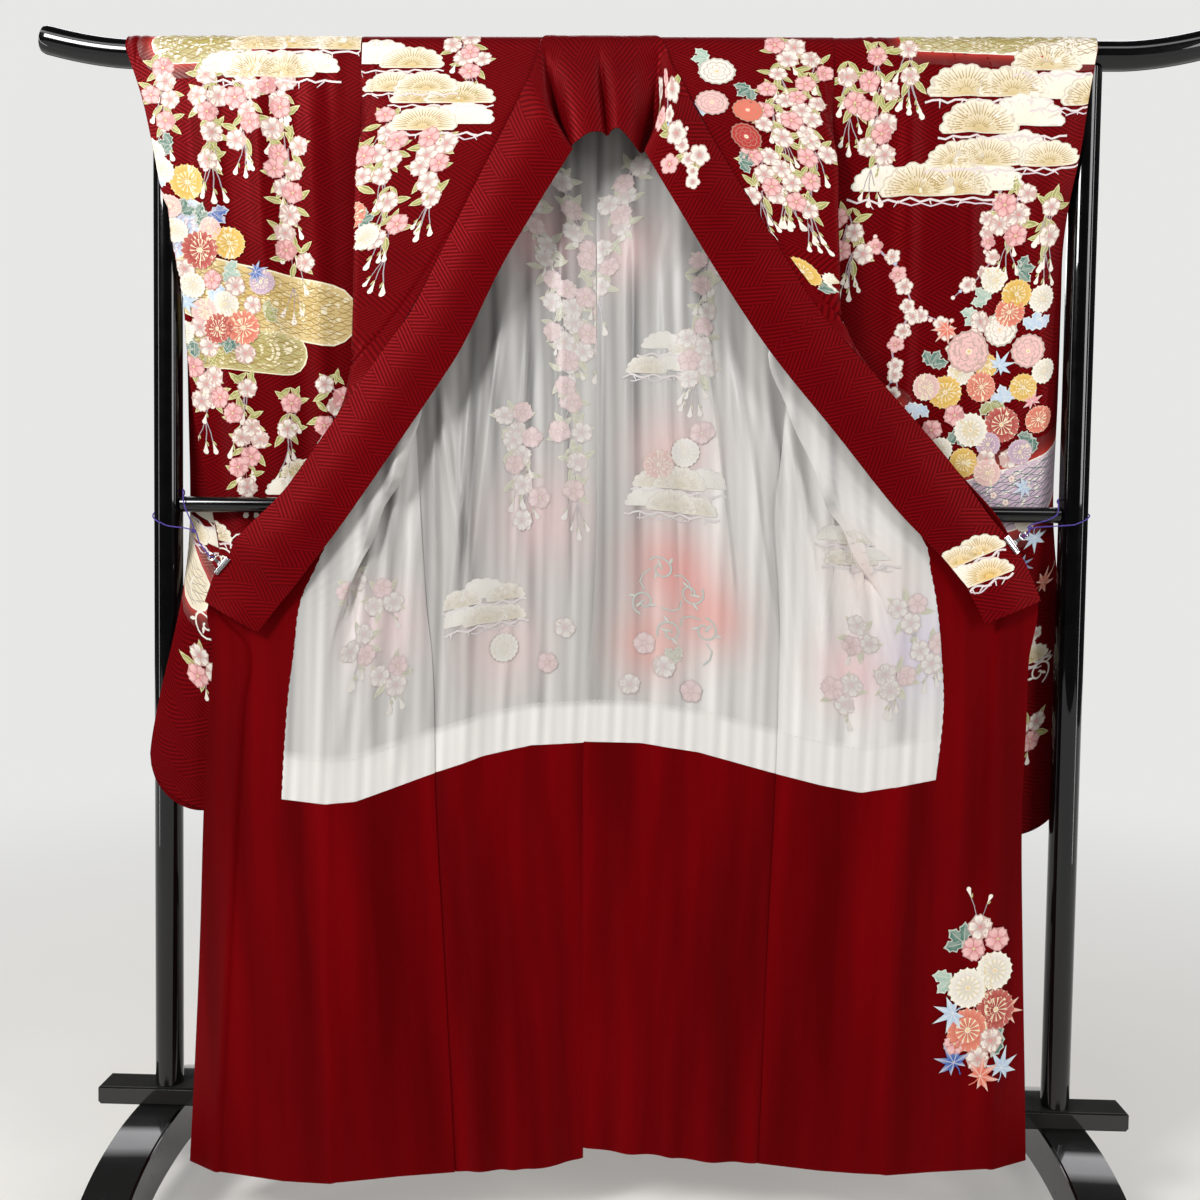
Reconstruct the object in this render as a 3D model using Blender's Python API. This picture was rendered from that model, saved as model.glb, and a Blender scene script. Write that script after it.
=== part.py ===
"""A furisode on a black kimono stand, in metres: +Z up, +X to the viewer's right, fronts towards -Y.

The garment hangs over the top bar with its fronts opened out, so the sheer body lining and the plain
skirt lining show.  Each cloth is a thin wall either side of one shared surface, which is read from
short tables of horizontal sections.
"""

from math import cos, pi, radians, sin

import bmesh
import bpy
import numpy as np

# The stand
POST_X = 0.654
POST_RADIUS = 0.020
BAR_Z = 1.670
BAR_RADIUS = 0.020
BAR_HALF = 0.836
BAR_RISE = 0.022
BAR_BEND_FROM = 0.70
MID_Z = 1.025
MID_RADIUS = 0.0115
BEAM_HALF = 0.753
BEAM_DEPTH = 0.048
BEAM_TOP = 0.165
BEAM_HEIGHT = 0.027
FOOT_X = 0.660
FOOT_WIDTH = 0.068
FOOT_HALF = 0.250
FOOT_PAD = 0.055
FOOT_TOE = 0.030
FOOT_ARCH = 0.072

# The cloth
SEAM_GAP = 0.0003
CLOTH = 0.0010
HALF_GAP = SEAM_GAP / 2
OVER_BAR = 0.0225
COLLAR_OVER_BAR = 0.0273
COLLAR_SINK = 0.0022
COLLAR_WALL = 0.0016
BODY_COLUMNS = 14
OKUMI_COLUMNS = 6
FOLD_RADIUS = 0.007
OUTER_FOLD_HALF = 0.0022
INNER_FOLD_HALF = 0.0012
LEAST_STEP = 0.003
SIDE_GAP = 0.0013
FOLD_STEP = 0.0002

GLOSS_BLACK = ("lacquer", (0.012, 0.012, 0.013), 0.08, 0.0)
CRIMSON = ("crimson silk", (0.36, 0.006, 0.012), 0.5, 0.0)
CRIMSON_LINING = ("plain crimson lining", (0.30, 0.004, 0.010), 0.55, 0.0)
SHEER_WHITE = ("white lining", (0.72, 0.70, 0.66), 0.5, 0.0)
SILVER = ("nickel clip", (0.75, 0.75, 0.76), 0.2, 1.0)
PURPLE = ("purple cord", (0.09, 0.03, 0.28), 0.6, 0.0)

# Front halves: the wall's bends at each height, from the collar seam to the side seam.
# e = collar or front edge, b = outer fold, k = inner fold, p = pocket fold, s = side seam
FRONT_COLUMNS = "z ex ey bx by kx ky px py sx sy"
FRONT = {
    "left": [
        (1.640, -0.122, -0.0290, -0.344, -0.0255, -0.353, -0.0255, -0.361, -0.0250, -0.3685, -0.0250),
        (1.600, -0.139, -0.0370, -0.350, -0.0300, -0.359, -0.0290, -0.365, -0.0265, -0.3690, -0.0225),
        (1.520, -0.179, -0.0430, -0.3690, -0.0390, -0.3680, -0.0310, -0.3665, -0.0240, -0.3650, -0.0170),
        (1.440, -0.219, -0.0470, -0.3715, -0.0440, -0.356, -0.0340, -0.350, -0.0250, -0.345, -0.0150),
        (1.360, -0.258, -0.0490, -0.372, -0.0460, -0.335, -0.0370, -0.336, -0.0250, -0.318, -0.0120),
        (1.280, -0.302, -0.0500, -0.373, -0.0470, -0.312, -0.0400, -0.332, -0.0270, -0.303, -0.0110),
        (1.220, -0.344, -0.0510, -0.376, -0.0465, -0.288, -0.0430, -0.332, -0.0280, -0.297, -0.0120),
        (1.160, -0.386, -0.0520, -0.390, -0.0455, -0.276, -0.0450, -0.338, -0.0290, -0.291, -0.0140),
        (1.080, -0.442, -0.0520, -0.443, -0.0450, -0.307, -0.0460, -0.350, -0.0300, -0.285, -0.0160),
        (1.000, -0.498, -0.0520, -0.499, -0.0450, -0.342, -0.0470, -0.372, -0.0330, -0.280, -0.0180),
        (0.940, -0.538, -0.0520, -0.538, -0.0450, -0.365, -0.0490, -0.382, -0.0350, -0.275, -0.0200),
        (0.880, -0.578, -0.0520, -0.570, -0.0460, -0.386, -0.0530, -0.378, -0.0380, -0.270, -0.0230),
        (0.820, -0.571, -0.0500, -0.520, -0.0500, -0.400, -0.0560, -0.360, -0.0420, -0.262, -0.0258),
        (0.740, -0.576, -0.0500, -0.525, -0.0530, -0.400, -0.0570, -0.335, -0.0450, -0.257, -0.0290),
        (0.600, -0.583, -0.0520, -0.532, -0.0590, -0.400, -0.0600, -0.325, -0.0480, -0.253, -0.0350),
        (0.400, -0.585, -0.0630, -0.536, -0.0780, -0.395, -0.0820, -0.310, -0.0640, -0.238, -0.0500),
        (0.220, -0.588, -0.0760, -0.540, -0.0960, -0.385, -0.1040, -0.300, -0.0820, -0.224, -0.0680),
        (0.060, -0.592, -0.0880, -0.545, -0.1100, -0.380, -0.1180, -0.290, -0.0960, -0.212, -0.0830),
    ],
    "right": [
        (1.640, 0.069, -0.0290, 0.271, -0.0255, 0.280, -0.0255, 0.288, -0.0250, 0.2955, -0.0250),
        (1.600, 0.094, -0.0370, 0.277, -0.0300, 0.286, -0.0290, 0.292, -0.0265, 0.2960, -0.0225),
        (1.520, 0.139, -0.0430, 0.2990, -0.0390, 0.2980, -0.0310, 0.2960, -0.0240, 0.2940, -0.0170),
        (1.440, 0.189, -0.0470, 0.3020, -0.0440, 0.289, -0.0340, 0.285, -0.0250, 0.280, -0.0150),
        (1.360, 0.240, -0.0490, 0.306, -0.0460, 0.268, -0.0370, 0.276, -0.0260, 0.258, -0.0120),
        (1.300, 0.280, -0.0500, 0.310, -0.0470, 0.232, -0.0400, 0.272, -0.0270, 0.251, -0.0110),
        (1.240, 0.334, -0.0515, 0.338, -0.0450, 0.212, -0.0430, 0.278, -0.0280, 0.246, -0.0120),
        (1.160, 0.405, -0.0520, 0.406, -0.0450, 0.244, -0.0450, 0.305, -0.0290, 0.240, -0.0140),
        (1.080, 0.476, -0.0520, 0.477, -0.0450, 0.281, -0.0460, 0.335, -0.0310, 0.232, -0.0160),
        (1.016, 0.534, -0.0520, 0.534, -0.0450, 0.315, -0.0480, 0.352, -0.0340, 0.227, -0.0180),
        (0.960, 0.563, -0.0520, 0.562, -0.0460, 0.346, -0.0510, 0.360, -0.0400, 0.230, -0.0200),
        (0.900, 0.590, -0.0520, 0.545, -0.0480, 0.378, -0.0540, 0.345, -0.0440, 0.235, -0.0220),
        (0.820, 0.581, -0.0500, 0.530, -0.0500, 0.405, -0.0570, 0.330, -0.0450, 0.237, -0.0250),
        (0.740, 0.580, -0.0500, 0.528, -0.0530, 0.400, -0.0580, 0.315, -0.0460, 0.236, -0.0290),
        (0.600, 0.577, -0.0520, 0.526, -0.0570, 0.396, -0.0590, 0.310, -0.0480, 0.233, -0.0340),
        (0.400, 0.583, -0.0550, 0.530, -0.0660, 0.394, -0.0720, 0.305, -0.0600, 0.226, -0.0430),
        (0.220, 0.590, -0.0580, 0.534, -0.0780, 0.390, -0.0860, 0.300, -0.0720, 0.221, -0.0530),
        (0.080, 0.595, -0.0600, 0.536, -0.0860, 0.388, -0.0950, 0.298, -0.0800, 0.217, -0.0600),
    ],
}

# Back halves: centre seam and side seam at each height.
BACK_COLUMNS = "z cx cy sx sy"
BACK = {
    "left": [
        (1.670, -0.0350, 0.0225, -0.3680, 0.0225),
        (1.600, -0.0350, 0.0215, -0.3690, 0.0215),
        (1.520, -0.0350, 0.0140, -0.3680, 0.0160),
        (1.440, -0.0340, 0.0080, -0.3450, 0.0040),
        (1.360, -0.0330, 0.0030, -0.3180, -0.0060),
        (1.220, -0.0300, -0.0060, -0.2970, -0.0105),
        (1.080, -0.0280, -0.0150, -0.2850, -0.0155),
        (1.000, -0.0270, -0.0180, -0.2800, -0.0180),
        (0.880, -0.0300, -0.0200, -0.2700, -0.0230),
        (0.740, -0.0400, -0.0240, -0.2570, -0.0290),
        (0.600, -0.0410, -0.0300, -0.2530, -0.0350),
        (0.400, -0.0380, -0.0380, -0.2380, -0.0500),
        (0.220, -0.0350, -0.0470, -0.2240, -0.0680),
        (0.060, -0.0330, -0.0550, -0.2120, -0.0830),
    ],
    "right": [
        (1.670, -0.0350, 0.0225, 0.2950, 0.0225),
        (1.600, -0.0350, 0.0215, 0.2960, 0.0215),
        (1.520, -0.0350, 0.0140, 0.2970, 0.0160),
        (1.440, -0.0340, 0.0080, 0.2800, 0.0040),
        (1.360, -0.0330, 0.0030, 0.2580, -0.0060),
        (1.220, -0.0300, -0.0060, 0.2450, -0.0105),
        (1.080, -0.0280, -0.0150, 0.2320, -0.0155),
        (1.000, -0.0270, -0.0180, 0.2260, -0.0180),
        (0.880, -0.0300, -0.0200, 0.2360, -0.0230),
        (0.740, -0.0400, -0.0240, 0.2360, -0.0290),
        (0.600, -0.0410, -0.0300, 0.2330, -0.0340),
        (0.400, -0.0380, -0.0380, 0.2260, -0.0430),
        (0.220, -0.0350, -0.0470, 0.2210, -0.0530),
        (0.080, -0.0330, -0.0550, 0.2170, -0.0600),
    ],
}

# Long folds of the back, as ridges towards the viewer: x and z at the top, x and z at the foot, width, depth.
BACK_FOLDS = {
    "left": [
        (-0.150, 1.42, -0.210, 0.72, 0.026, 0.012),
        (-0.250, 1.20, -0.225, 0.86, 0.018, 0.008),
        (-0.078, 1.56, -0.075, 0.98, 0.012, 0.007),
        (-0.130, 0.60, -0.120, 0.06, 0.040, 0.006),
    ],
    "right": [
        (0.080, 1.50, 0.140, 0.92, 0.028, 0.011),
        (0.180, 1.26, 0.190, 0.90, 0.020, 0.007),
        (0.020, 1.50, 0.050, 1.05, 0.018, 0.006),
        (0.100, 0.55, 0.110, 0.08, 0.045, 0.006),
    ],
}

# The hem and the lower edge of the sheer lining, as heights at set places across each half.
EDGE_LINES = {
    "left": {
        "back hem": [(-0.212, 0.082), (-0.185, 0.085), (-0.101, 0.086), (-0.033, 0.093)],
        "front hem": [(-0.592, 0.090), (-0.449, 0.079), (-0.323, 0.080), (-0.212, 0.082)],
        "back lining": [(-0.252, 0.644), (-0.188, 0.668), (-0.116, 0.685), (-0.035, 0.690)],
        "front lining": [(-0.471, 0.606), (-0.407, 0.600), (-0.365, 0.603), (-0.252, 0.644)],
    },
    "right": {
        "back hem": [(-0.033, 0.108), (0.101, 0.103), (0.217, 0.096)],
        "front hem": [(0.217, 0.096), (0.352, 0.100), (0.451, 0.106), (0.596, 0.112)],
        "back lining": [(-0.035, 0.691), (0.040, 0.691), (0.125, 0.679), (0.234, 0.651)],
        "front lining": [(0.234, 0.651), (0.297, 0.638), (0.352, 0.630), (0.453, 0.651)],
    },
}

# The neck edge of each half, as the angle round the bar (180 is its back) and the cloth's inner x there.
NECK_X = {
    "left": [(180, -0.0352), (150, -0.0450), (120, -0.0780), (90, -0.0980), (60, -0.1060), (30, -0.1090),
             (0, -0.1110)],
    "right": [(180, -0.0348), (150, -0.0250), (120, 0.0080), (90, 0.0360), (60, 0.0450), (30, 0.0490),
              (0, 0.0520)],
}
SIDE_X = {"left": -0.3680, "right": 0.2950}

# Heights of the rows, and shares of the way from the hem up to the sheer lining.
BACK_SKIRT = [("skirt", 0.0), ("skirt", 0.35), ("skirt", 0.7), ("skirt", 1.0)]
BACK_UPPER = [0.78, 0.87, 0.96, 1.05, 1.15, 1.26, 1.38, 1.50, 1.60]
FRONT_UPPER = [1.64, 1.60, 1.54, 1.47, 1.40, 1.33, 1.29, 1.25, 1.18, 1.11, 1.04, 0.97, 0.91]
FRONT_UPPER += [0.865, 0.82, 0.76]
FRONT_SKIRT = [("skirt", 1.0), ("skirt", 0.66), ("skirt", 0.33), ("skirt", 0.0)]
OKUMI_TOP = 1.405

# The overlap panel's width, measured from the collar seam along the wall.
OKUMI_COLUMNS_NAMES = "z width"
OKUMI_WIDTH = {
    "left": [(1.41, 0.003), (1.33, 0.012), (1.22, 0.034), (1.16, 0.056), (1.08, 0.088), (1.00, 0.112),
             (0.94, 0.124), (0.88, 0.135), (0.82, 0.120), (0.74, 0.116), (0.60, 0.117), (0.40, 0.126),
             (0.22, 0.146), (0.06, 0.146)],
    "right": [(1.41, 0.003), (1.33, 0.014), (1.24, 0.040), (1.16, 0.074), (1.08, 0.108), (1.016, 0.130),
              (0.96, 0.130), (0.90, 0.142), (0.82, 0.124), (0.74, 0.120), (0.60, 0.130),
              (0.40, 0.138), (0.22, 0.144), (0.08, 0.150)],
}

# Sleeves: the wall's bends at each height, from the inner edge to the outer seam.
# i = inner edge, f = outer fold that shows, g = return fold behind it, o = outer seam
# bi, bm, bo = the back layer's inner edge, middle and outer seam
SLEEVE_COLUMNS = "z ix iy fx fy gx gy ox oy biy bmy box boy"
SLEEVE = {
    "left": [
        (1.67, -0.3686, -0.0225, -0.69, -0.0225, -0.697, -0.0225, -0.706, -0.0225, 0.0225, 0.0225, -0.706, 0.0225),
        (1.6, -0.3696, -0.023, -0.664, -0.024, -0.673, -0.024, -0.682, -0.024, 0.027, 0.03, -0.69, 0.025),
        (1.52, -0.369, -0.016, -0.648, -0.025, -0.656, -0.025, -0.664, -0.0245, 0.03, 0.036, -0.672, 0.0265),
        (1.46, -0.366, -0.009, -0.645, -0.026, -0.648, -0.025, -0.651, -0.024, 0.033, 0.039, -0.645, 0.0265),
        (1.43, -0.364, -0.006, -0.645, -0.026, -0.636, -0.0235, -0.631, -0.018, 0.034, 0.0395, -0.629, 0.019),
        (1.4, -0.362, -0.003, -0.644, -0.026, -0.622, -0.017, -0.627, -0.004, 0.035, 0.04, -0.627, -0.0015),
        (1.33, -0.36, 0.002, -0.631, -0.02, -0.612, -0.008, -0.629, 0.001, 0.037, 0.042, -0.629, 0.0035),
        (1.25, -0.36, 0.007, -0.627, -0.013, -0.604, 0.001, -0.63, 0.01, 0.039, 0.043, -0.63, 0.0125),
        (1.15, -0.362, 0.012, -0.621, 0.0000, -0.592, 0.011, -0.631, 0.018, 0.04, 0.044, -0.631, 0.0205),
        (1.06, -0.365, 0.015, -0.609, 0.0145, -0.578, 0.02, -0.632, 0.026, 0.041, 0.045, -0.632, 0.0285),
        (1.000, -0.368, 0.015, -0.597, 0.015, -0.568, 0.02, -0.632, 0.025, 0.04, 0.045, -0.632, 0.0275),
        (0.95, -0.368, 0.011, -0.586, 0.008, -0.574, 0.012, -0.631, 0.013, 0.038, 0.04, -0.631, 0.0155),
        (0.9, -0.368, 0.006, -0.584, -0.004, -0.592, 0.0000, -0.631, -0.006, 0.034, 0.03, -0.631, -0.0035),
        (0.85, -0.368, 0.001, -0.586, -0.017, -0.606, -0.019, -0.634, -0.024, 0.029, 0.018, -0.634, -0.0215),
        (0.73, -0.368, -0.006, -0.6, -0.029, -0.63, -0.031, -0.659, -0.031, 0.02, 0.002, -0.659, -0.0285),
        (0.66, -0.368, -0.008, -0.6, -0.031, -0.635, -0.032, -0.67, -0.031, 0.012, -0.004, -0.67, -0.0285),
        (0.57, -0.368, -0.01, -0.6, -0.031, -0.635, -0.032, -0.67, -0.031, 0.0000, -0.01, -0.67, -0.0285),
    ],
    "right": [
        (1.67, 0.2956, -0.0225, 0.63, -0.0225, 0.645, -0.0225, 0.66, -0.0225, 0.0225, 0.0225, 0.664, 0.0225),
        (1.6, 0.2966, -0.023, 0.628, -0.026, 0.64, -0.0245, 0.649, -0.024, 0.027, 0.03, 0.652, 0.025),
        (1.53, 0.2976, -0.016, 0.606, -0.027, 0.626, -0.025, 0.64, -0.024, 0.03, 0.036, 0.645, 0.026),
        (1.46, 0.296, -0.008, 0.597, -0.027, 0.615, -0.023, 0.629, -0.016, 0.033, 0.039, 0.632, 0.024),
        (1.4, 0.292, -0.003, 0.592, -0.023, 0.612, -0.015, 0.626, -0.005, 0.035, 0.04, 0.626, -0.0025),
        (1.33, 0.29, 0.002, 0.594, -0.018, 0.613, -0.008, 0.628, 0.002, 0.037, 0.042, 0.628, 0.0045),
        (1.19, 0.29, 0.009, 0.606, -0.005, 0.62, 0.004, 0.631, 0.012, 0.04, 0.044, 0.631, 0.0145),
        (1.06, 0.292, 0.015, 0.61, 0.0145, 0.622, 0.019, 0.633, 0.024, 0.041, 0.045, 0.633, 0.0265),
        (1.000, 0.295, 0.016, 0.606, 0.016, 0.622, 0.02, 0.636, 0.025, 0.041, 0.045, 0.636, 0.0275),
        (0.9, 0.3, 0.015, 0.6, 0.018, 0.624, 0.024, 0.648, 0.028, 0.04, 0.045, 0.648, 0.0305),
        (0.76, 0.305, 0.012, 0.6, 0.02, 0.63, 0.027, 0.662, 0.03, 0.036, 0.042, 0.662, 0.0325),
        (0.66, 0.308, 0.01, 0.6, 0.022, 0.634, 0.028, 0.668, 0.03, 0.028, 0.038, 0.668, 0.0325),
        (0.54, 0.31, 0.008, 0.6, 0.024, 0.634, 0.028, 0.668, 0.03, 0.018, 0.034, 0.668, 0.0325),
    ],
}
SLEEVE_SHARES = (0.0, 0.12, 0.27, 0.42, 0.57, 0.72)
SLEEVE_COLUMN_COUNT = 11
SLEEVE_BOTTOM = {"left": 0.578, "right": 0.552}
SLEEVE_CORNER = 0.085
SLEEVE_LEVELS = [1.40, 1.30, 1.20, 1.10, 1.02, 0.95, 0.88, 0.78]

# The collar band from its left end, over the back neck, to its right end.  wrap is the angle round
# the bar, from its front, at which the seam lies; bulge pushes the middle of the band outwards.
COLLAR_COLUMNS = "sx sy sz wrap fx fy fz bulge"
COLLAR = [
    (-0.5795, -0.0600, 0.8857, 0, -0.5020, -0.0660, 0.8440, 0.006),
    (-0.5643, -0.0600, 0.9273, 0, -0.4800, -0.0640, 0.8730, 0.002),
    (-0.5465, -0.0600, 0.9489, 0, -0.4640, -0.0640, 0.8930, 0.002),
    (-0.5361, -0.0600, 0.9735, 0, -0.4480, -0.0660, 0.9120, 0.006),
    (-0.5165, -0.0590, 0.9950, 0, -0.4260, -0.0650, 0.9420, 0.008),
    (-0.4630, -0.0575, 1.0500, 0, -0.3850, -0.0640, 0.9960, 0.008),
    (-0.3930, -0.0560, 1.1500, 0, -0.3160, -0.0630, 1.0960, 0.006),
    (-0.3230, -0.0545, 1.2500, 0, -0.2470, -0.0600, 1.1990, 0.005),
    (-0.2880, -0.0535, 1.3000, 0, -0.2130, -0.0590, 1.2550, 0.005),
    (-0.2380, -0.0518, 1.4000, 0, -0.1640, -0.0560, 1.3580, 0.006),
    (-0.1890, -0.0480, 1.5000, 0, -0.1080, -0.0530, 1.4550, 0.007),
    (-0.1540, -0.0440, 1.5700, 0, -0.0720, -0.0500, 1.5140, 0.009),
    (-0.1360, -0.0395, 1.6110, 0, -0.0680, -0.0460, 1.5260, 0.011),
    (-0.1240, -0.0330, 1.6400, 0, -0.0820, -0.0350, 1.5450, 0.008),
    (-0.1160, 0, 0, 4, -0.0930, -0.0240, 1.5600, 0.006),
    (-0.1120, 0, 0, 40, -0.0860, -0.0160, 1.5580, 0.000),
    (-0.1020, 0, 0, 80, -0.0740, -0.0340, 1.5300, 0.002),
    (-0.0840, 0, 0, 110, -0.0640, -0.0500, 1.5310, 0.006),
    (-0.0600, 0, 0, 134, -0.0450, -0.0540, 1.5430, 0.006),
    (-0.0420, 0, 0, 142, -0.0270, -0.0500, 1.5460, 0.002),
    (-0.0330, 0, 0, 144, -0.0190, -0.0400, 1.5440, -0.004),
    (-0.0260, 0, 0, 142, -0.0130, -0.0500, 1.5480, 0.002),
    (-0.0110, 0, 0, 134, -0.0020, -0.0550, 1.5490, 0.006),
    (0.0140, 0, 0, 110, 0.0160, -0.0510, 1.5320, 0.006),
    (0.0380, 0, 0, 80, 0.0300, -0.0340, 1.5220, 0.002),
    (0.0520, 0, 0, 40, 0.0420, -0.0160, 1.5520, 0.000),
    (0.0600, 0, 0, 4, 0.0500, -0.0240, 1.5560, 0.006),
    (0.0700, -0.0330, 1.6430, 0, 0.0460, -0.0360, 1.5450, 0.008),
    (0.0840, -0.0385, 1.6200, 0, 0.0350, -0.0470, 1.5260, 0.011),
    (0.1040, -0.0440, 1.5780, 0, 0.0380, -0.0510, 1.5120, 0.009),
    (0.1510, -0.0480, 1.5000, 0, 0.0740, -0.0540, 1.4530, 0.007),
    (0.2140, -0.0518, 1.4000, 0, 0.1370, -0.0570, 1.3520, 0.006),
    (0.2800, -0.0540, 1.3000, 0, 0.2120, -0.0600, 1.2430, 0.005),
    (0.3700, -0.0560, 1.2000, 0, 0.3010, -0.0610, 1.1360, 0.005),
    (0.4590, -0.0570, 1.1000, 0, 0.3850, -0.0630, 1.0330, 0.007),
    (0.5173, -0.0590, 1.0226, 0, 0.4400, -0.0650, 0.9770, 0.006),
    (0.5425, -0.0600, 0.9939, 0, 0.4600, -0.0640, 0.9550, 0.002),
    (0.5597, -0.0600, 0.9717, 0, 0.4760, -0.0640, 0.9360, 0.002),
    (0.5720, -0.0600, 0.9510, 0, 0.4900, -0.0660, 0.9180, 0.005),
    (0.5920, -0.0600, 0.9050, 0, 0.5150, -0.0660, 0.8720, 0.006),
]
OVER_COLLAR_ENDS = (8.0, 32.0)
OVER_COLLAR_GAPS = (0.006, 0.003)
COLLAR_SAMPLES = 9
COLLAR_CLOSE_SHARE = 0.35

# The clips that hold the collar ends out, and the cords that tie them to the stand.
CLIP_WIDTH = 0.028
CLIP_REACH = 0.0058
CLIP_PLATE = 0.0010
CLIP_GAP = 0.0010
CLIP_BACK = 0.0015
LEVER_LENGTH = 0.0140
LEVER_WIDTH = 0.0040
LEVER_THICK = 0.0016
RING_RADIUS = 0.0045
RING_WIRE = 0.0016
RING_OUT = 0.0165
CORD_RADIUS = 0.0011
CORD_ROUND_POST = 0.0018
CLIP_Y = -0.0600
# the middle of each clip on the collar's edge, and its slope from the upright
CLIPS = {"left": (-0.5554, 0.9381, -39.3), "right": (0.5511, 0.9828, 37.8)}
# where each cord's two strands part, and its heights in front of, beside and behind the post
CORD_JOINS = {"left": (-0.6043, -0.0350, 0.9863), "right": (0.5770, -0.0500, 1.0050)}
CORD_HEIGHTS = {"left": (0.9930, 1.0068, 1.0440), "right": (1.0113, 1.0245, 1.0460)}


def table(columns, rows):
    """The rows as an array, lowest first, with the place of each named column."""
    values = np.array(rows, float)
    names = columns.split()
    if names[0] == "z":
        values = values[np.argsort(values[:, 0])]
    return values, {name: place for place, name in enumerate(names)}


def eased(values, at):
    """A smooth curve through the rows, read at a value of the first column."""
    key = values[:, 0]
    at = min(max(at, key[0]), key[-1])
    low = int(min(max(np.searchsorted(key, at) - 1, 0), len(key) - 2))
    before, after = max(low - 1, 0), min(low + 2, len(key) - 1)
    span = key[low + 1] - key[low]
    t = (at - key[low]) / span
    start, end = values[low], values[low + 1]
    slope_in = (values[low + 1] - values[before]) / max(key[low + 1] - key[before], 1e-9) * span
    slope_out = (values[after] - values[low]) / max(key[after] - key[low], 1e-9) * span
    return (
        (2 * t**3 - 3 * t**2 + 1) * start
        + (t**3 - 2 * t**2 + t) * slope_in
        + (3 * t**2 - 2 * t**3) * end
        + (t**3 - t**2) * slope_out
    )


def rounded(corners, radius, steps=6):
    """A line through the corners, each corner turned into a short curve."""
    corners = [np.array(corner, float) for corner in corners]
    line = [corners[0]]
    for before, corner, after in zip(corners, corners[1:], corners[2:]):
        back, ahead = before - corner, after - corner
        reach_back = min(radius, 0.45 * np.linalg.norm(back))
        reach_ahead = min(radius, 0.45 * np.linalg.norm(ahead))
        start = corner + back / np.linalg.norm(back) * reach_back
        end = corner + ahead / np.linalg.norm(ahead) * reach_ahead
        for step in range(steps + 1):
            t = step / steps
            line.append((1 - t) ** 2 * start + 2 * t * (1 - t) * corner + t**2 * end)
    line.append(corners[-1])
    return np.array(line)


def lengths(line):
    return np.concatenate([[0.0], np.cumsum(np.linalg.norm(np.diff(line, axis=0), axis=1))])


def along(line, places):
    """The points of a line at these lengths from its start."""
    run = lengths(line)
    return np.stack([np.interp(places, run, line[:, axis]) for axis in range(line.shape[1])], axis=-1)


def nearest_length(line, point):
    return lengths(line)[np.argmin(np.linalg.norm(line - np.array(point), axis=1))]


def front_line(side, z):
    """A front's horizontal section at this height, and where its folds lie along it."""
    values, at = table(FRONT_COLUMNS, FRONT[side])
    row = eased(values, z)
    corners = [(row[at[name + "x"]], row[at[name + "y"]]) for name in "ebkps"]
    edge, outer, inner, pocket, seam = corners
    turns = [edge]
    for corner, half in ((outer, OUTER_FOLD_HALF), (inner, INNER_FOLD_HALF)):
        turns += [(corner[0], corner[1] - half), (corner[0], corner[1] + half)]
    line = rounded(turns + [pocket, seam], FOLD_RADIUS)
    return line, [nearest_length(line, corner) for corner in corners]


def okumi_width(side, z):
    return eased(table(OKUMI_COLUMNS_NAMES, OKUMI_WIDTH[side])[0], z)[1]


def front_places(side, z, stops, whole):
    """Lengths along a section at which a front's columns lie: close together at each fold."""
    _, fold_b, fold_k, fold_p, end = stops
    end -= SIDE_GAP
    start = 0.0 if z > OKUMI_TOP else okumi_width(side, z) + SEAM_GAP
    close = FOLD_RADIUS
    first = max(fold_b, start + LEAST_STEP)
    first += min(first - fold_b, 1.8 * close)
    first = min(first, max(fold_b, (start + fold_k) / 2))
    if abs(fold_b - start) < 2 * SEAM_GAP:
        first = start + 3 * FOLD_STEP
    before = first - min(close, (first - start) * 0.6)
    after = first + min(close, (fold_k - first) / 3)
    places = [start, (start + before) / 2, before, first, after]
    near_k = fold_k - min(close, (fold_k - after) / 2)
    places += [(after + near_k) / 2, near_k, fold_k, min(fold_k + close, (fold_k + fold_p) / 2)]
    places += [fold_p, min(fold_p + close, (fold_p + end) / 2)]
    last = places[-1]
    places += [last + (end - last) * share for share in (0.33, 0.66, 1.0)]
    return np.array(places) if not whole else np.linspace(start, end, BODY_COLUMNS)


def seam_meets_fold(side):
    """The height at which the overlap panel's seam crosses the outer fold."""
    low, high = 1.15, 1.33
    for _ in range(40):
        middle = (low + high) / 2
        _, stops = front_line(side, middle)
        if okumi_width(side, middle) > stops[1]:
            low = middle
        else:
            high = middle
    return middle


def front_point(side, z, column):
    line, stops = front_line(side, z)
    # Near the shoulder the wall is flat, so its columns spread evenly there.
    start = 0.0 if z > OKUMI_TOP else okumi_width(side, z) + SEAM_GAP
    even = np.linspace(start, stops[-1] - SIDE_GAP, BODY_COLUMNS)
    folded = np.maximum.accumulate(front_places(side, z, stops, False))
    share = min(max((1.66 - z) / 0.10, 0.0), 1.0)
    place = (1 - share) * even[column] + share * folded[column]
    x, y = along(line, np.array([place]))[0]
    return np.array([x, y, z])


def okumi_places(width, fold):
    """Lengths at which the overlap panel's columns lie: close together at its fold."""
    if abs(fold - width) < 2 * SEAM_GAP:
        tip = [width - step * FOLD_STEP for step in (3, 2, 1, 0)]
        return np.array([0, width - min(FOLD_RADIUS, width / 2), *tip])
    if fold < width:
        before = fold - min(FOLD_RADIUS, fold * 0.6)
        after = fold + min(FOLD_RADIUS, (width - fold) / 3)
        return np.array([0, before, fold, after, (after + width) / 2, width])
    near = min(max(fold - FOLD_RADIUS, 0.4 * width), 0.8 * width)
    return np.array([0, near / 2, near, (2 * near + width) / 3, (near + 2 * width) / 3, width])


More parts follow.
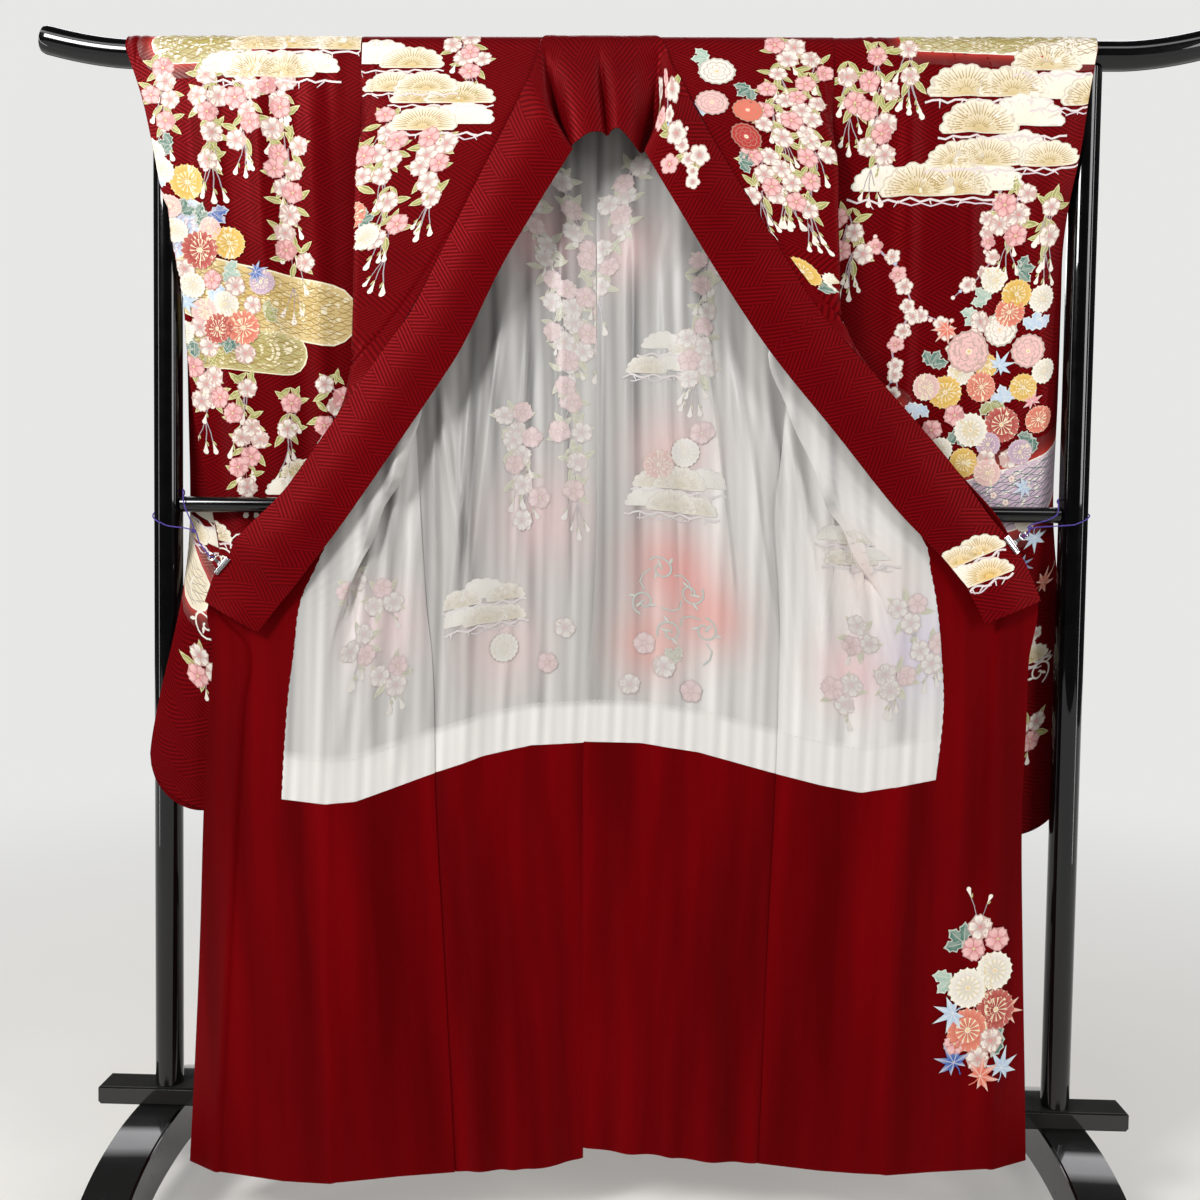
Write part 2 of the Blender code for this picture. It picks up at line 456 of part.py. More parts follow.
def okumi_point(side, z, column):
    line, stops = front_line(side, z)
    place = okumi_places(okumi_width(side, z), stops[1])[column]
    x, y = along(line, np.array([place]))[0]
    return np.array([x, y, z])


def bump(distance, width):
    return np.exp(-((distance / width) ** 2))


def fold_depth(side, x, z):
    depth = 0.0
    for x_top, z_top, x_low, z_low, width, most in BACK_FOLDS[side]:
        run = (z_top - z) / (z_top - z_low)
        ends = min(max(run / 0.25, 0.0), 1.0) * min(max((1.25 - run) / 0.25, 0.0), 1.0)
        depth += most * ends * bump(x - (x_top + (x_low - x_top) * run), width)
    return depth


def back_point(side, z, column):
    values, at = table(BACK_COLUMNS, BACK[side])
    row = eased(values, z)
    share = column / (BODY_COLUMNS - 1)
    seam = HALF_GAP if side == "right" else -HALF_GAP
    side_gap = SIDE_GAP if side == "right" else -SIDE_GAP
    width = row[at["sx"]] - row[at["cx"]] - seam - side_gap
    x = row[at["cx"]] + seam + width * share
    y = row[at["cy"]] + (row[at["sy"]] - row[at["cy"]]) * share
    edge = min(share, 1 - share) * 6
    return np.array([x, y - fold_depth(side, x, z) * min(edge, 1.0), z])


def shoulder_row(side, angle, inner):
    """A row round the bar; 180 is its back, 0 its front."""
    turn = radians(angle)
    y = -OVER_BAR * cos(turn)
    z = BAR_Z + OVER_BAR * sin(turn)
    xs = np.linspace(inner, SIDE_X[side], BODY_COLUMNS)
    return [np.array([x, y, z]) for x in xs]


def edge_height(side, name, x):
    line = sorted(EDGE_LINES[side][name])
    return float(np.interp(x, [p[0] for p in line], [p[1] for p in line]))


def levelled(side, name, read, column):
    """The point of a column that lies on the named edge line."""
    z = 0.5
    for _ in range(6):
        z = edge_height(side, name, read(side, z, column)[0])
    return read(side, z, column)


def rows_of(side, read, columns, levels, part):
    """Rows of points: heights where a number is given, or shares between the named edge lines."""
    rows = []
    for level in levels:
        row = []
        for column in range(columns):
            if isinstance(level, float):
                row.append(read(side, level, column))
                continue
            hem = levelled(side, part + " hem", read, column)[2]
            lining = levelled(side, part + " lining", read, column)[2]
            z = hem + (lining - hem) * level[1] if level[0] == "skirt" else 0.0
            row.append(read(side, z, column))
        rows.append(row)
    return rows


def front_upper(side):
    """Heights of a front's rows above its skirt lining, with one where its seam crosses the fold."""
    crossing = seam_meets_fold(side)
    near = [crossing + step for step in (0.014, 0.0, -0.014)]
    far = [level for level in FRONT_UPPER if abs(level - crossing) > 0.026]
    return sorted(far + near, reverse=True)


def body_rows(side):
    """The whole length of a body half: up the back, over the bar and down the front."""
    rows = rows_of(side, back_point, BODY_COLUMNS, BACK_SKIRT + BACK_UPPER, "back")
    rows += [shoulder_row(side, angle, inner) for angle, inner in NECK_X[side]]
    rows += rows_of(side, front_point, BODY_COLUMNS, front_upper(side) + FRONT_SKIRT, "front")
    return np.array(rows)


def okumi_rows(side):
    levels = [level for level in front_upper(side) if level < OKUMI_TOP]
    return np.array(rows_of(side, okumi_point, OKUMI_COLUMNS, levels + FRONT_SKIRT, "front"))


def collar_section(row, at):
    """One cross-section of the collar band, from its seam to its free edge."""
    free = np.array([row[at["fx"]], row[at["fy"]], row[at["fz"]]])
    if row[at["wrap"]] < 1:
        seam = np.array([row[at["sx"]], row[at["sy"]], row[at["sz"]]])
        middle = (seam + free) / 2 + np.array([0.0, -row[at["bulge"]], 0.0])
        line = rounded([seam, middle, free], 0.05, 8)
    else:
        wrap = row[at["wrap"]]
        angles = np.radians(np.linspace(wrap, 0, max(int(wrap / 15), 1) + 1))
        x = row[at["sx"]]
        radius = COLLAR_OVER_BAR - COLLAR_SINK * min(wrap / 110, 1.0)
        ys = -radius * np.cos(angles)
        zs = BAR_Z + radius * np.sin(angles)
        over = [np.array([x, y, z]) for y, z in zip(ys, zs)]
        low = over[-1]
        middle = (low + free) / 2 + np.array([0.0, -row[at["bulge"]], 0.0])
        line = np.array(over[:-1] + list(rounded([low, middle, free], 0.05, 8)))
    whole = lengths(line)[-1]
    half = COLLAR_SAMPLES // 2
    near = whole * COLLAR_CLOSE_SHARE
    places = list(np.linspace(0, near, half + 1)) + list(np.linspace(near, whole, half + 1)[1:])
    return along(line, np.array(places))


def collar_sections(start, end):
    """Sections between two places on the collar's table, a row at each whole place and half place."""
    values, at = table(COLLAR_COLUMNS, COLLAR)
    sections = np.array([collar_section(row, at) for row in values])
    flat = np.column_stack([np.arange(len(sections)), sections.reshape(len(sections), -1)])
    places = [start] + [p for p in np.arange(0, len(sections), 1.0) if start < p < end] + [end]
    return np.array([eased(flat, place)[1:].reshape(COLLAR_SAMPLES, 3) for place in places])


def sleeve_line(row, at):
    corners = [(row[at[name + "x"]], row[at[name + "y"]]) for name in "ifgo"]
    return rounded(corners, 0.010)


def sleeve_bottom(side, share):
    """Height of the sleeve's lower edge, with its rounded outer corner."""
    start = 0.76
    over = min(max((share - start) / (1 - start), 0.0), 1.0)
    return SLEEVE_BOTTOM[side] + SLEEVE_CORNER * (1 - np.sqrt(max(1 - over**2, 0.0)))


def sleeve_places(line, row, at):
    """Lengths along the front layer at which its columns lie: close together at the outer folds."""
    whole = lengths(line)[-1]
    fold = nearest_length(line, (row[at["fx"]], row[at["fy"]]))
    back = nearest_length(line, (row[at["gx"]], row[at["gy"]]))
    places = [fold * share / 0.80 for share in SLEEVE_SHARES] + [fold]
    places += [(fold + back) / 2, back, (back + whole) / 2, whole]
    return np.array(places)


def sleeve_shares():
    return np.array([share / 0.80 * 0.86 for share in SLEEVE_SHARES] + [0.86, 0.895, 0.93, 0.965, 1.0])


def sleeve_front_point(side, z, column):
    values, at = table(SLEEVE_COLUMNS, SLEEVE[side])
    row = eased(values, z)
    line = sleeve_line(row, at)
    x, y = along(line, sleeve_places(line, row, at)[column : column + 1])[0]
    wave = 0.004 * sin(column * 1.9 + z * 3.0) * min(max((1.60 - z) / 0.2, 0.0), 1.0)
    inside = 1.0 if 0 < column < 6 else 0.0
    clear = min(abs(z - MID_Z) / 0.06, 1.0)
    return np.array([x, y + wave * inside * clear, z])


def sleeve_back_point(side, z, column):
    values, at = table(SLEEVE_COLUMNS, SLEEVE[side])
    row = eased(values, z)
    share = sleeve_shares()[column]
    x = row[at["ix"]] + (row[at["box"]] - row[at["ix"]]) * share
    straight = row[at["biy"]] + (row[at["boy"]] - row[at["biy"]]) * share
    crown = (row[at["bmy"]] - (row[at["biy"]] + row[at["boy"]]) / 2) * 4 * share * (1 - share)
    if column == SLEEVE_COLUMN_COUNT - 1:
        return np.array([row[at["box"]], row[at["boy"]], z])
    return np.array([x, straight + crown, z])


def sleeve_rows(side):
    """The sleeve's one length of cloth: up its front, over the bar and down its back."""
    shares = sleeve_shares()

    def level(read, z, last):
        """last runs from 0 at the given height to 1 at the lower edge."""
        row = []
        for column in range(SLEEVE_COLUMN_COUNT):
            low = sleeve_bottom(side, shares[column])
            row.append(read(side, z + (low - z) * last, column))
        return row

    lowest = SLEEVE_LEVELS[-1]
    ends = [1.0, 0.85, 0.6, 0.3]
    heights = SLEEVE_LEVELS[::-1] + [1.46, 1.53, 1.60]
    rows = [level(sleeve_front_point, lowest, last) for last in ends]
    rows += [level(sleeve_front_point, z, 0.0) for z in heights]
    values, at = table(SLEEVE_COLUMNS, SLEEVE[side])
    row = eased(values, BAR_Z)
    for angle in (0, 45, 90, 135, 180):
        y = -OVER_BAR * cos(radians(angle))
        z = BAR_Z + OVER_BAR * sin(radians(angle))
        xs = row[at["ix"]] + (row[at["ox"]] - row[at["ix"]]) * shares
        rows.append([np.array([x, y, z]) for x in xs])
    rows += [level(sleeve_back_point, z, 0.0) for z in heights[::-1]]
    rows += [level(sleeve_back_point, lowest, last) for last in ends[::-1]]
    return np.array(rows)


def tangents(points, axis):
    """Unit steps along a grid, each the mean of the steps before and after it."""
    steps = np.diff(points, axis=axis)
    steps = steps / np.maximum(np.linalg.norm(steps, axis=2, keepdims=True), 1e-12)
    first, last = np.take(steps, [0], axis), np.take(steps, [-1], axis)
    return np.concatenate([first, steps], axis) + np.concatenate([steps, last], axis)


def normals(points, outward):
    """Unit normals of a grid of points."""
    cross = np.cross(tangents(points, 1), tangents(points, 0)) * outward
    return cross / np.maximum(np.linalg.norm(cross, axis=2, keepdims=True), 1e-12)


def material(finish):
    name, colour, roughness, metallic = finish
    made = bpy.data.materials.get(name) or bpy.data.materials.new(name)
    made.use_nodes = True
    shader = made.node_tree.nodes["Principled BSDF"]
    shader.inputs["Base Color"].default_value = (*colour, 1.0)
    shader.inputs["Roughness"].default_value = roughness
    shader.inputs["Metallic"].default_value = metallic
    return made


def finish_object(name, mesh, finish, smooth=True):
    mesh.materials.append(material(finish))
    if smooth:
        mesh.shade_smooth()
        mesh.set_sharp_from_angle(angle=radians(40))
    made = bpy.data.objects.new(name, mesh)
    bpy.context.scene.collection.objects.link(made)
    return made


def shorter_first(points):
    """For each square of a grid, whether the diagonal from its first corner is the shorter one."""
    first = np.linalg.norm(points[1:, 1:] - points[:-1, :-1], axis=2)
    second = np.linalg.norm(points[1:, :-1] - points[:-1, 1:], axis=2)
    return first <= second


def grid_faces(columns, diagonals, start, flip):
    faces = []
    for row in range(len(diagonals)):
        for column in range(columns - 1):
            a = start + row * columns + column
            b, c, d = a + 1, a + columns + 1, a + columns
            pair = [(a, b, c), (a, c, d)] if diagonals[row][column] else [(a, b, d), (b, c, d)]
            faces += [face[::-1] for face in pair] if flip else pair
    return faces


def wall(name, points, facing, outer, inner, finish, diagonals=None):
    """A closed cloth wall between two distances from a grid of points."""
    rows, columns = points.shape[:2]
    if diagonals is None:
        diagonals = shorter_first(points)
    layers = [points + facing * outer, points + facing * inner]
    vertices = np.concatenate([layer.reshape(-1, 3) for layer in layers])
    count = rows * columns
    faces = grid_faces(columns, diagonals, 0, False) + grid_faces(columns, diagonals, count, True)
    rim = list(range(columns))
    rim += [row * columns + columns - 1 for row in range(1, rows)]
    rim += [(rows - 1) * columns + column for column in range(columns - 2, -1, -1)]
    rim += [row * columns for row in range(rows - 2, 0, -1)]
    for a, b in zip(rim, rim[1:] + rim[:1]):
        faces += [(a, a + count, b + count), (a, b + count, b)]
    mesh = bpy.data.meshes.new(name)
    mesh.from_pydata(vertices.tolist(), [], faces)
    shell = bmesh.new()
    shell.from_mesh(mesh)
    bmesh.ops.recalc_face_normals(shell, faces=shell.faces)
    if shell.calc_volume(signed=True) < 0:
        bmesh.ops.reverse_faces(shell, faces=shell.faces)
    shell.to_mesh(mesh)
    shell.free()
    return finish_object(name, mesh, finish)


def joined_normals(side, points, overlap):
    """Normals of a body half and of its overlap panel, which agree along the seam between them."""
    outward = 1.0 if side == "left" else -1.0
    facing = normals(points, outward)
    shared = len(overlap)
    front = points[-shared:]
    seam = (overlap[:, -1:] + front[:, :1]) / 2
    joint = normals(np.concatenate([overlap[:, :-1], seam, front[:, 1:]], axis=1), outward)
    facing[-shared:] = joint[:, OKUMI_COLUMNS - 1 :]
    return facing, joint[:, :OKUMI_COLUMNS]


def body(side):
    """A body half in one length, its sheer lining, the plain linings of its skirt and its overlap panel."""
    points = body_rows(side)
    overlap = okumi_rows(side)
    facing, overlap_facing = joined_normals(side, points, overlap)
    wall(f"okumi_{side}", overlap, overlap_facing, HALF_GAP + CLOTH, HALF_GAP, CRIMSON)
    wall(f"okumi_lining_{side}", overlap, overlap_facing, -HALF_GAP, -HALF_GAP - CLOTH, CRIMSON_LINING)
    skirt = len(BACK_SKIRT)
    front = len(points) - len(FRONT_SKIRT)
    wall(f"body_{side}", points, facing, HALF_GAP + CLOTH, HALF_GAP, CRIMSON)
    diagonals = shorter_first(points)
    for name, rows, lift, finish in (
        ("lining", slice(skirt - 1, front + 1), HALF_GAP, SHEER_WHITE),
        ("skirt_lining_back", slice(0, skirt), -HALF_GAP, CRIMSON_LINING),
        ("skirt_lining_front", slice(front, len(points)), -HALF_GAP, CRIMSON_LINING),
    ):
        lining = points.copy()
        lining[[skirt - 1, front], :, 2] += lift
        squares = diagonals[rows.start : rows.stop - 1]
        wall(f"{name}_{side}", lining[rows], facing[rows], -HALF_GAP, -HALF_GAP - CLOTH, finish, squares)


def sleeve(side):
    points = sleeve_rows(side)
    facing = normals(points, -1.0 if side == "left" else 1.0)
    wall(f"sleeve_{side}", points, facing, CLOTH / 2, -CLOTH / 2, CRIMSON)


def collar():
    """The collar in its two bands and the over-collar between them."""
    first, last = OVER_COLLAR_ENDS
    gap_left, gap_right = OVER_COLLAR_GAPS
    whole = len(COLLAR) - 1.0
    for name, start, end in (
        ("collar_left", 0.0, first - gap_left),
        ("over_collar", first, last),
        ("collar_right", last + gap_right, whole),
    ):
        points = collar_sections(start, end)
        wall(name, points, normals(points, 1.0), COLLAR_WALL / 2, -COLLAR_WALL / 2, CRIMSON)


def round_bar(name, route, radius, sides, finish):
    """A round bar along a route of points, with flat ends."""
    curve = bpy.data.curves.new(name, "CURVE")
    curve.dimensions = "3D"
    curve.bevel_depth = radius
    curve.bevel_resolution = sides // 4 - 1
    curve.use_fill_caps = True
    spline = curve.splines.new("POLY")
    spline.points.add(len(route) - 1)
    for point, place in zip(spline.points, route):
        point.co = (*place, 1.0)
    curve.materials.append(material(finish))
    made = bpy.data.objects.new(name, curve)
    bpy.context.scene.collection.objects.link(made)
    return made


def cylinder(name, radius, low, high, x, sides, finish):
    mesh = bpy.data.meshes.new(name)
    shape = bmesh.new()
    height = high - low
    bmesh.ops.create_cone(shape, cap_ends=True, segments=sides, radius1=radius, radius2=radius, depth=height)
    bmesh.ops.translate(shape, verts=shape.verts, vec=(x, 0.0, (low + high) / 2))
    shape.to_mesh(mesh)
    shape.free()
    return finish_object(name, mesh, finish)


def box(name, low, high, edge, finish):
    mesh = bpy.data.meshes.new(name)
    shape = bmesh.new()
    bmesh.ops.create_cube(shape, size=1.0)
    size = [b - a for a, b in zip(low, high)]
    centre = [(a + b) / 2 for a, b in zip(low, high)]
    bmesh.ops.scale(shape, vec=size, verts=shape.verts)
    bmesh.ops.translate(shape, vec=centre, verts=shape.verts)
    bmesh.ops.bevel(shape, geom=list(shape.edges), offset=edge, segments=2, affect="EDGES")
    shape.to_mesh(mesh)
    shape.free()
    return finish_object(name, mesh, finish)


def foot_outline():
    """An arched foot seen from its side: pads at front and back, an arch between them."""
    top = BEAM_TOP - BEAM_HEIGHT - SEAM_GAP
    crown = 0.030
    outline = []
    for step in range(13):
        turn = pi / 2 * step / 12
        y = crown + (FOOT_HALF - crown) * sin(turn)
        z = FOOT_TOE + (top - FOOT_TOE) * cos(turn) ** 0.9
        outline.append((y, z))
    outline.append((FOOT_HALF, 0.0))
    arch_half = FOOT_HALF - FOOT_PAD
    for step in range(9):
        turn = pi / 2 * step / 8
        outline.append((arch_half * cos(turn), FOOT_ARCH * sin(turn) ** 0.8))
    mirrored = [(-y, z) for y, z in outline[::-1]]
    return mirrored[1:] + outline[:-1]


def foot(name, x):
    mesh = bpy.data.meshes.new(name)
    shape = bmesh.new()
    corners = [shape.verts.new((x - FOOT_WIDTH / 2, y, z)) for y, z in foot_outline()]
    face = shape.faces.new(corners)
    made = bmesh.ops.extrude_face_region(shape, geom=[face])
    moved = [item for item in made["geom"] if isinstance(item, bmesh.types.BMVert)]
    bmesh.ops.translate(shape, verts=moved, vec=(FOOT_WIDTH, 0.0, 0.0))
    bmesh.ops.recalc_face_normals(shape, faces=shape.faces)
    shape.to_mesh(mesh)
    shape.free()
    return finish_object(name, mesh, GLOSS_BLACK)


def bar_route():
    """The top bar's middle line: straight between the posts, its ends curving up."""
    half = [(0.0, 0.0), (BAR_BEND_FROM, 0.0)]
    for step in range(1, 6):
        share = step / 5
        half.append((BAR_BEND_FROM + (BAR_HALF - BAR_BEND_FROM) * share, BAR_RISE * share**1.7))
    right = [(x, 0.0, BAR_Z + rise) for x, rise in half]
    return [(-x, y, z) for x, y, z in right[:0:-1]] + right


def stand():
    round_bar("top_bar", bar_route(), BAR_RADIUS, 20, GLOSS_BLACK)
    reach = POST_X - POST_RADIUS - SEAM_GAP
    round_bar("mid_bar", [(-reach, 0.0, MID_Z), (reach, 0.0, MID_Z)], MID_RADIUS, 16, GLOSS_BLACK)
    beam_low = BEAM_TOP - BEAM_HEIGHT
    half = BEAM_DEPTH / 2
    box("base_beam", (-BEAM_HALF, -half, beam_low), (BEAM_HALF, half, BEAM_TOP), 0.003, GLOSS_BLACK)
    for side, sign in (("left", -1), ("right", 1)):
        top = BAR_Z - BAR_RADIUS - SEAM_GAP
        cylinder(f"post_{side}", POST_RADIUS, BEAM_TOP + SEAM_GAP, top, sign * POST_X, 28, GLOSS_BLACK)
        foot(f"foot_{side}", sign * FOOT_X)


def clip_outline():
    """A clip's side, as distances in from the collar's edge and forward of the collar."""
    near = COLLAR_WALL / 2 + CLIP_GAP
    far = near + CLIP_PLATE
    outer = -CLIP_BACK - CLIP_PLATE
    crown = far + CLIP_PLATE
    upper = [(CLIP_REACH, near), (CLIP_REACH, crown), (CLIP_REACH / 2, crown), (0.0, far)]
    spine = [(outer, 0.6 * far), (outer, -0.6 * far)]
    lower = [(0.0, -far), (CLIP_REACH, -far), (CLIP_REACH, -near)]
    return upper + spine + lower + [(-CLIP_BACK, -0.5 * near), (-CLIP_BACK, 0.5 * near)]


def clip_axes(side):
    """A clip's middle, and its directions along the collar's edge and in from it."""
    x, z, slope = CLIPS[side]
    turn = radians(slope)
    sign = 1.0 if side == "left" else -1.0
    edge = np.array([-sin(turn), 0.0, cos(turn)])
    inward = np.array([cos(turn), 0.0, sin(turn)]) * sign
    return np.array([x, CLIP_Y, z]), edge, inward


def hidden_tool(name, made, location, turn):
    made.name = name
    made.location = location
    made.rotation_euler = (0.0, turn, 0.0)
    made.hide_render = True
    return made


def clip(side):
    """A sprung clip that straddles the collar's edge, with a lever and an eye for its cord."""
    middle, edge, inward = clip_axes(side)
    mesh = bpy.data.meshes.new(f"clip_{side}")
    shape = bmesh.new()
    corners = []
    for reach, forward in clip_outline():
        place = middle + inward * reach + np.array([0.0, -forward, 0.0]) - edge * CLIP_WIDTH / 2
        corners.append(shape.verts.new(place))
    made = bmesh.ops.extrude_face_region(shape, geom=[shape.faces.new(corners)])
    moved = [item for item in made["geom"] if isinstance(item, bmesh.types.BMVert)]
    bmesh.ops.translate(shape, verts=moved, vec=edge * CLIP_WIDTH)
    bmesh.ops.recalc_face_normals(shape, faces=shape.faces)
    shape.to_mesh(mesh)
    shape.free()
    jaws = finish_object(f"clip_{side}", mesh, SILVER, smooth=False)
    turn = -radians(CLIPS[side][2])
    bpy.ops.mesh.primitive_cube_add(size=1.0)
    lever = hidden_tool(
        f"lever_{side}", bpy.context.object, middle - inward * (CLIP_BACK + LEVER_LENGTH / 2), turn
    )
    lever.scale = (LEVER_LENGTH, LEVER_THICK, LEVER_WIDTH)
    bpy.ops.mesh.primitive_torus_add(
        major_radius=RING_RADIUS, minor_radius=RING_WIRE, major_segments=16, minor_segments=6
    )
    eye = hidden_tool(f"eye_{side}", bpy.context.object, middle - inward * (RING_OUT + RING_WIRE), 0.0)
    eye.rotation_euler = (radians(90), 0.0, 0.0)
    for tool in (lever, eye):
        join = jaws.modifiers.new(tool.name, "BOOLEAN")
        join.operation = "UNION"
        join.solver = "EXACT"
        join.object = tool


def cord(side):
    """A cord from a clip's eye, tied round the post below and above the middle bar's end."""
    middle, _, inward = clip_axes(side)
    eye = middle - inward * (RING_OUT + RING_WIRE)
    join = np.array(CORD_JOINS[side])
    sign = 1.0 if side == "left" else -1.0
    low, beside, high = CORD_HEIGHTS[side]
    radius = POST_RADIUS + CORD_ROUND_POST
    route = [eye + np.array([0.0, 0.0050, 0.0]), eye + np.array([0.0, -0.0050, 0.0])]
    route += [(eye + join) / 2 + np.array([0.0, -0.0100, 0.0]), join]
    steps = 15
    for step in range(steps + 1):
        share = step / steps
        angle = radians(-75 - 275 * share)
        rise = float(np.interp(share, [0.0, 0.3, 1.0], [low, beside, high]))
        route.append(np.array([sign * (cos(angle) * radius - POST_X), sin(angle) * radius, rise]))
    inner = sign * (radius + 0.004 - POST_X)
    route.append(np.array([inner, -0.0120, high]))
    route.append(np.array([inner + sign * 0.003, -0.0165, MID_Z]))
    route.append(join + np.array([0.0, 0.0010, 0.0040]))
    round_bar(f"cord_{side}", route, CORD_RADIUS, 8, PURPLE)


def clear_scene():
    for made in list(bpy.data.objects):
        bpy.data.objects.remove(made, do_unlink=True)


def main():
    clear_scene()
    stand()
    collar()
    for side in ("left", "right"):
        body(side)
        sleeve(side)
        clip(side)
        cord(side)


main()
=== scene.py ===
"""Looks of a furisode on its kimono stand, in metres: +Z up, +X to the viewer's right, fronts towards -Y."""

from math import cos, pi, radians, sin
from types import SimpleNamespace

import bmesh
import bpy
import numpy as np
from mathutils import Matrix, Vector


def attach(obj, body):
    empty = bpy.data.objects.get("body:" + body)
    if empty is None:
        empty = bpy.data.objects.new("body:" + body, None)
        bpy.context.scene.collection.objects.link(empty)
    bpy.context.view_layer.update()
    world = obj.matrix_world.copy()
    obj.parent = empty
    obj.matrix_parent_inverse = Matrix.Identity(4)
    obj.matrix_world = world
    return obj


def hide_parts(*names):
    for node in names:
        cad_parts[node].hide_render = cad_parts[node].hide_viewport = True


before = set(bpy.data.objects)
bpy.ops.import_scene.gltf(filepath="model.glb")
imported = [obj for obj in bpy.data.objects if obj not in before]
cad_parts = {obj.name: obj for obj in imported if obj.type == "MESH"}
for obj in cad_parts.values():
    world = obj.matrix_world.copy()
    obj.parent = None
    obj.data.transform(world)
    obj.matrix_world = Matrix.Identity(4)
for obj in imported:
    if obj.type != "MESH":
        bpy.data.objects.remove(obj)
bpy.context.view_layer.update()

# The stand
POST_X, POST_RADIUS = 0.654, 0.020
BAR_Z, BAR_RADIUS, BAR_HALF, BAR_RISE, BAR_BEND_FROM = 1.670, 0.020, 0.836, 0.022, 0.70
MID_Z, MID_RADIUS = 1.025, 0.0115
BEAM_HALF, BEAM_DEPTH, BEAM_TOP, BEAM_HEIGHT = 0.753, 0.048, 0.165, 0.027
FOOT_X, FOOT_WIDTH, FOOT_HALF = 0.660, 0.068, 0.250
FOOT_PAD, FOOT_TOE, FOOT_ARCH, FOOT_CROWN = 0.055, 0.030, 0.072, 0.030

# The cloth
CLOTH, SEAM_GAP, SIDE_GAP = 0.0010, 0.0003, 0.0002
HALF_GAP = SEAM_GAP / 2
OVER_BAR, COLLAR_OVER_BAR, COLLAR_SINK, COLLAR_WALL = 0.0225, 0.0273, 0.0022, 0.0016
FOLD_RADIUS, OUTER_FOLD_HALF, INNER_FOLD_HALF = 0.007, 0.0022, 0.0012

# The lengths in the tables are in millimetres.
# Front halves: the wall's bends at each height, from the collar seam to the side seam.
# e = collar or front edge, b = outer fold, k = inner fold, p = pocket fold, s = side seam
FRONT_COLUMNS = "z ex ey bx by kx ky px py sx sy"
FRONT = {
    "left": [
        (1640, -122, -29, -344, -25.5, -353, -25.5, -361, -25, -368.5, -25),
        (1600, -139, -37, -350, -30, -359, -29, -365, -26.5, -369, -22.5),
        (1520, -179, -43, -369, -39, -368, -31, -366.5, -24, -365, -17),
        (1440, -219, -47, -371.5, -44, -356, -34, -350, -25, -345, -15),
        (1360, -258, -49, -372, -46, -335, -37, -336, -25, -318, -12),
        (1280, -302, -50, -373, -47, -312, -40, -332, -27, -303, -11),
        (1220, -344, -51, -376, -46.5, -288, -43, -332, -28, -297, -12),
        (1160, -386, -52, -390, -45.5, -276, -45, -338, -29, -291, -14),
        (1080, -442, -52, -443, -45, -307, -46, -350, -30, -285, -16),
        (1000, -498, -52, -499, -45, -342, -47, -372, -33, -280, -18),
        (940, -538, -52, -538, -45, -365, -49, -382, -35, -275, -20),
        (880, -578, -52, -570, -46, -386, -53, -378, -38, -270, -23),
        (820, -571, -50, -520, -50, -400, -56, -360, -42, -262, -25.8),
        (740, -576, -50, -525, -53, -400, -57, -335, -45, -257, -29),
        (600, -583, -52, -532, -59, -400, -60, -325, -48, -253, -35),
        (400, -585, -63, -536, -78, -395, -82, -310, -64, -238, -50),
        (220, -588, -76, -540, -96, -385, -104, -300, -82, -224, -68),
        (60, -592, -88, -545, -110, -380, -118, -290, -96, -212, -83),
    ],
    "right": [
        (1640, 69, -29, 271, -25.5, 280, -25.5, 288, -25, 295.5, -25),
        (1600, 94, -37, 277, -30, 286, -29, 292, -26.5, 296, -22.5),
        (1520, 139, -43, 299, -39, 298, -31, 296, -24, 294, -17),
        (1440, 189, -47, 302, -44, 289, -34, 285, -25, 280, -15),
        (1360, 240, -49, 306, -46, 268, -37, 276, -26, 258, -12),
        (1300, 280, -50, 310, -47, 232, -40, 272, -27, 251, -11),
        (1240, 334, -51.5, 338, -45, 212, -43, 278, -28, 246, -12),
        (1160, 405, -52, 406, -45, 244, -45, 305, -29, 240, -14),
        (1080, 476, -52, 477, -45, 281, -46, 335, -31, 232, -16),
        (1016, 534, -52, 534, -45, 315, -48, 352, -34, 227, -18),
        (960, 563, -52, 562, -46, 346, -51, 360, -40, 230, -20),
        (900, 590, -52, 545, -48, 378, -54, 345, -44, 235, -22),
        (820, 581, -50, 530, -50, 405, -57, 330, -45, 237, -25),
        (740, 580, -50, 528, -53, 400, -58, 315, -46, 236, -29),
        (600, 577, -52, 526, -57, 396, -59, 310, -48, 233, -34),
        (400, 583, -55, 530, -66, 394, -72, 305, -60, 226, -43),
        (220, 590, -58, 534, -78, 390, -86, 300, -72, 221, -53),
        (80, 595, -60, 536, -86, 388, -95, 298, -80, 217, -60),
    ],
}

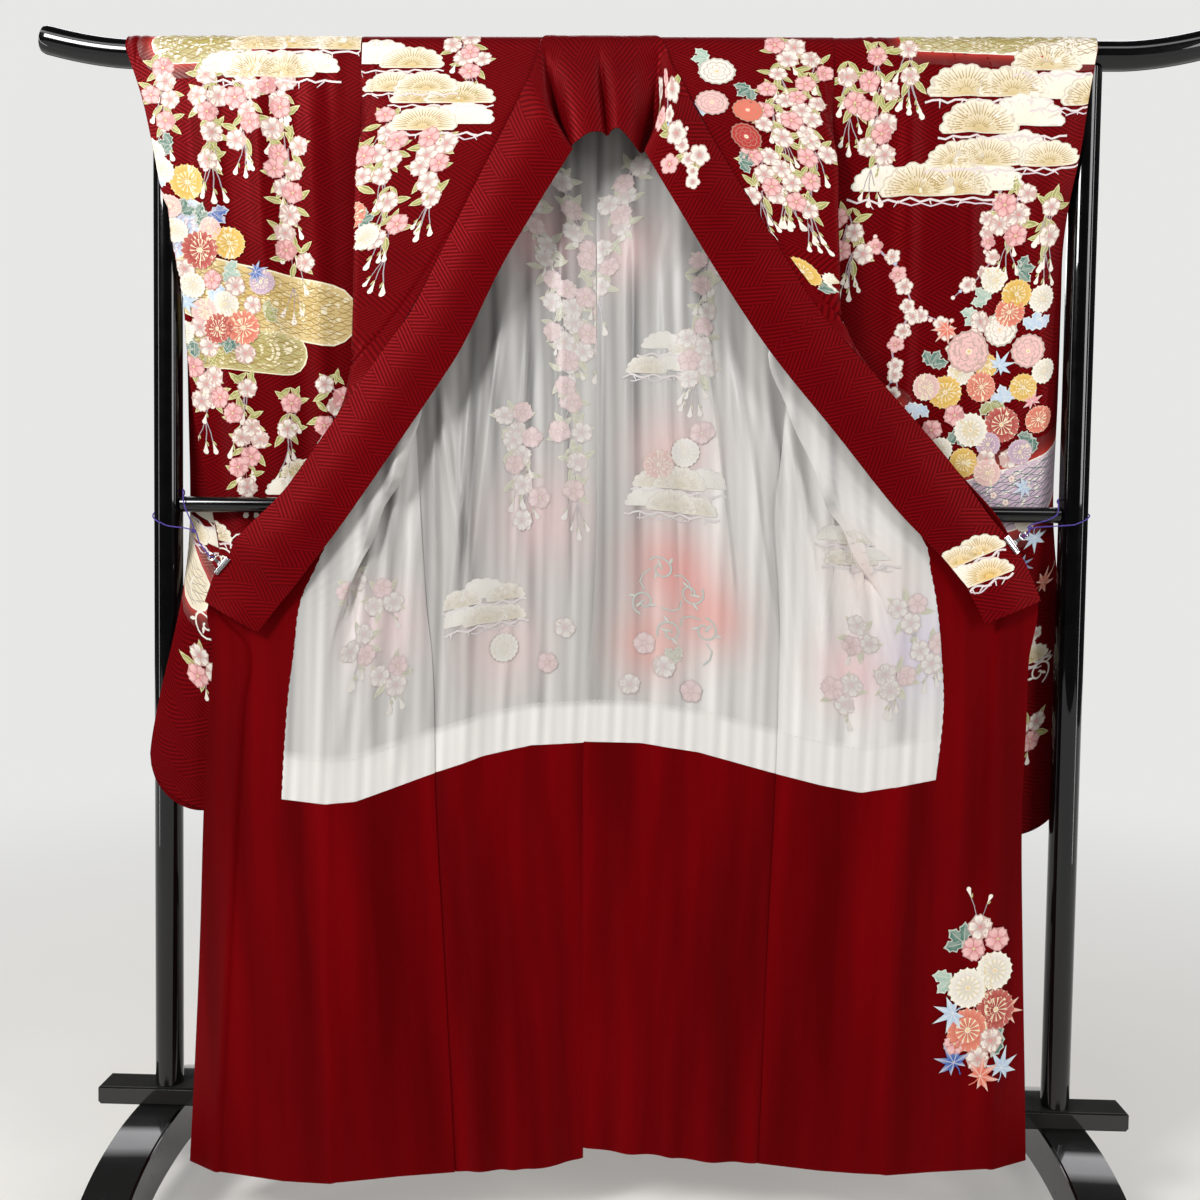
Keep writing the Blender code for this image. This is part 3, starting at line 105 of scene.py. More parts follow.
# Back halves: centre seam and side seam at each height.
BACK_COLUMNS = "z cx cy sx sy"
BACK = {
    "left": [
        (1670, -35, 22.5, -368, 22.5),
        (1600, -35, 21.5, -369, 21.5),
        (1520, -35, 14, -368, 16),
        (1440, -34, 8, -345, 4),
        (1360, -33, 3, -318, -6),
        (1220, -30, -6, -297, -10.5),
        (1080, -28, -15, -285, -15.5),
        (1000, -27, -18, -280, -18),
        (880, -30, -20, -270, -23),
        (740, -40, -24, -257, -29),
        (600, -41, -30, -253, -35),
        (400, -38, -38, -238, -50),
        (220, -35, -47, -224, -68),
        (60, -33, -55, -212, -83),
    ],
    "right": [
        (1670, -35, 22.5, 295, 22.5),
        (1600, -35, 21.5, 296, 21.5),
        (1520, -35, 14, 297, 16),
        (1440, -34, 8, 280, 4),
        (1360, -33, 3, 258, -6),
        (1220, -30, -6, 245, -10.5),
        (1080, -28, -15, 232, -15.5),
        (1000, -27, -18, 226, -18),
        (880, -30, -20, 236, -23),
        (740, -40, -24, 236, -29),
        (600, -41, -30, 233, -34),
        (400, -38, -38, 226, -43),
        (220, -35, -47, 221, -53),
        (80, -33, -55, 217, -60),
    ],
}

# Long folds of the back, as ridges towards the viewer: x and z at the top, x and z at the foot, width, depth.
BACK_FOLDS = {
    "left": [
        (-150, 1420, -210, 720, 26, 12),
        (-250, 1200, -225, 860, 18, 8),
        (-78, 1560, -75, 980, 12, 7),
        (-130, 600, -120, 60, 40, 6),
    ],
    "right": [
        (80, 1500, 140, 920, 28, 11),
        (180, 1260, 190, 900, 20, 7),
        (20, 1500, 50, 1050, 18, 6),
        (100, 550, 110, 80, 45, 6),
    ],
}

# The hem and the lower edge of the sheer lining, as heights at set places across each half.
EDGE_LINES = {
    "left": {
        "back hem": [(-212, 82), (-185, 85), (-101, 86), (-33, 93)],
        "front hem": [(-592, 90), (-449, 79), (-323, 80), (-212, 82)],
        "back lining": [(-252, 644), (-188, 668), (-116, 685), (-35, 690)],
        "front lining": [(-471, 606), (-407, 600), (-365, 603), (-252, 644)],
    },
    "right": {
        "back hem": [(-33, 108), (101, 103), (217, 96)],
        "front hem": [(217, 96), (352, 100), (451, 106), (596, 112)],
        "back lining": [(-35, 691), (40, 691), (125, 679), (234, 651)],
        "front lining": [(234, 651), (297, 638), (352, 630), (453, 651)],
    },
}

# The cloth's inner edge at the neck, at angles round the bar from its front, and each half's side seam there.
NECK_ANGLES = (0, 30, 60, 90, 120, 150, 180)
NECK_X = {"left": (-111, -109, -106, -98, -78, -45, -35.2), "right": (52, 49, 45, 36, 8, -25, -34.8)}
SIDE_X = {"left": -0.368, "right": 0.295}
OKUMI_TOP = 1.405

# The overlap panel's width, measured from the collar seam along the wall.
OKUMI_WIDTH = {
    "left": [(1410, 3), (1330, 12), (1220, 34), (1160, 56), (1080, 88), (1000, 112), (940, 124), (880, 135),
             (820, 120), (740, 116), (600, 117), (400, 126), (220, 146), (60, 146)],
    "right": [(1410, 3), (1330, 14), (1240, 40), (1160, 74), (1080, 108), (1016, 130), (960, 130), (900, 142),
              (820, 124), (740, 120), (600, 130), (400, 138), (220, 144), (80, 150)],
}

# Sleeves: the wall's bends at each height, from the inner edge to the outer seam.
# i = inner edge, f = outer fold that shows, g = return fold behind it, o = outer seam
# bi, bm, bo = the back layer's inner edge, middle and outer seam
SLEEVE_COLUMNS = "z ix iy fx fy gx gy ox oy biy bmy box boy"
SLEEVE = {
    "left": [
        (1670, -368.6, -22.5, -690, -22.5, -697, -22.5, -706, -22.5, 22.5, 22.5, -706, 22.5),
        (1600, -369.6, -23, -664, -24, -673, -24, -682, -24, 27, 30, -690, 25),
        (1520, -369, -16, -648, -25, -656, -25, -664, -24.5, 30, 36, -672, 26.5),
        (1460, -366, -9, -645, -26, -648, -25, -651, -24, 33, 39, -645, 26.5),
        (1430, -364, -6, -645, -26, -636, -23.5, -631, -18, 34, 39.5, -629, 19),
        (1400, -362, -3, -644, -26, -622, -17, -627, -4, 35, 40, -627, -1.5),
        (1330, -360, 2, -631, -20, -612, -8, -629, 1, 37, 42, -629, 3.5),
        (1250, -360, 7, -627, -13, -604, 1, -630, 10, 39, 43, -630, 12.5),
        (1150, -362, 12, -621, 0, -592, 11, -631, 18, 40, 44, -631, 20.5),
        (1060, -365, 15, -609, 14.5, -578, 20, -632, 26, 41, 45, -632, 28.5),
        (1000, -368, 15, -597, 15, -568, 20, -632, 25, 40, 45, -632, 27.5),
        (950, -368, 11, -586, 8, -574, 12, -631, 13, 38, 40, -631, 15.5),
        (900, -368, 6, -584, -4, -592, 0, -631, -6, 34, 30, -631, -3.5),
        (850, -368, 1, -586, -17, -606, -19, -634, -24, 29, 18, -634, -21.5),
        (730, -368, -6, -600, -29, -630, -31, -659, -31, 20, 2, -659, -28.5),
        (660, -368, -8, -600, -31, -635, -32, -670, -31, 12, -4, -670, -28.5),
        (570, -368, -10, -600, -31, -635, -32, -670, -31, 0, -10, -670, -28.5),
    ],
    "right": [
        (1670, 295.6, -22.5, 630, -22.5, 645, -22.5, 660, -22.5, 22.5, 22.5, 664, 22.5),
        (1600, 296.6, -23, 628, -26, 640, -24.5, 649, -24, 27, 30, 652, 25),
        (1530, 297.6, -16, 606, -27, 626, -25, 640, -24, 30, 36, 645, 26),
        (1460, 296, -8, 597, -27, 615, -23, 629, -16, 33, 39, 632, 24),
        (1400, 292, -3, 592, -23, 612, -15, 626, -5, 35, 40, 626, -2.5),
        (1330, 290, 2, 594, -18, 613, -8, 628, 2, 37, 42, 628, 4.5),
        (1190, 290, 9, 606, -5, 620, 4, 631, 12, 40, 44, 631, 14.5),
        (1060, 292, 15, 610, 14.5, 622, 19, 633, 24, 41, 45, 633, 26.5),
        (1000, 295, 16, 606, 16, 622, 20, 636, 25, 41, 45, 636, 27.5),
        (900, 300, 15, 600, 18, 624, 24, 648, 28, 40, 45, 648, 30.5),
        (760, 305, 12, 600, 20, 630, 27, 662, 30, 36, 42, 662, 32.5),
        (660, 308, 10, 600, 22, 634, 28, 668, 30, 28, 38, 668, 32.5),
        (540, 310, 8, 600, 24, 634, 28, 668, 30, 18, 34, 668, 32.5),
    ],
}
SLEEVE_BOTTOM = {"left": 0.578, "right": 0.552}
SLEEVE_CORNER = 0.085

# The collar band from its left end, over the back neck, to its right end.  wrap is the angle round
# the bar, from its front, at which the seam lies; bulge pushes the middle of the band outwards.
COLLAR_COLUMNS = "sx sy sz wrap fx fy fz bulge"
COLLAR = [
    (-579.5, -60, 885.7, 0, -502, -66, 844, 6),
    (-564.3, -60, 927.3, 0, -480, -64, 873, 2),
    (-546.5, -60, 948.9, 0, -464, -64, 893, 2),
    (-536.1, -60, 973.5, 0, -448, -66, 912, 6),
    (-516.5, -59, 995, 0, -426, -65, 942, 8),
    (-463, -57.5, 1050, 0, -385, -64, 996, 8),
    (-393, -56, 1150, 0, -316, -63, 1096, 6),
    (-323, -54.5, 1250, 0, -247, -60, 1199, 5),
    (-288, -53.5, 1300, 0, -213, -59, 1255, 5),
    (-238, -51.8, 1400, 0, -164, -56, 1358, 6),
    (-189, -48, 1500, 0, -108, -53, 1455, 7),
    (-154, -44, 1570, 0, -72, -50, 1514, 9),
    (-136, -39.5, 1611, 0, -68, -46, 1526, 11),
    (-124, -33, 1640, 0, -82, -35, 1545, 8),
    (-116, 0, 0, 4, -93, -24, 1560, 6),
    (-112, 0, 0, 40, -86, -16, 1558, 0),
    (-102, 0, 0, 80, -74, -34, 1530, 2),
    (-84, 0, 0, 110, -64, -50, 1531, 6),
    (-60, 0, 0, 134, -45, -54, 1543, 6),
    (-42, 0, 0, 142, -27, -50, 1546, 2),
    (-33, 0, 0, 144, -19, -40, 1544, -4),
    (-26, 0, 0, 142, -13, -50, 1548, 2),
    (-11, 0, 0, 134, -2, -55, 1549, 6),
    (14, 0, 0, 110, 16, -51, 1532, 6),
    (38, 0, 0, 80, 30, -34, 1522, 2),
    (52, 0, 0, 40, 42, -16, 1552, 0),
    (60, 0, 0, 4, 50, -24, 1556, 6),
    (70, -33, 1643, 0, 46, -36, 1545, 8),
    (84, -38.5, 1620, 0, 35, -47, 1526, 11),
    (104, -44, 1578, 0, 38, -51, 1512, 9),
    (151, -48, 1500, 0, 74, -54, 1453, 7),
    (214, -51.8, 1400, 0, 137, -57, 1352, 6),
    (280, -54, 1300, 0, 212, -60, 1243, 5),
    (370, -56, 1200, 0, 301, -61, 1136, 5),
    (459, -57, 1100, 0, 385, -63, 1033, 7),
    (517.3, -59, 1022.6, 0, 440, -65, 977, 6),
    (542.5, -60, 993.9, 0, 460, -64, 955, 2),
    (559.7, -60, 971.7, 0, 476, -64, 936, 2),
    (572, -60, 951, 0, 490, -66, 918, 5),
    (592, -60, 905, 0, 515, -66, 872, 6),
]
OVER_COLLAR_ENDS = (8.0, 32.0)

# The clips that hold the collar ends out, and the cords that tie them to the stand.
CLIP_WIDTH, CLIP_REACH, CLIP_PLATE, CLIP_GAP, CLIP_BACK = 0.028, 0.0058, 0.001, 0.001, 0.0015
LEVER_LENGTH, LEVER_WIDTH, LEVER_THICK = 0.014, 0.004, 0.0016
RING_RADIUS, RING_WIRE, RING_OUT = 0.0045, 0.0016, 0.0165
CORD_RADIUS, CORD_ROUND_POST = 0.0011, 0.0018
CLIP_Y = -0.06
# the middle of each clip on the collar's edge, and its slope from the upright
CLIPS = {"left": (-0.5554, 0.9381, -39.3), "right": (0.5511, 0.9828, 37.8)}
# where each cord's two strands part, and its heights in front of, beside and behind the post
CORD_JOINS = {"left": (-0.6043, -0.035, 0.9863), "right": (0.577, -0.05, 1.005)}
CORD_HEIGHTS = {"left": (0.993, 1.0068, 1.044), "right": (1.0113, 1.0245, 1.046)}


def table(columns, rows):
    """The rows, whose lengths are in millimetres, as an array in metres, lowest first."""
    values = np.array(rows, float) / [1.0 if name == "wrap" else 1000.0 for name in columns.split()]
    return values[np.argsort(values[:, 0])] if columns.startswith("z ") else values


def read(columns, rows, z):
    """The columns at one height, by name."""
    return SimpleNamespace(**dict(zip(columns.split(), eased(table(columns, rows), z))))


def eased(values, at):
    """A smooth curve through the rows, read at a value of the first column."""
    key = values[:, 0]
    at = min(max(at, key[0]), key[-1])
    low = int(min(max(np.searchsorted(key, at) - 1, 0), len(key) - 2))
    before, after = max(low - 1, 0), min(low + 2, len(key) - 1)
    span = key[low + 1] - key[low]
    t = (at - key[low]) / span
    start, end = values[low], values[low + 1]
    slope_in = (end - values[before]) / max(key[low + 1] - key[before], 1e-9) * span
    slope_out = (values[after] - start) / max(key[after] - key[low], 1e-9) * span
    return ((2 * t**3 - 3 * t**2 + 1) * start + (t**3 - 2 * t**2 + t) * slope_in
            + (3 * t**2 - 2 * t**3) * end + (t**3 - t**2) * slope_out)


def rounded(corners, radius, steps=6):
    """A line through the corners, each corner turned into a short curve."""
    corners = [np.array(corner, float) for corner in corners]
    line = [corners[0]]
    for before, corner, after in zip(corners, corners[1:], corners[2:]):
        start, end = (corner + way / np.linalg.norm(way) * min(radius, 0.45 * np.linalg.norm(way))
                      for way in (before - corner, after - corner))
        for t in np.arange(steps + 1) / steps:
            line.append((1 - t) ** 2 * start + 2 * t * (1 - t) * corner + t**2 * end)
    return np.array(line + [corners[-1]])


def lengths(line):
    return np.concatenate([[0.0], np.cumsum(np.linalg.norm(np.diff(line, axis=0), axis=1))])


def along(line, places):
    """The points of a line at these lengths from its start."""
    run = lengths(line)
    return np.stack([np.interp(places, run, line[:, axis]) for axis in range(line.shape[1])], axis=-1)


def nearest_length(line, point):
    return lengths(line)[np.argmin(np.linalg.norm(line - np.array(point), axis=1))]


def front_line(side, z):
    """A front's horizontal section at this height, and where its folds lie along it."""
    row = vars(read(FRONT_COLUMNS, FRONT[side], z))
    corners = [(row[name + "x"], row[name + "y"]) for name in "ebkps"]
    edge, outer, inner, pocket, seam = corners
    turns = [(x, y + sign * half) for (x, y), half in ((outer, OUTER_FOLD_HALF), (inner, INNER_FOLD_HALF))
             for sign in (-1, 1)]
    line = rounded([edge, *turns, pocket, seam], FOLD_RADIUS)
    return line, [nearest_length(line, corner) for corner in corners]


def okumi_width(side, z):
    return read("z width", OKUMI_WIDTH[side], z).width

# Folds that only the scene has, as ridges: x and z at the top, x and z at the foot, width, depth.
FINE_FOLDS = {
    "left": [(-110, 1300, -120, 850, 12, 3), (-300, 1050, -240, 620, 14, 4),
             (-190, 680, -176, 40, 22, 9), (-95, 720, -82, 40, 26, 8),
             (-265, 640, -262, 40, 16, 7), (-140, 550, -130, 40, 12, 4)],
    "right": [(60, 1400, 80, 750, 12, 3), (130, 680, 152, 40, 24, 9),
              (20, 700, 34, 40, 20, 8), (85, 580, 92, 40, 12, 4),
              (196, 660, 212, 40, 18, 7)],
}
LINING_FOLDS = {
    "left": [(-255, 1200, -228, 1000, 6, 8), (-262, 1140, -254, 950, 6, 7),
             (-160, 1340, -206, 880, 9, 10), (-125, 1380, -150, 840, 6, 6),
             (-88, 1440, -66, 880, 5, 4), (-205, 1260, -236, 820, 8, 8),
             (-100, 1320, -106, 780, 11, 6), (-300, 1160, -345, 780, 11, 13),
             (-336, 1060, -378, 740, 10, 11), (-288, 1060, -304, 720, 11, 12)],
    "right": [(100, 1400, 168, 910, 8, 10), (20, 1480, 30, 820, 9, 6),
              (60, 1420, 90, 820, 8, 6), (150, 1320, 230, 840, 8, 8),
              (205, 1260, 262, 820, 8, 7), (-20, 1400, -18, 840, 7, 4),
              (240, 1180, 300, 800, 11, 13), (285, 1120, 352, 800, 10, 12),
              (320, 1060, 392, 780, 11, 11)],
}
SLEEVE_FOLDS = {
    "left": [(-600, 1660, -560, 1200, 16, 9), (-520, 1660, -500, 1300, 14, 7),
             (-440, 1660, -430, 1100, 18, 8), (-480, 1340, -490, 660, 24, 7),
             (-560, 1240, -545, 620, 18, 6)],
    "right": [(400, 1660, 410, 1150, 16, 9), (480, 1660, 500, 1250, 14, 7),
              (560, 1660, 570, 1100, 17, 7), (460, 1340, 480, 660, 24, 7),
              (540, 1220, 535, 620, 18, 6)],
}

# The lowest height that the gathers on the bar reach down to
SLEEVE_GATHER_TO = 1.48

# The woven fret: the size of its blocks, the lines in each, and their slant
FRET_BLOCK, FRET_LINES = 0.025, 5.0
FRET_FLAT, FRET_STEEP = 0.50, 0.866


# How finely each cloth is built: columns between its folds, and the step between its rows; how deep its seams
# sink and lie under each other
BODY_SPREAD, OKUMI_SPREAD, SLEEVE_SPREAD = (32, 26, 16, 21), (12, 26), (58, 12, 14)
ROW_STEP, SECTION_STEP = 0.013, 0.004
BAND_COLUMNS, BAND_STEP = 22, 0.14
SEAM_SINK, SEAM_SPREAD = 0.0018, 0.004
UNDER_SEAM, OKUMI_LAP = 0.0030, 0.0008
BODY_ATTRACT_FROM, CLOTH_SHARP = 1.66, 50

# The heights between which each cloth's sections are read, those where it leaves them for the bar, and how
# long its stretches are; the step between rows round the bar is in degrees
BODY_LOW, BACK_HIGH, FRONT_HIGH, BACK_TO_BAR, FRONT_TO_BAR = 0.06, 1.62, 1.65, 1.60, 1.64
OKUMI_HIGH, OKUMI_UPPER_LONG, OKUMI_SKIRT_LONG = 1.45, 0.78, 0.52
SLEEVE_LOW, SLEEVE_HIGH, SLEEVE_TO_BAR = 0.54, 1.67, 1.645
SKIRT_LONG, UPPER_LONG, SLEEVE_LONG, BAR_STEP = 0.57, 0.95, 1.07, 12


def spread(stops, counts):
    """Places between the stops, evenly spaced in each stretch."""
    parts = [np.linspace(a, b, n, endpoint=False) for a, b, n in zip(stops, stops[1:], counts)]
    return np.concatenate(parts + [[stops[-1]]])


BODY_SHARES = np.linspace(0, 1, sum(BODY_SPREAD) + 1)
SLEEVE_SHARES = spread([0.0, 0.86, 0.93, 1.0], SLEEVE_SPREAD)
SLEEVE_INSIDE = np.clip(SLEEVE_SHARES * 6, 0, 1) * np.clip((1 - SLEEVE_SHARES) * 6, 0, 1)


class Sections:
    """Horizontal sections of a cloth at close heights, read between them."""

    def __init__(self, read_at, low, high):
        self.low = low
        self.count = int((high - low) / SECTION_STEP) + 2
        sections = [read_at(low + SECTION_STEP * step) for step in range(self.count)]
        self.points, self.places = (np.array(part) for part in zip(*sections))
        self.columns = np.arange(self.points.shape[1])

    def at(self, heights):
        """Points and places across the cloth, one height a column."""
        level = np.clip((heights - self.low) / SECTION_STEP, 0, self.count - 1.001)
        below = level.astype(int)
        share = (level - below)[:, None]
        flat = self.points[below, self.columns] * (1 - share) + self.points[below + 1, self.columns] * share
        places = self.places[below, self.columns] * (1 - share[:, 0])
        places += self.places[below + 1, self.columns] * share[:, 0]
        return np.column_stack([flat, heights]), places

    def on_line(self, line):
        """The height at which each column meets an edge line."""
        line = np.array(sorted(line)) / 1000
        heights = np.full(len(self.columns), 0.5)
        for _ in range(8):
            heights = np.interp(self.at(heights)[0][:, 0], line[:, 0], line[:, 1])
        return heights

    def rows(self, start, end, count):
        """Rows from one set of heights to another, the last left out."""
        return [self.at(start + (end - start) * step / count) for step in range(count)]


def front_section(side, z):
    line, stops = front_line(side, z)
    _, fold_b, fold_k, fold_p, end = stops
    end -= SIDE_GAP
    start = 0.0 if z > OKUMI_TOP else okumi_width(side, z) - OKUMI_LAP
    first = max(fold_b, start + 0.15 * (fold_k - start))
    folded = spread([start, first, fold_k, fold_p, end], BODY_SPREAD)
    share = min(max((BODY_ATTRACT_FROM - z) / 0.10, 0.0), 1.0)
    places = (1 - share) * np.linspace(start, end, len(folded)) + share * folded
    return along(line, places), end - places


def okumi_section(side, z):
    line, stops = front_line(side, z)
    width = okumi_width(side, z)
    places = spread([0.0, min(max(stops[1], 0.12 * width), 0.9 * width), width], OKUMI_SPREAD)
    return along(line, places), stops[-1] - SIDE_GAP - places


def bump(distance, width):
    return np.exp(-((distance / width) ** 2))


def ridges(folds, x, z, share=0.25):
    """How far long folds stand out at places x and heights z; share is the length of a fold's ends."""
    depth = np.zeros_like(x)
    for x_top, z_top, x_low, z_low, width, most in np.array(folds) / 1000:
        run = (z_top - z) / (z_top - z_low)
        ends = np.clip(run / share, 0, 1) * np.clip((1.25 - run) / share, 0, 1)
        depth += most * ends * bump(x - (x_top + (x_low - x_top) * run), width)
    return depth


def back_section(side, z):
    row = read(BACK_COLUMNS, BACK[side], z)
    edge = row.sx + (UNDER_SEAM if side == "right" else -UNDER_SEAM)
    x = row.cx + (edge - row.cx) * BODY_SHARES
    y = row.cy + (row.sy - row.cy) * BODY_SHARES
    inside = np.minimum(np.minimum(BODY_SHARES, 1 - BODY_SHARES) * 6, 1.0)
    y = y - ridges(BACK_FOLDS[side] + FINE_FOLDS[side], x, z) * inside
    y = y + SEAM_SINK * (bump(x - row.cx, SEAM_SPREAD) + bump(x - row.sx, SEAM_SPREAD))
    return np.column_stack([x, y]), np.abs(x - edge)


def round_bar(x, angle, reach):
    """A row of points at an angle round the bar; 180 is its back, 0 its front."""
    y, z = -reach * cos(radians(angle)), BAR_Z + reach * sin(radians(angle))
    return np.column_stack([x, np.broadcast_to(y, x.shape), np.broadcast_to(z, x.shape)])


def shoulder_row(side, angle):
    x = np.linspace(np.interp(angle, NECK_ANGLES, NECK_X[side]) / 1000, SIDE_X[side], len(BODY_SHARES))
    return round_bar(x, angle, OVER_BAR), np.abs(x - SIDE_X[side])


def between(first, last, count):
    """Rows from one row to another, both left out."""
    shares = [step / (count + 1) for step in range(1, count + 1)]
    return [tuple(a + (b - a) * share for a, b in zip(first, last)) for share in shares]


def gathered(rows):
    """Points and places as two grids."""
    return tuple(np.array(part) for part in zip(*rows))


def body_rows(side):
    """The whole length of a body half; where its hems and the sheer lining's edges lie among the rows."""
    back = Sections(lambda z: back_section(side, z), BODY_LOW, BACK_HIGH)
    front = Sections(lambda z: front_section(side, z), BODY_LOW, FRONT_HIGH)
    lines, flat = EDGE_LINES[side], np.ones(len(BODY_SHARES))
    back_hem, back_lining = (back.on_line(lines[name]) for name in ("back hem", "back lining"))
    front_hem, front_lining = (front.on_line(lines[name]) for name in ("front hem", "front lining"))
    skirt, upper = int(SKIRT_LONG / ROW_STEP), int(UPPER_LONG / ROW_STEP)
    leaves, meets = flat * BACK_TO_BAR, flat * FRONT_TO_BAR
    rows = back.rows(back_hem, back_lining, skirt) + back.rows(back_lining, leaves, upper) + [back.at(leaves)]
    over = [shoulder_row(side, angle) for angle in range(180, -1, -BAR_STEP)]
    rows += between(rows[-1], over[0], 5) + over + between(over[-1], front.at(meets), 2)
    rows += front.rows(meets, front_lining, upper) + front.rows(front_lining, front_hem, skirt)
    rows.append(front.at(front_hem))
    return *gathered(rows), skirt, len(rows) - 1 - skirt


def okumi_rows(side):
    strip = Sections(lambda z: okumi_section(side, z), BODY_LOW, OKUMI_HIGH)
    lining, hem = (strip.on_line(EDGE_LINES[side][name]) for name in ("front lining", "front hem"))
    top = np.full(len(lining), OKUMI_TOP)
    rows = strip.rows(top, lining, int(OKUMI_UPPER_LONG / ROW_STEP))
    return gathered(rows + strip.rows(lining, hem, int(OKUMI_SKIRT_LONG / ROW_STEP)) + [strip.at(hem)])


def sleeve_bottom(side, share):
    """Height of the sleeve's lower edge, with its rounded outer corner."""
    over = np.clip((share - 0.76) / 0.24, 0, 1)
    return SLEEVE_BOTTOM[side] + SLEEVE_CORNER * (1 - np.sqrt(np.clip(1 - over**2, 0, 1)))


def gathers(side, x, z, back):
    """Short ripples where the cloth is bunched on the bar, which fade further down."""
    fade = np.clip((z - SLEEVE_GATHER_TO) / (BAR_Z - SLEEVE_GATHER_TO), 0, 1) ** 1.4
    turn = 0.6 if side == "left" else 2.1
    return 0.0011 * fade * (np.sin(x * 170 + turn + back) + 0.6 * np.sin(x * 283 + 2.4 * turn + z * 5))


def sleeve_front_section(side, z):
    row = vars(read(SLEEVE_COLUMNS, SLEEVE[side], z))
    corners = [(row[name + "x"], row[name + "y"]) for name in "ifgo"]
    line = rounded(corners, 0.010)
    fold, back = nearest_length(line, corners[1]), nearest_length(line, corners[2])
    places = spread([0.0, fold, back, lengths(line)[-1]], SLEEVE_SPREAD)
    flat = along(line, places)
    share = np.clip(places / fold, 0, 1)
    wave = 0.004 * np.sin(share * 11.4 + z * 3.0) * min(max((1.60 - z) / 0.2, 0.0), 1.0)
    inside = np.clip(share * 6, 0, 1) * np.clip((1 - share) * 6, 0, 1)
    proud = ridges(SLEEVE_FOLDS[side], flat[:, 0], z) + gathers(side, flat[:, 0], z, 0)
    flat[:, 1] += (wave * min(abs(z - MID_Z) / 0.06, 1.0) - proud) * inside
    return flat, places


def sleeve_back_section(side, z):
    row, share = read(SLEEVE_COLUMNS, SLEEVE[side], z), SLEEVE_SHARES
    x = row.ix + (row.box - row.ix) * share
    crown = (row.bmy - (row.biy + row.boy) / 2) * 4 * share * (1 - share)
    y = row.biy + (row.boy - row.biy) * share + crown + gathers(side, x, z, 1.3) * SLEEVE_INSIDE
    return np.column_stack([x, y]), np.abs(x - x[0])


def sleeve_rows(side):
    """The sleeve's one length of cloth: up its front, over the bar and down its back."""
    front = Sections(lambda z: sleeve_front_section(side, z), SLEEVE_LOW, SLEEVE_HIGH)
    back = Sections(lambda z: sleeve_back_section(side, z), SLEEVE_LOW, SLEEVE_HIGH)
    low = sleeve_bottom(side, SLEEVE_SHARES)
    top = np.full(len(low), SLEEVE_TO_BAR)
    count = int(SLEEVE_LONG / ROW_STEP)
    rows = front.rows(low, top, count) + [front.at(top)]
    row = read(SLEEVE_COLUMNS, SLEEVE[side], BAR_Z)
    x = row.ix + (row.ox - row.ix) * SLEEVE_SHARES
    reach = OVER_BAR + np.abs(gathers(side, x, BAR_Z, 0)) * np.clip(SLEEVE_SHARES * 6, 0, 1)
    over = [(round_bar(x, angle, reach), np.abs(x - x[0])) for angle in range(0, 181, BAR_STEP)]
    down = back.rows(top, low, count) + [back.at(low)]
    return gathered(rows + between(rows[-1], over[0], 2) + over + between(over[-1], down[0], 2) + down)


def collar_section(row):
    """One cross-section of the collar band, from its seam to its free edge."""
    row = SimpleNamespace(**dict(zip(COLLAR_COLUMNS.split(), row)))
    free = np.array([row.fx, row.fy, row.fz])
    over = [np.array([row.sx, row.sy, row.sz])]
    if row.wrap >= 1:
        angles = np.radians(np.linspace(row.wrap, 0, max(int(row.wrap / 15), 1) + 1))
        radius = COLLAR_OVER_BAR - COLLAR_SINK * min(row.wrap / 110, 1.0)
        over = [np.array([row.sx, -radius * cos(a), BAR_Z + radius * sin(a)]) for a in angles]
    middle = (over[-1] + free) / 2 + np.array([0.0, -row.bulge, 0.0])
    line = np.array(over[:-1] + list(rounded([over[-1], middle, free], 0.05, 8)))
    return along(line, np.linspace(0, lengths(line)[-1], BAND_COLUMNS))


def collar_sections(start, end):
    """Close sections between two places on the collar's table."""
    sections = np.array([collar_section(row) for row in table(COLLAR_COLUMNS, COLLAR)])
    flat = np.column_stack([np.arange(len(sections)), sections.reshape(len(sections), -1)])
    count = max(int((end - start) / BAND_STEP), 2)
    return np.array([eased(flat, p)[1:].reshape(BAND_COLUMNS, 3) for p in np.linspace(start, end, count)])


def tangents(points, axis):
    """The direction of a grid at each point, from the steps before and after it."""
    steps = np.diff(points, axis=axis)
    steps = steps / np.maximum(np.linalg.norm(steps, axis=2, keepdims=True), 1e-12)
    first, last = np.take(steps, [0], axis), np.take(steps, [-1], axis)
    return np.concatenate([first, steps], axis) + np.concatenate([steps, last], axis)


def normals(points, outward):
    """Unit normals of a grid of points."""
    cross = np.cross(tangents(points, 1), tangents(points, 0)) * outward
    return cross / np.maximum(np.linalg.norm(cross, axis=2, keepdims=True), 1e-12)


def row_lengths(points):
    """How far each row lies along the cloth from its first row."""
    steps = np.linalg.norm(np.diff(points, axis=0), axis=2).mean(axis=1)
    return np.concatenate([[0.0], np.cumsum(steps)])


def from_crest(points):
    """How far each row lies along the cloth from its highest row."""
    down = row_lengths(points)
    return down - down[np.argmax(points[:, :, 2].max(axis=1))]


def quads(rows, columns, start, flip):
    corner = (start + np.arange(rows - 1)[:, None] * columns + np.arange(columns - 1)[None]).ravel()
    faces = np.stack([corner, corner + 1, corner + columns + 1, corner + columns], axis=1)
    return faces[:, ::-1] if flip else faces


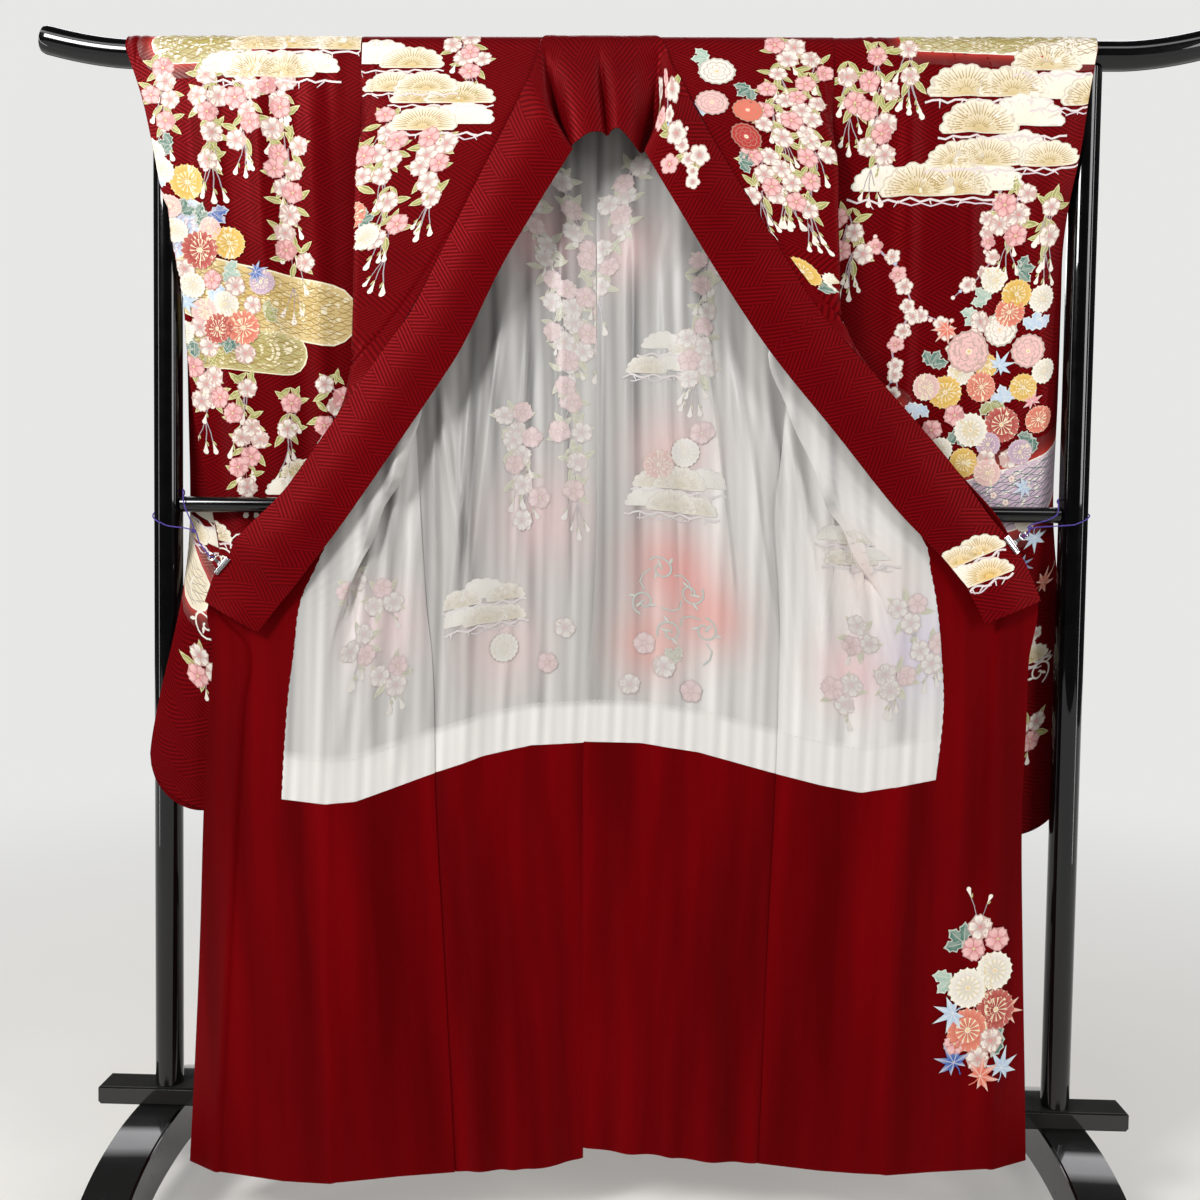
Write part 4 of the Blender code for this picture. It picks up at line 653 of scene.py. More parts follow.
def wall(name, points, facing, outer, inner, across, down, paint=None, shown="both"):
    """A cloth wall between two distances from a grid of points, its UV map in metres of cloth.

    A side that always lies against another cloth can be left out."""
    rows, columns = points.shape[:2]
    count = rows * columns
    distances = (np.broadcast_to(side, (rows, columns))[..., None] for side in (outer, inner))
    vertices = np.concatenate([(points + facing * distance).reshape(-1, 3) for distance in distances])
    turned_over = np.cross(points[1, 1] - points[1, 0], points[2, 0] - points[1, 0]) @ facing[1, 0] < 0
    grid = np.arange(count).reshape(rows, columns)
    rim = np.concatenate([grid[0], grid[1:, -1], grid[-1, -2::-1], grid[-2:0:-1, 0]])
    after = np.roll(rim, -1)
    band_faces = np.stack([rim, rim + count, after + count, after], axis=1)
    sides = {"outer": quads(rows, columns, 0, turned_over),
             "inner": quads(rows, columns, count, not turned_over)}
    faces = [side for key, side in sides.items() if shown in ("both", key)]
    faces = np.concatenate([*faces, band_faces[:, ::-1] if turned_over else band_faces])
    mesh = bpy.data.meshes.new(name)
    mesh.from_pydata(vertices.tolist(), [], faces.tolist())
    flat = np.stack([across, np.broadcast_to(down[:, None], across.shape)], axis=-1).reshape(-1, 2)
    set_uv(mesh, np.concatenate([flat, flat]))
    if paint is not None:
        set_paint(mesh, np.concatenate([paint.reshape(-1, 3)] * 2))
    mesh.shade_smooth()
    mesh.set_sharp_from_angle(angle=radians(CLOTH_SHARP))
    return linked(name, mesh)


def set_uv(mesh, per_vertex):
    corner = np.zeros(len(mesh.loops), int)
    mesh.loops.foreach_get("vertex_index", corner)
    layer = mesh.uv_layers.new(name="cloth")
    layer.data.foreach_set("uv", per_vertex[corner].astype(np.float32).ravel())


def set_paint(mesh, per_vertex):
    layer = mesh.color_attributes.new("paint", "FLOAT_COLOR", "POINT")
    colours = np.column_stack([per_vertex, np.ones(len(per_vertex))])
    layer.data.foreach_set("color", colours.astype(np.float32).ravel())


def linked(name, data):
    made = bpy.data.objects.new(name, data)
    bpy.context.scene.collection.objects.link(made)
    return made


def finished(piece, finish, slot, *nodes):
    """Gives a piece its material and its place in the frame; its slot is not used."""
    piece.data.materials.clear()
    piece.data.materials.append(finish)
    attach(piece, "root")
    if nodes:
        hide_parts(*nodes)
    return piece


# Materials
SILK_SHEEN = (1.0, 0.03, 0.04)
BACKDROP_SEEN = (0.80, 0.80, 0.79)
BLACK, FULL = (0.0, 0.0, 0.0), (1.0, 1.0, 1.0)


def node(tree, kind, inputs=(), **settings):
    made = tree.nodes.new(kind)
    for name, value in settings.items():
        setattr(made, name, value)
    for key, value in dict(inputs).items():
        if isinstance(value, bpy.types.NodeSocket):
            tree.links.new(value, made.inputs[key])
        else:
            made.inputs[key].default_value = value
    return made


def maths(tree, operation, *values):
    return node(tree, "ShaderNodeMath", dict(enumerate(values)), operation=operation).outputs[0]


def mixed(tree, share, first, second, blend="MIX"):
    colours = [(*value, 1.0) if isinstance(value, tuple) else value for value in (first, second)]
    inputs = {0: share, 6: colours[0], 7: colours[1]}
    return node(tree, "ShaderNodeMix", inputs, data_type="RGBA", blend_type=blend).outputs[2]


def ranged(tree, value, low, high, to_low=0.0, to_high=1.0, **settings):
    inputs = dict(enumerate((value, low, high, to_low, to_high)))
    return node(tree, "ShaderNodeMapRange", inputs, **settings).outputs[0]


def noise(tree, vector, scale, detail=3.0, stretch=None):
    if stretch is not None:
        vector = node(tree, "ShaderNodeMapping", {0: vector, 3: stretch}).outputs[0]
    return node(tree, "ShaderNodeTexNoise", {"Vector": vector, "Scale": scale, "Detail": detail}).outputs[0]


def cloth_uv(tree):
    """Across and down the cloth, in metres."""
    return node(tree, "ShaderNodeUVMap", uv_map="cloth").outputs[0]


def solid_place(tree):
    return node(tree, "ShaderNodeTexCoord").outputs[3]


def paint_of(tree, shade):
    """The mesh's own colours under a shade."""
    paint = node(tree, "ShaderNodeVertexColor", layer_name="paint").outputs[0]
    return mixed(tree, 1.0, paint, shade, "MULTIPLY")


def new_material(name, **settings):
    """A material and its node tree, with the given values on the shader's own sockets."""
    made = bpy.data.materials.new(name)
    made.use_nodes = True
    shader = made.node_tree.nodes["Principled BSDF"]
    for key, value in settings.items():
        socket = shader.inputs[key.replace("_", " ")]
        socket.default_value = (*value, 1.0) if isinstance(value, tuple) else value
    return made, made.node_tree


def dressed(made, bumps, **linked_to):
    """Links sockets to a material's shader; each bump is (height socket, distance in metres, strength)."""
    tree, normal = made.node_tree, None
    for height, distance, strength in bumps:
        inputs = {"Height": height, "Distance": distance, "Strength": strength}
        if normal is not None:
            inputs["Normal"] = normal
        normal = node(tree, "ShaderNodeBump", inputs).outputs[0]
    for key, socket in {"Normal": normal, **linked_to}.items():
        tree.links.new(socket, tree.nodes["Principled BSDF"].inputs[key.replace("_", " ")])
    return made


def fret(tree):
    """A woven key fret: blocks of slanting lines that turn from one block to the next."""
    across, down = node(tree, "ShaderNodeSeparateXYZ", {0: cloth_uv(tree)}).outputs[:2]
    rise = maths(tree, "MULTIPLY", down, FRET_STEEP / FRET_BLOCK)
    run = maths(tree, "MULTIPLY", across, FRET_FLAT / FRET_BLOCK)
    slants = maths(tree, "ADD", run, rise), maths(tree, "SUBTRACT", run, rise)
    cells = [maths(tree, "FLOOR", axis) for axis in slants]
    pair = maths(tree, "ADD", cells[0], maths(tree, "MULTIPLY", cells[1], 3.0))
    turn = maths(tree, "LESS_THAN", maths(tree, "WRAP", pair, 4.0, 0.0), 1.5)
    lines = [maths(tree, "PINGPONG", maths(tree, "MULTIPLY", axis, 2 * FRET_LINES), 1.0) for axis in slants]
    chosen = maths(tree, "ADD", maths(tree, "MULTIPLY", lines[0], turn),
                   maths(tree, "MULTIPLY", lines[1], maths(tree, "SUBTRACT", 1.0, turn)))
    return ranged(tree, chosen, 0.35, 0.65)


def crepe(tree, scale):
    return noise(tree, cloth_uv(tree), scale, stretch=(1.0, 0.55, 1.0))


def silk(name, ground, figure, painted=False):
    """Figured silk: a satin fret on a duller ground.  Painted silk takes its colour from its mesh."""
    sheen = (1.0, 0.9, 0.8) if painted else SILK_SHEEN
    made, tree = new_material(name, Sheen_Weight=0.05, Sheen_Roughness=0.45, Sheen_Tint=sheen,
                              Specular_IOR_Level=0.30, Specular_Tint=sheen)
    pattern = fret(tree)
    if painted:
        colour = paint_of(tree, mixed(tree, maths(tree, "MULTIPLY", pattern, 0.10), FULL, (0.72, 0.70, 0.68)))
    else:
        tone = maths(tree, "MULTIPLY", noise(tree, solid_place(tree), 9.0), 0.6)
        colour = mixed(tree, tone, mixed(tree, pattern, ground, figure), tuple(0.70 * c for c in ground))
    return dressed(made, [(pattern, 0.00025, 0.35), (crepe(tree, 1500.0), 0.0001, 0.25)],
                   Base_Color=colour, Roughness=ranged(tree, pattern, 0.0, 1.0, 0.58, 0.40))


def plain_lining():
    made, tree = new_material("plain_crimson_lining", Roughness=0.60, Sheen_Weight=0.04, Sheen_Roughness=0.5,
                              Sheen_Tint=SILK_SHEEN, Specular_IOR_Level=0.14, Specular_Tint=SILK_SHEEN)
    # Long vertical noise that bumps the lining and also darkens its colour in bands: painted fold shade
    folds = noise(tree, cloth_uv(tree), 1.0, stretch=(14.0, 1.2, 1.0))
    colour = mixed(tree, ranged(tree, folds, 0.36, 0.66), (0.050, 0.0003, 0.0008), (0.122, 0.0006, 0.0018))
    colour = mixed(tree, maths(tree, "MULTIPLY", crepe(tree, 900.0), 0.35), colour, (0.165, 0.0016, 0.0032))
    return dressed(made, [(folds, 0.006, 0.35), (crepe(tree, 1100.0), 0.00015, 0.5)], Base_Color=colour)


def sheer_lining():
    """Glossy white silk, so thin that the print behind it shows through softly."""
    made, tree = new_material("sheer_white_lining", Roughness=0.42, Sheen_Weight=0.25, Sheen_Roughness=0.35,
                              Sheen_Tint=(1.0, 0.99, 0.96), Specular_IOR_Level=0.45)
    threads = noise(tree, cloth_uv(tree), 1.0, 2.0, (900.0, 12.0, 1.0))
    soft = noise(tree, cloth_uv(tree), 1.0, 2.0, (26.0, 1.6, 1.0))
    colour = paint_of(tree, mixed(tree, threads, (0.93, 0.93, 0.94), FULL))
    return dressed(made, [(soft, 0.004, 0.4), (threads, 0.0001, 0.35)], Base_Color=colour)


def lacquer():
    made, tree = new_material("black_lacquer", Coat_Weight=1.0, Coat_Roughness=0.03, Coat_IOR=1.45,
                              Roughness=0.30, Specular_IOR_Level=0.04)
    haze = noise(tree, solid_place(tree), 40.0)
    wood = noise(tree, solid_place(tree), 1.0, stretch=(6.0, 60.0, 60.0))
    colour = mixed(tree, haze, (0.0008, 0.0008, 0.0009), (0.0022, 0.0022, 0.0025))
    worn = ranged(tree, node(tree, "ShaderNodeNewGeometry").outputs["Pointiness"], 0.54, 0.62)
    colour = mixed(tree, maths(tree, "MULTIPLY", worn, 0.3), colour, (0.06, 0.058, 0.055))
    return dressed(made, [(wood, 0.0002, 0.12)], Base_Color=colour,
                   Roughness=ranged(tree, haze, 0.3, 0.75, 0.16, 0.30))


def nickel():
    made, tree = new_material("nickel_plate", Metallic=1.0, Roughness=0.2)
    haze = noise(tree, solid_place(tree), 600.0)
    colour = mixed(tree, haze, (0.70, 0.70, 0.72), (0.86, 0.86, 0.86))
    return dressed(made, [(haze, 0.0001, 0.15)], Base_Color=colour,
                   Roughness=ranged(tree, haze, 0.0, 1.0, 0.12, 0.30))


def cord_fibre():
    made, tree = new_material("purple_cord", Roughness=0.6, Sheen_Weight=0.3, Sheen_Roughness=0.4,
                              Sheen_Tint=(0.6, 0.5, 1.0))
    fibre = noise(tree, solid_place(tree), 2500.0)
    colour = mixed(tree, fibre, (0.022, 0.010, 0.14), (0.085, 0.040, 0.36))
    return dressed(made, [(fibre, 0.0002, 0.5)], Base_Color=colour)


def studio_floor():
    """Pale paper sweep, which brightens into the backdrop further out."""
    made, tree = new_material("studio_floor", Roughness=0.60, Specular_IOR_Level=0.0, Emission_Strength=1.0)
    grain = noise(tree, solid_place(tree), 3.0)
    away = node(tree, "ShaderNodeVectorMath", {0: solid_place(tree)}, operation="LENGTH").outputs[1]
    share = ranged(tree, away, 0.0, 3.6, 0.08, interpolation_type="SMOOTHSTEP")
    paper = mixed(tree, grain, (0.74, 0.72, 0.68), (0.80, 0.78, 0.74))
    return dressed(made, [(grain, 0.002, 0.1)], Base_Color=mixed(tree, share, paper, BLACK),
                   Emission_Color=mixed(tree, share, BLACK, BACKDROP_SEEN))


# The stand's roundings, the clips' small parts and the cords' twist
SIDEWAYS, DEPTHWISE, UPWARD = Vector((1.0, 0.0, 0.0)), Vector((0.0, 1.0, 0.0)), Vector((0.0, 0.0, 1.0))
ROUND_END, ROUND_END_LONG, BAR_RISE_POWER = (0.35, 0.65, 0.85, 0.97), 0.006, 1.7
BOARD_EDGE, CLIP_EDGE, LEVER_EDGE, LIP_EDGE = 0.003, 0.0002, 0.0004, 0.0003
JAW_LIPS = ((CLIP_REACH - 0.0009, 0.0008, 0.0006, 0.0004), (0.0006, 0.0007, 0.0005, 0.0012))
LIP_OUT = (0.0009, -0.0004)
SPRING_BACK, SPRING_PITCH, SPRING_SIZE = 0.0032, 0.0014, (0.0021, 0.0006)
KNOT_RADIUS, KNOT_SIZE, KNOT_POINTS = 0.0024, (0.001, 0.0006), 70
CORD_TWIST, CORD_STEP, CORD_STRAND = 0.0045, 0.0008, 0.58


def hoop(shape, centre, first, second, radius, sides):
    """A ring of points about a centre, in the plane of two directions."""
    angles = [2 * pi * k / sides for k in range(sides)]
    return [shape.verts.new(centre + (first * cos(a) + second * sin(a)) * radius) for a in angles]


def skin(shape, rows, around=False):
    """Faces from ring to ring; around joins the last ring to the first, else both ends are closed."""
    for low, high in zip(rows, rows[1:] + rows[:1] if around else rows[1:]):
        for k in range(len(low)):
            after = (k + 1) % len(low)
            shape.faces.new((low[k], low[after], high[after], high[k]))
    for end in () if around else (rows[0], rows[-1]):
        shape.faces.new(end)


def tube(name, route, radius, sides, finish, ends=0.0):
    """A round bar along a route of points; ends rounds its two ends over that length."""
    route = [Vector(p) for p in route]
    rings = [(p, 1.0) for p in route]
    if ends:
        before, after = (route[0] - route[1]).normalized(), (route[-1] - route[-2]).normalized()
        steps = [(ends * (s - 1), (1 - s * s) ** 0.5) for s in ROUND_END]
        rings = [(route[0] + before * reach, share) for reach, share in steps[::-1]] + rings[1:-1]
        rings += [(route[-1] + after * reach, share) for reach, share in steps]
    shape, rows = bmesh.new(), []
    for place, (centre, share) in enumerate(rings):
        ahead = (rings[min(place + 1, len(rings) - 1)][0] - rings[max(place - 1, 0)][0]).normalized()
        side = ahead.cross(DEPTHWISE if abs(ahead.dot(DEPTHWISE)) < 0.9 else SIDEWAYS).normalized()
        rows.append(hoop(shape, centre, side, ahead.cross(side), radius * share, sides))
    skin(shape, rows)
    return shaped(name, shape, finish)


def shaped(name, shape, finish, sharp=40):
    bmesh.ops.recalc_face_normals(shape, faces=shape.faces)
    mesh = bpy.data.meshes.new(name)
    shape.to_mesh(mesh)
    shape.free()
    mesh.shade_smooth()
    mesh.set_sharp_from_angle(angle=radians(sharp))
    mesh.materials.append(finish)
    return linked(name, mesh)


def bar_route():
    """The top bar's middle line: straight between the posts, its ends curving up."""
    half = [(x, 0.0, BAR_Z) for x in np.linspace(0.0, BAR_BEND_FROM, 8)]
    for share in np.arange(1, 17) / 16:
        rise = BAR_RISE * share**BAR_RISE_POWER
        half.append((BAR_BEND_FROM + (BAR_HALF - BAR_BEND_FROM) * share, 0.0, BAR_Z + rise))
    return [(-x, y, z) for x, y, z in half[:0:-1]] + half


def foot_outline():
    """An arched foot seen from its side: pads at front and back, an arch between them."""
    rise = BEAM_TOP - BEAM_HEIGHT - SEAM_GAP - FOOT_TOE
    outline = [(FOOT_CROWN + (FOOT_HALF - FOOT_CROWN) * sin(turn), FOOT_TOE + rise * cos(turn) ** 0.9)
               for turn in (pi / 2 * step / 24 for step in range(25))]
    outline.append((FOOT_HALF, 0.0))
    outline += [((FOOT_HALF - FOOT_PAD) * cos(turn), FOOT_ARCH * sin(turn) ** 0.8)
                for turn in (pi / 2 * step / 16 for step in range(17))]
    return [(-y, z) for y, z in outline[-2::-1]] + outline[:-1]


def slab(name, corners, thickness, edge, finish, segments=3):
    """A board with rounded edges: an outline pushed out to its other face."""
    shape = bmesh.new()
    face = shape.faces.new([shape.verts.new(corner) for corner in corners])
    made = bmesh.ops.extrude_face_region(shape, geom=[face])
    moved = [item for item in made["geom"] if isinstance(item, bmesh.types.BMVert)]
    bmesh.ops.translate(shape, verts=moved, vec=thickness)
    bmesh.ops.recalc_face_normals(shape, faces=shape.faces)
    sharp = [e for e in shape.edges if len(e.link_faces) == 2 and e.calc_face_angle(0) > radians(35)]
    bmesh.ops.bevel(shape, geom=sharp, offset=edge, segments=segments, affect="EDGES", clamp_overlap=True)
    return shaped(name, shape, finish)


def build_stand(finish):
    half, low, reach = BEAM_DEPTH / 2, BEAM_TOP - BEAM_HEIGHT, POST_X - POST_RADIUS - SEAM_GAP
    bar = [(x, 0.0, MID_Z) for x in np.linspace(-reach, reach, 9)]
    beam = [(BEAM_HALF * x, half * y, low) for x, y in ((-1, -1), (1, -1), (1, 1), (-1, 1))]
    parts = {
        "top_bar": tube("bar_top", bar_route(), BAR_RADIUS, 48, finish, ROUND_END_LONG),
        "mid_bar": tube("bar_middle", bar, MID_RADIUS, 40, finish),
        "base_beam": slab("beam_base", beam, (0.0, 0.0, BEAM_HEIGHT), BOARD_EDGE, finish),
    }
    for side, sign in (("left", -1), ("right", 1)):
        top = BAR_Z - BAR_RADIUS - SEAM_GAP
        upright = [(sign * POST_X, 0.0, z) for z in np.linspace(BEAM_TOP + SEAM_GAP, top, 9)]
        corners = [(sign * FOOT_X - FOOT_WIDTH / 2, y, z) for y, z in foot_outline()]
        parts[f"post_{side}"] = tube(f"upright_{side}", upright, POST_RADIUS, 56, finish)
        across = (FOOT_WIDTH, 0.0, 0.0)
        parts[f"foot_{side}"] = slab(f"arched_foot_{side}", corners, across, BOARD_EDGE, finish)
    for node_name, piece in parts.items():
        finished(piece, finish, "black_lacquer", node_name)


# The clips and cords
def clip_axes(side):
    """A clip's middle, and its directions along the collar's edge and in from it."""
    x, z, slope = CLIPS[side]
    turn, sign = radians(slope), 1.0 if side == "left" else -1.0
    edge, inward = Vector((-sin(turn), 0.0, cos(turn))), Vector((cos(turn), 0.0, sin(turn))) * sign
    return Vector((x, CLIP_Y, z)), edge, inward


def clip_outline():
    """A clip's side, as distances in from the collar's edge and forward of the collar."""
    near = COLLAR_WALL / 2 + CLIP_GAP
    far = near + CLIP_PLATE
    crown, outer = far + CLIP_PLATE, -CLIP_BACK - CLIP_PLATE
    upper = [(CLIP_REACH, near), (CLIP_REACH, crown), (CLIP_REACH / 2, crown), (0.0, far)]
    lower = [(outer, 0.6 * far), (outer, -0.6 * far), (0.0, -far), (CLIP_REACH, -far), (CLIP_REACH, -near)]
    return upper + lower + [(-CLIP_BACK, -0.5 * near), (-CLIP_BACK, 0.5 * near)]


def ring(shape, centre, first, second, radius, wire, sides=18, steps=8):
    """A wire ring in the plane of two directions."""
    rows = []
    for turn in (2 * pi * k / sides for k in range(sides)):
        out = first * cos(turn) + second * sin(turn)
        rows.append(hoop(shape, centre + out * radius, out, first.cross(second), wire, steps))
    skin(shape, rows, around=True)


def plate(shape, centre, axes, sizes, edge):
    """A small bar with rounded edges, its half sizes along three axes."""
    x, y, z = (axis * size for axis, size in zip(axes, sizes))
    signs = [(a, b, c) for a in (-1, 1) for b in (-1, 1) for c in (-1, 1)]
    corners = [shape.verts.new(centre + x * a + y * b + z * c) for a, b, c in signs]
    faces = [(0, 1, 3, 2), (4, 6, 7, 5), (0, 4, 5, 1), (2, 3, 7, 6), (0, 2, 6, 4), (1, 5, 7, 3)]
    made = [shape.faces.new([corners[k] for k in face]) for face in faces]
    edges = list({e for face in made for e in face.edges})
    bmesh.ops.bevel(shape, geom=edges, offset=edge, segments=2, affect="EDGES")


def build_clip(side, finish):
    """A sprung clip that straddles the collar's edge: two jaws, a lever, a spring and an eye."""
    middle, edge, inward = clip_axes(side)
    forward = -DEPTHWISE
    axes = (inward, forward, edge)
    start = middle - edge * CLIP_WIDTH / 2
    corners = [start + inward * reach + forward * out for reach, out in clip_outline()]
    jaws = slab(f"clip_jaws_{side}", corners, edge * CLIP_WIDTH, CLIP_EDGE, finish, 1)
    shape = bmesh.new()
    shape.from_mesh(jaws.data)
    lever = (LEVER_LENGTH / 2, LEVER_THICK / 2, LEVER_WIDTH / 2)
    plate(shape, middle - inward * (CLIP_BACK + LEVER_LENGTH / 2), axes, lever, LEVER_EDGE)
    far = COLLAR_WALL / 2 + CLIP_GAP + CLIP_PLATE
    for out in (far + LIP_OUT[0], LIP_OUT[1] - far):
        for reach, wide, thick, short in JAW_LIPS:
            sizes = (wide, thick, CLIP_WIDTH / 2 - short)
            plate(shape, middle + inward * reach + forward * out, axes, sizes, LIP_EDGE)
    for turn in range(-2, 3):
        ring(shape, middle - inward * SPRING_BACK + edge * turn * SPRING_PITCH, inward, forward, *SPRING_SIZE)
    eye = middle - inward * (RING_OUT + RING_WIRE)
    ring(shape, eye, SIDEWAYS, UPWARD, RING_RADIUS, RING_WIRE, 32, 12)
    bmesh.ops.recalc_face_normals(shape, faces=shape.faces)
    shape.to_mesh(jaws.data)
    shape.free()
    finished(jaws, finish, "nickel", f"clip_{side}")


def cord_route(side):
    """From the clip's eye, round the post below and above the middle bar's end, and back to the knot."""
    middle, _, inward = clip_axes(side)
    eye = middle - inward * (RING_OUT + RING_WIRE)
    join = Vector(CORD_JOINS[side])
    sign = 1.0 if side == "left" else -1.0
    low, beside, high = CORD_HEIGHTS[side]
    radius = POST_RADIUS + CORD_ROUND_POST
    route = [eye + DEPTHWISE * 0.005, eye - DEPTHWISE * 0.005, (eye + join) / 2 - DEPTHWISE * 0.010, join]
    for share in np.arange(25) / 24:
        angle = radians(-75 - 275 * share)
        rise = float(np.interp(share, [0.0, 0.3, 1.0], [low, beside, high]))
        route.append(Vector((sign * (cos(angle) * radius - POST_X), sin(angle) * radius, rise)))
    inner = sign * (radius + 0.004 - POST_X)
    route += [Vector((inner, -0.012, high)), Vector((inner + sign * 0.003, -0.0165, MID_Z))]
    return [tuple(p) for p in route + [join + Vector((0.0, 0.001, 0.004))]]


def smooth_route(route, step):
    """A smooth curve through the route, at even steps."""
    points = np.array(route)
    run = lengths(points)
    values = np.column_stack([run, points])
    return np.array([eased(values, place)[1:] for place in np.arange(0, run[-1], step)] + [points[-1]])


def strands(shape, line, radius, thread, count=2):
    """Twisted strands along a line."""
    line = [Vector(p) for p in line]
    run = lengths(np.array(line))
    for which in range(count):
        rows, side = [], DEPTHWISE
        for place, centre in enumerate(line):
            ahead = (line[min(place + 1, len(line) - 1)] - line[max(place - 1, 0)]).normalized()
            side = (side - ahead * side.dot(ahead)).normalized()
            other = ahead.cross(side)
            turn = 2 * pi * (run[place] / CORD_TWIST + which / count)
            core = centre + (side * cos(turn) + other * sin(turn)) * (radius - thread)
            rows.append(hoop(shape, core, side, other, thread, 6))
        skin(shape, rows)


def build_cord(side, finish):
    line = smooth_route(cord_route(side), CORD_STEP)
    join = Vector(CORD_JOINS[side])
    turns = [join + Vector((cos(t) * (1 + 0.3 * cos(3 * t)), -sin(2 * t) * 0.6, sin(t))) * KNOT_RADIUS
             for t in np.linspace(0, 4 * pi, KNOT_POINTS)]
    made = []
    for name, route, sizes in (("tie_cord", line, (CORD_RADIUS, CORD_RADIUS * CORD_STRAND)),
                               ("cord_knot", turns, KNOT_SIZE)):
        shape = bmesh.new()
        strands(shape, route, *sizes)
        made.append(shaped(f"{name}_{side}", shape, finish, 180))
    finished(made[0], finish, "purple_cord", f"cord_{side}")
    finished(made[1], finish, "purple_cord")
    return *made, line


# The colours of the print
WHITE, CREAM, BLUSH, PINK = (0.80, 0.75, 0.66), (0.76, 0.68, 0.48), (0.74, 0.47, 0.44), (0.66, 0.25, 0.27)
RED, BRIGHT_RED, CORAL = (0.40, 0.022, 0.016), (0.46, 0.028, 0.018), (0.66, 0.15, 0.09)
GOLD, GOLD_DARK, YELLOW = (0.52, 0.36, 0.11), (0.30, 0.19, 0.05), (0.70, 0.42, 0.055)
LEAF, LEAF_PALE, OLIVE = (0.24, 0.25, 0.055), (0.62, 0.57, 0.30), (0.34, 0.29, 0.075)
TEAL, TEAL_PALE, BLUE = (0.035, 0.14, 0.11), (0.30, 0.44, 0.36), (0.03, 0.10, 0.36)
BLUE_PALE, LILAC = (0.40, 0.52, 0.66), (0.50, 0.34, 0.46)
STEM, INK = (0.36, 0.29, 0.31), (0.34, 0.25, 0.20)
FLOWER_SHADE, GROUND = (0.42, 0.27, 0.29), (0.098, 0.0014, 0.0026)

# How the print lies on its cloth: its height, each level's own height, and how closely its triangles follow
PROUD, LAYER, FOLLOW = 0.00036, 0.00005, 0.00019
SMALLEST, LONGEST, LEAST_AREA, MOST_SPLITS = 0.005, 0.028, 1e-10, 6
EDGE, GRID = 0.0008, 0.002

# How a glow runs out round a drifting shape, and how far each of its rings has faded
GLOW_REACH = (0.0, 0.10, 0.24, 0.42, 0.66)
GLOW_FADE = (0.0, 0.30, 0.66, 0.90, 1.0)


def blend_colour(first, second, share):
    return tuple(a + (b - a) * share for a, b in zip(first, second))


def turned(points, angle, size, place):
    """Shape points turned, scaled and moved to a place."""
    c, s = cos(angle) * size, sin(angle) * size
    points = np.asarray(points, float)
    return np.column_stack([points[:, 0] * c - points[:, 1] * s + place[0],
                            points[:, 0] * s + points[:, 1] * c + place[1]])


def at(u, v):
    """A place on a cloth, given in millimetres."""
    return (u / 1000, v / 1000)


def mm(*points):
    return [at(u, v) for u, v in points]


class Panel:
    """A cloth's surface that flat places, across and down it in metres, are laid onto."""

    def __init__(self, cloth, offset):
        order = np.argsort(cloth["down"])
        self.down, across, facing = (cloth[key][order] for key in ("down", "across", "facing"))
        surface = (cloth["points"] + cloth["facing"] * np.reshape(offset, (1, -1, 1)))[order]
        self.low, self.high = across.min(axis=1), across.max(axis=1)
        self.steps = np.arange(0, self.high.max() + GRID, GRID)
        self.grid = np.zeros((len(across), len(self.steps), 6))
        both = np.concatenate([surface, facing], axis=2)
        for row, places in enumerate(across):
            rising = np.argsort(places)
            for axis in range(6):
                self.grid[row, :, axis] = np.interp(self.steps, places[rising], both[row, rising, axis])

    def place(self, flat):
        """Points on the cloth and their facing; places beyond its edges are drawn in to them."""
        flat = self.held(flat)
        row = np.clip(np.interp(flat[:, 1], self.down, np.arange(len(self.down))), 0, len(self.down) - 1.001)
        column = np.clip(flat[:, 0] / GRID, 0, len(self.steps) - 1.001)
        i, j = row.astype(int), column.astype(int)
        f, g = (row - i)[:, None], (column - j)[:, None]
        near = self.grid[i, j] * (1 - g) + self.grid[i, j + 1] * g
        far = self.grid[i + 1, j] * (1 - g) + self.grid[i + 1, j + 1] * g
        both = near * (1 - f) + far * f
        return both[:, :3], both[:, 3:]

    def held(self, flat):
        down = np.clip(flat[:, 1], self.down[0] + EDGE, self.down[-1] - EDGE)
        low = np.interp(down, self.down, self.low) + EDGE
        high = np.interp(down, self.down, self.high) - EDGE
        return np.column_stack([np.clip(flat[:, 0], low, high), down])


def ring_faces(count, first, second):
    """Triangles between two closed rings of points, each named by its first point."""
    here = np.arange(count)
    after = np.roll(here, -1)
    return [np.column_stack([first + here, second + here, second + after]),
            np.column_stack([first + here, second + after, first + after])]


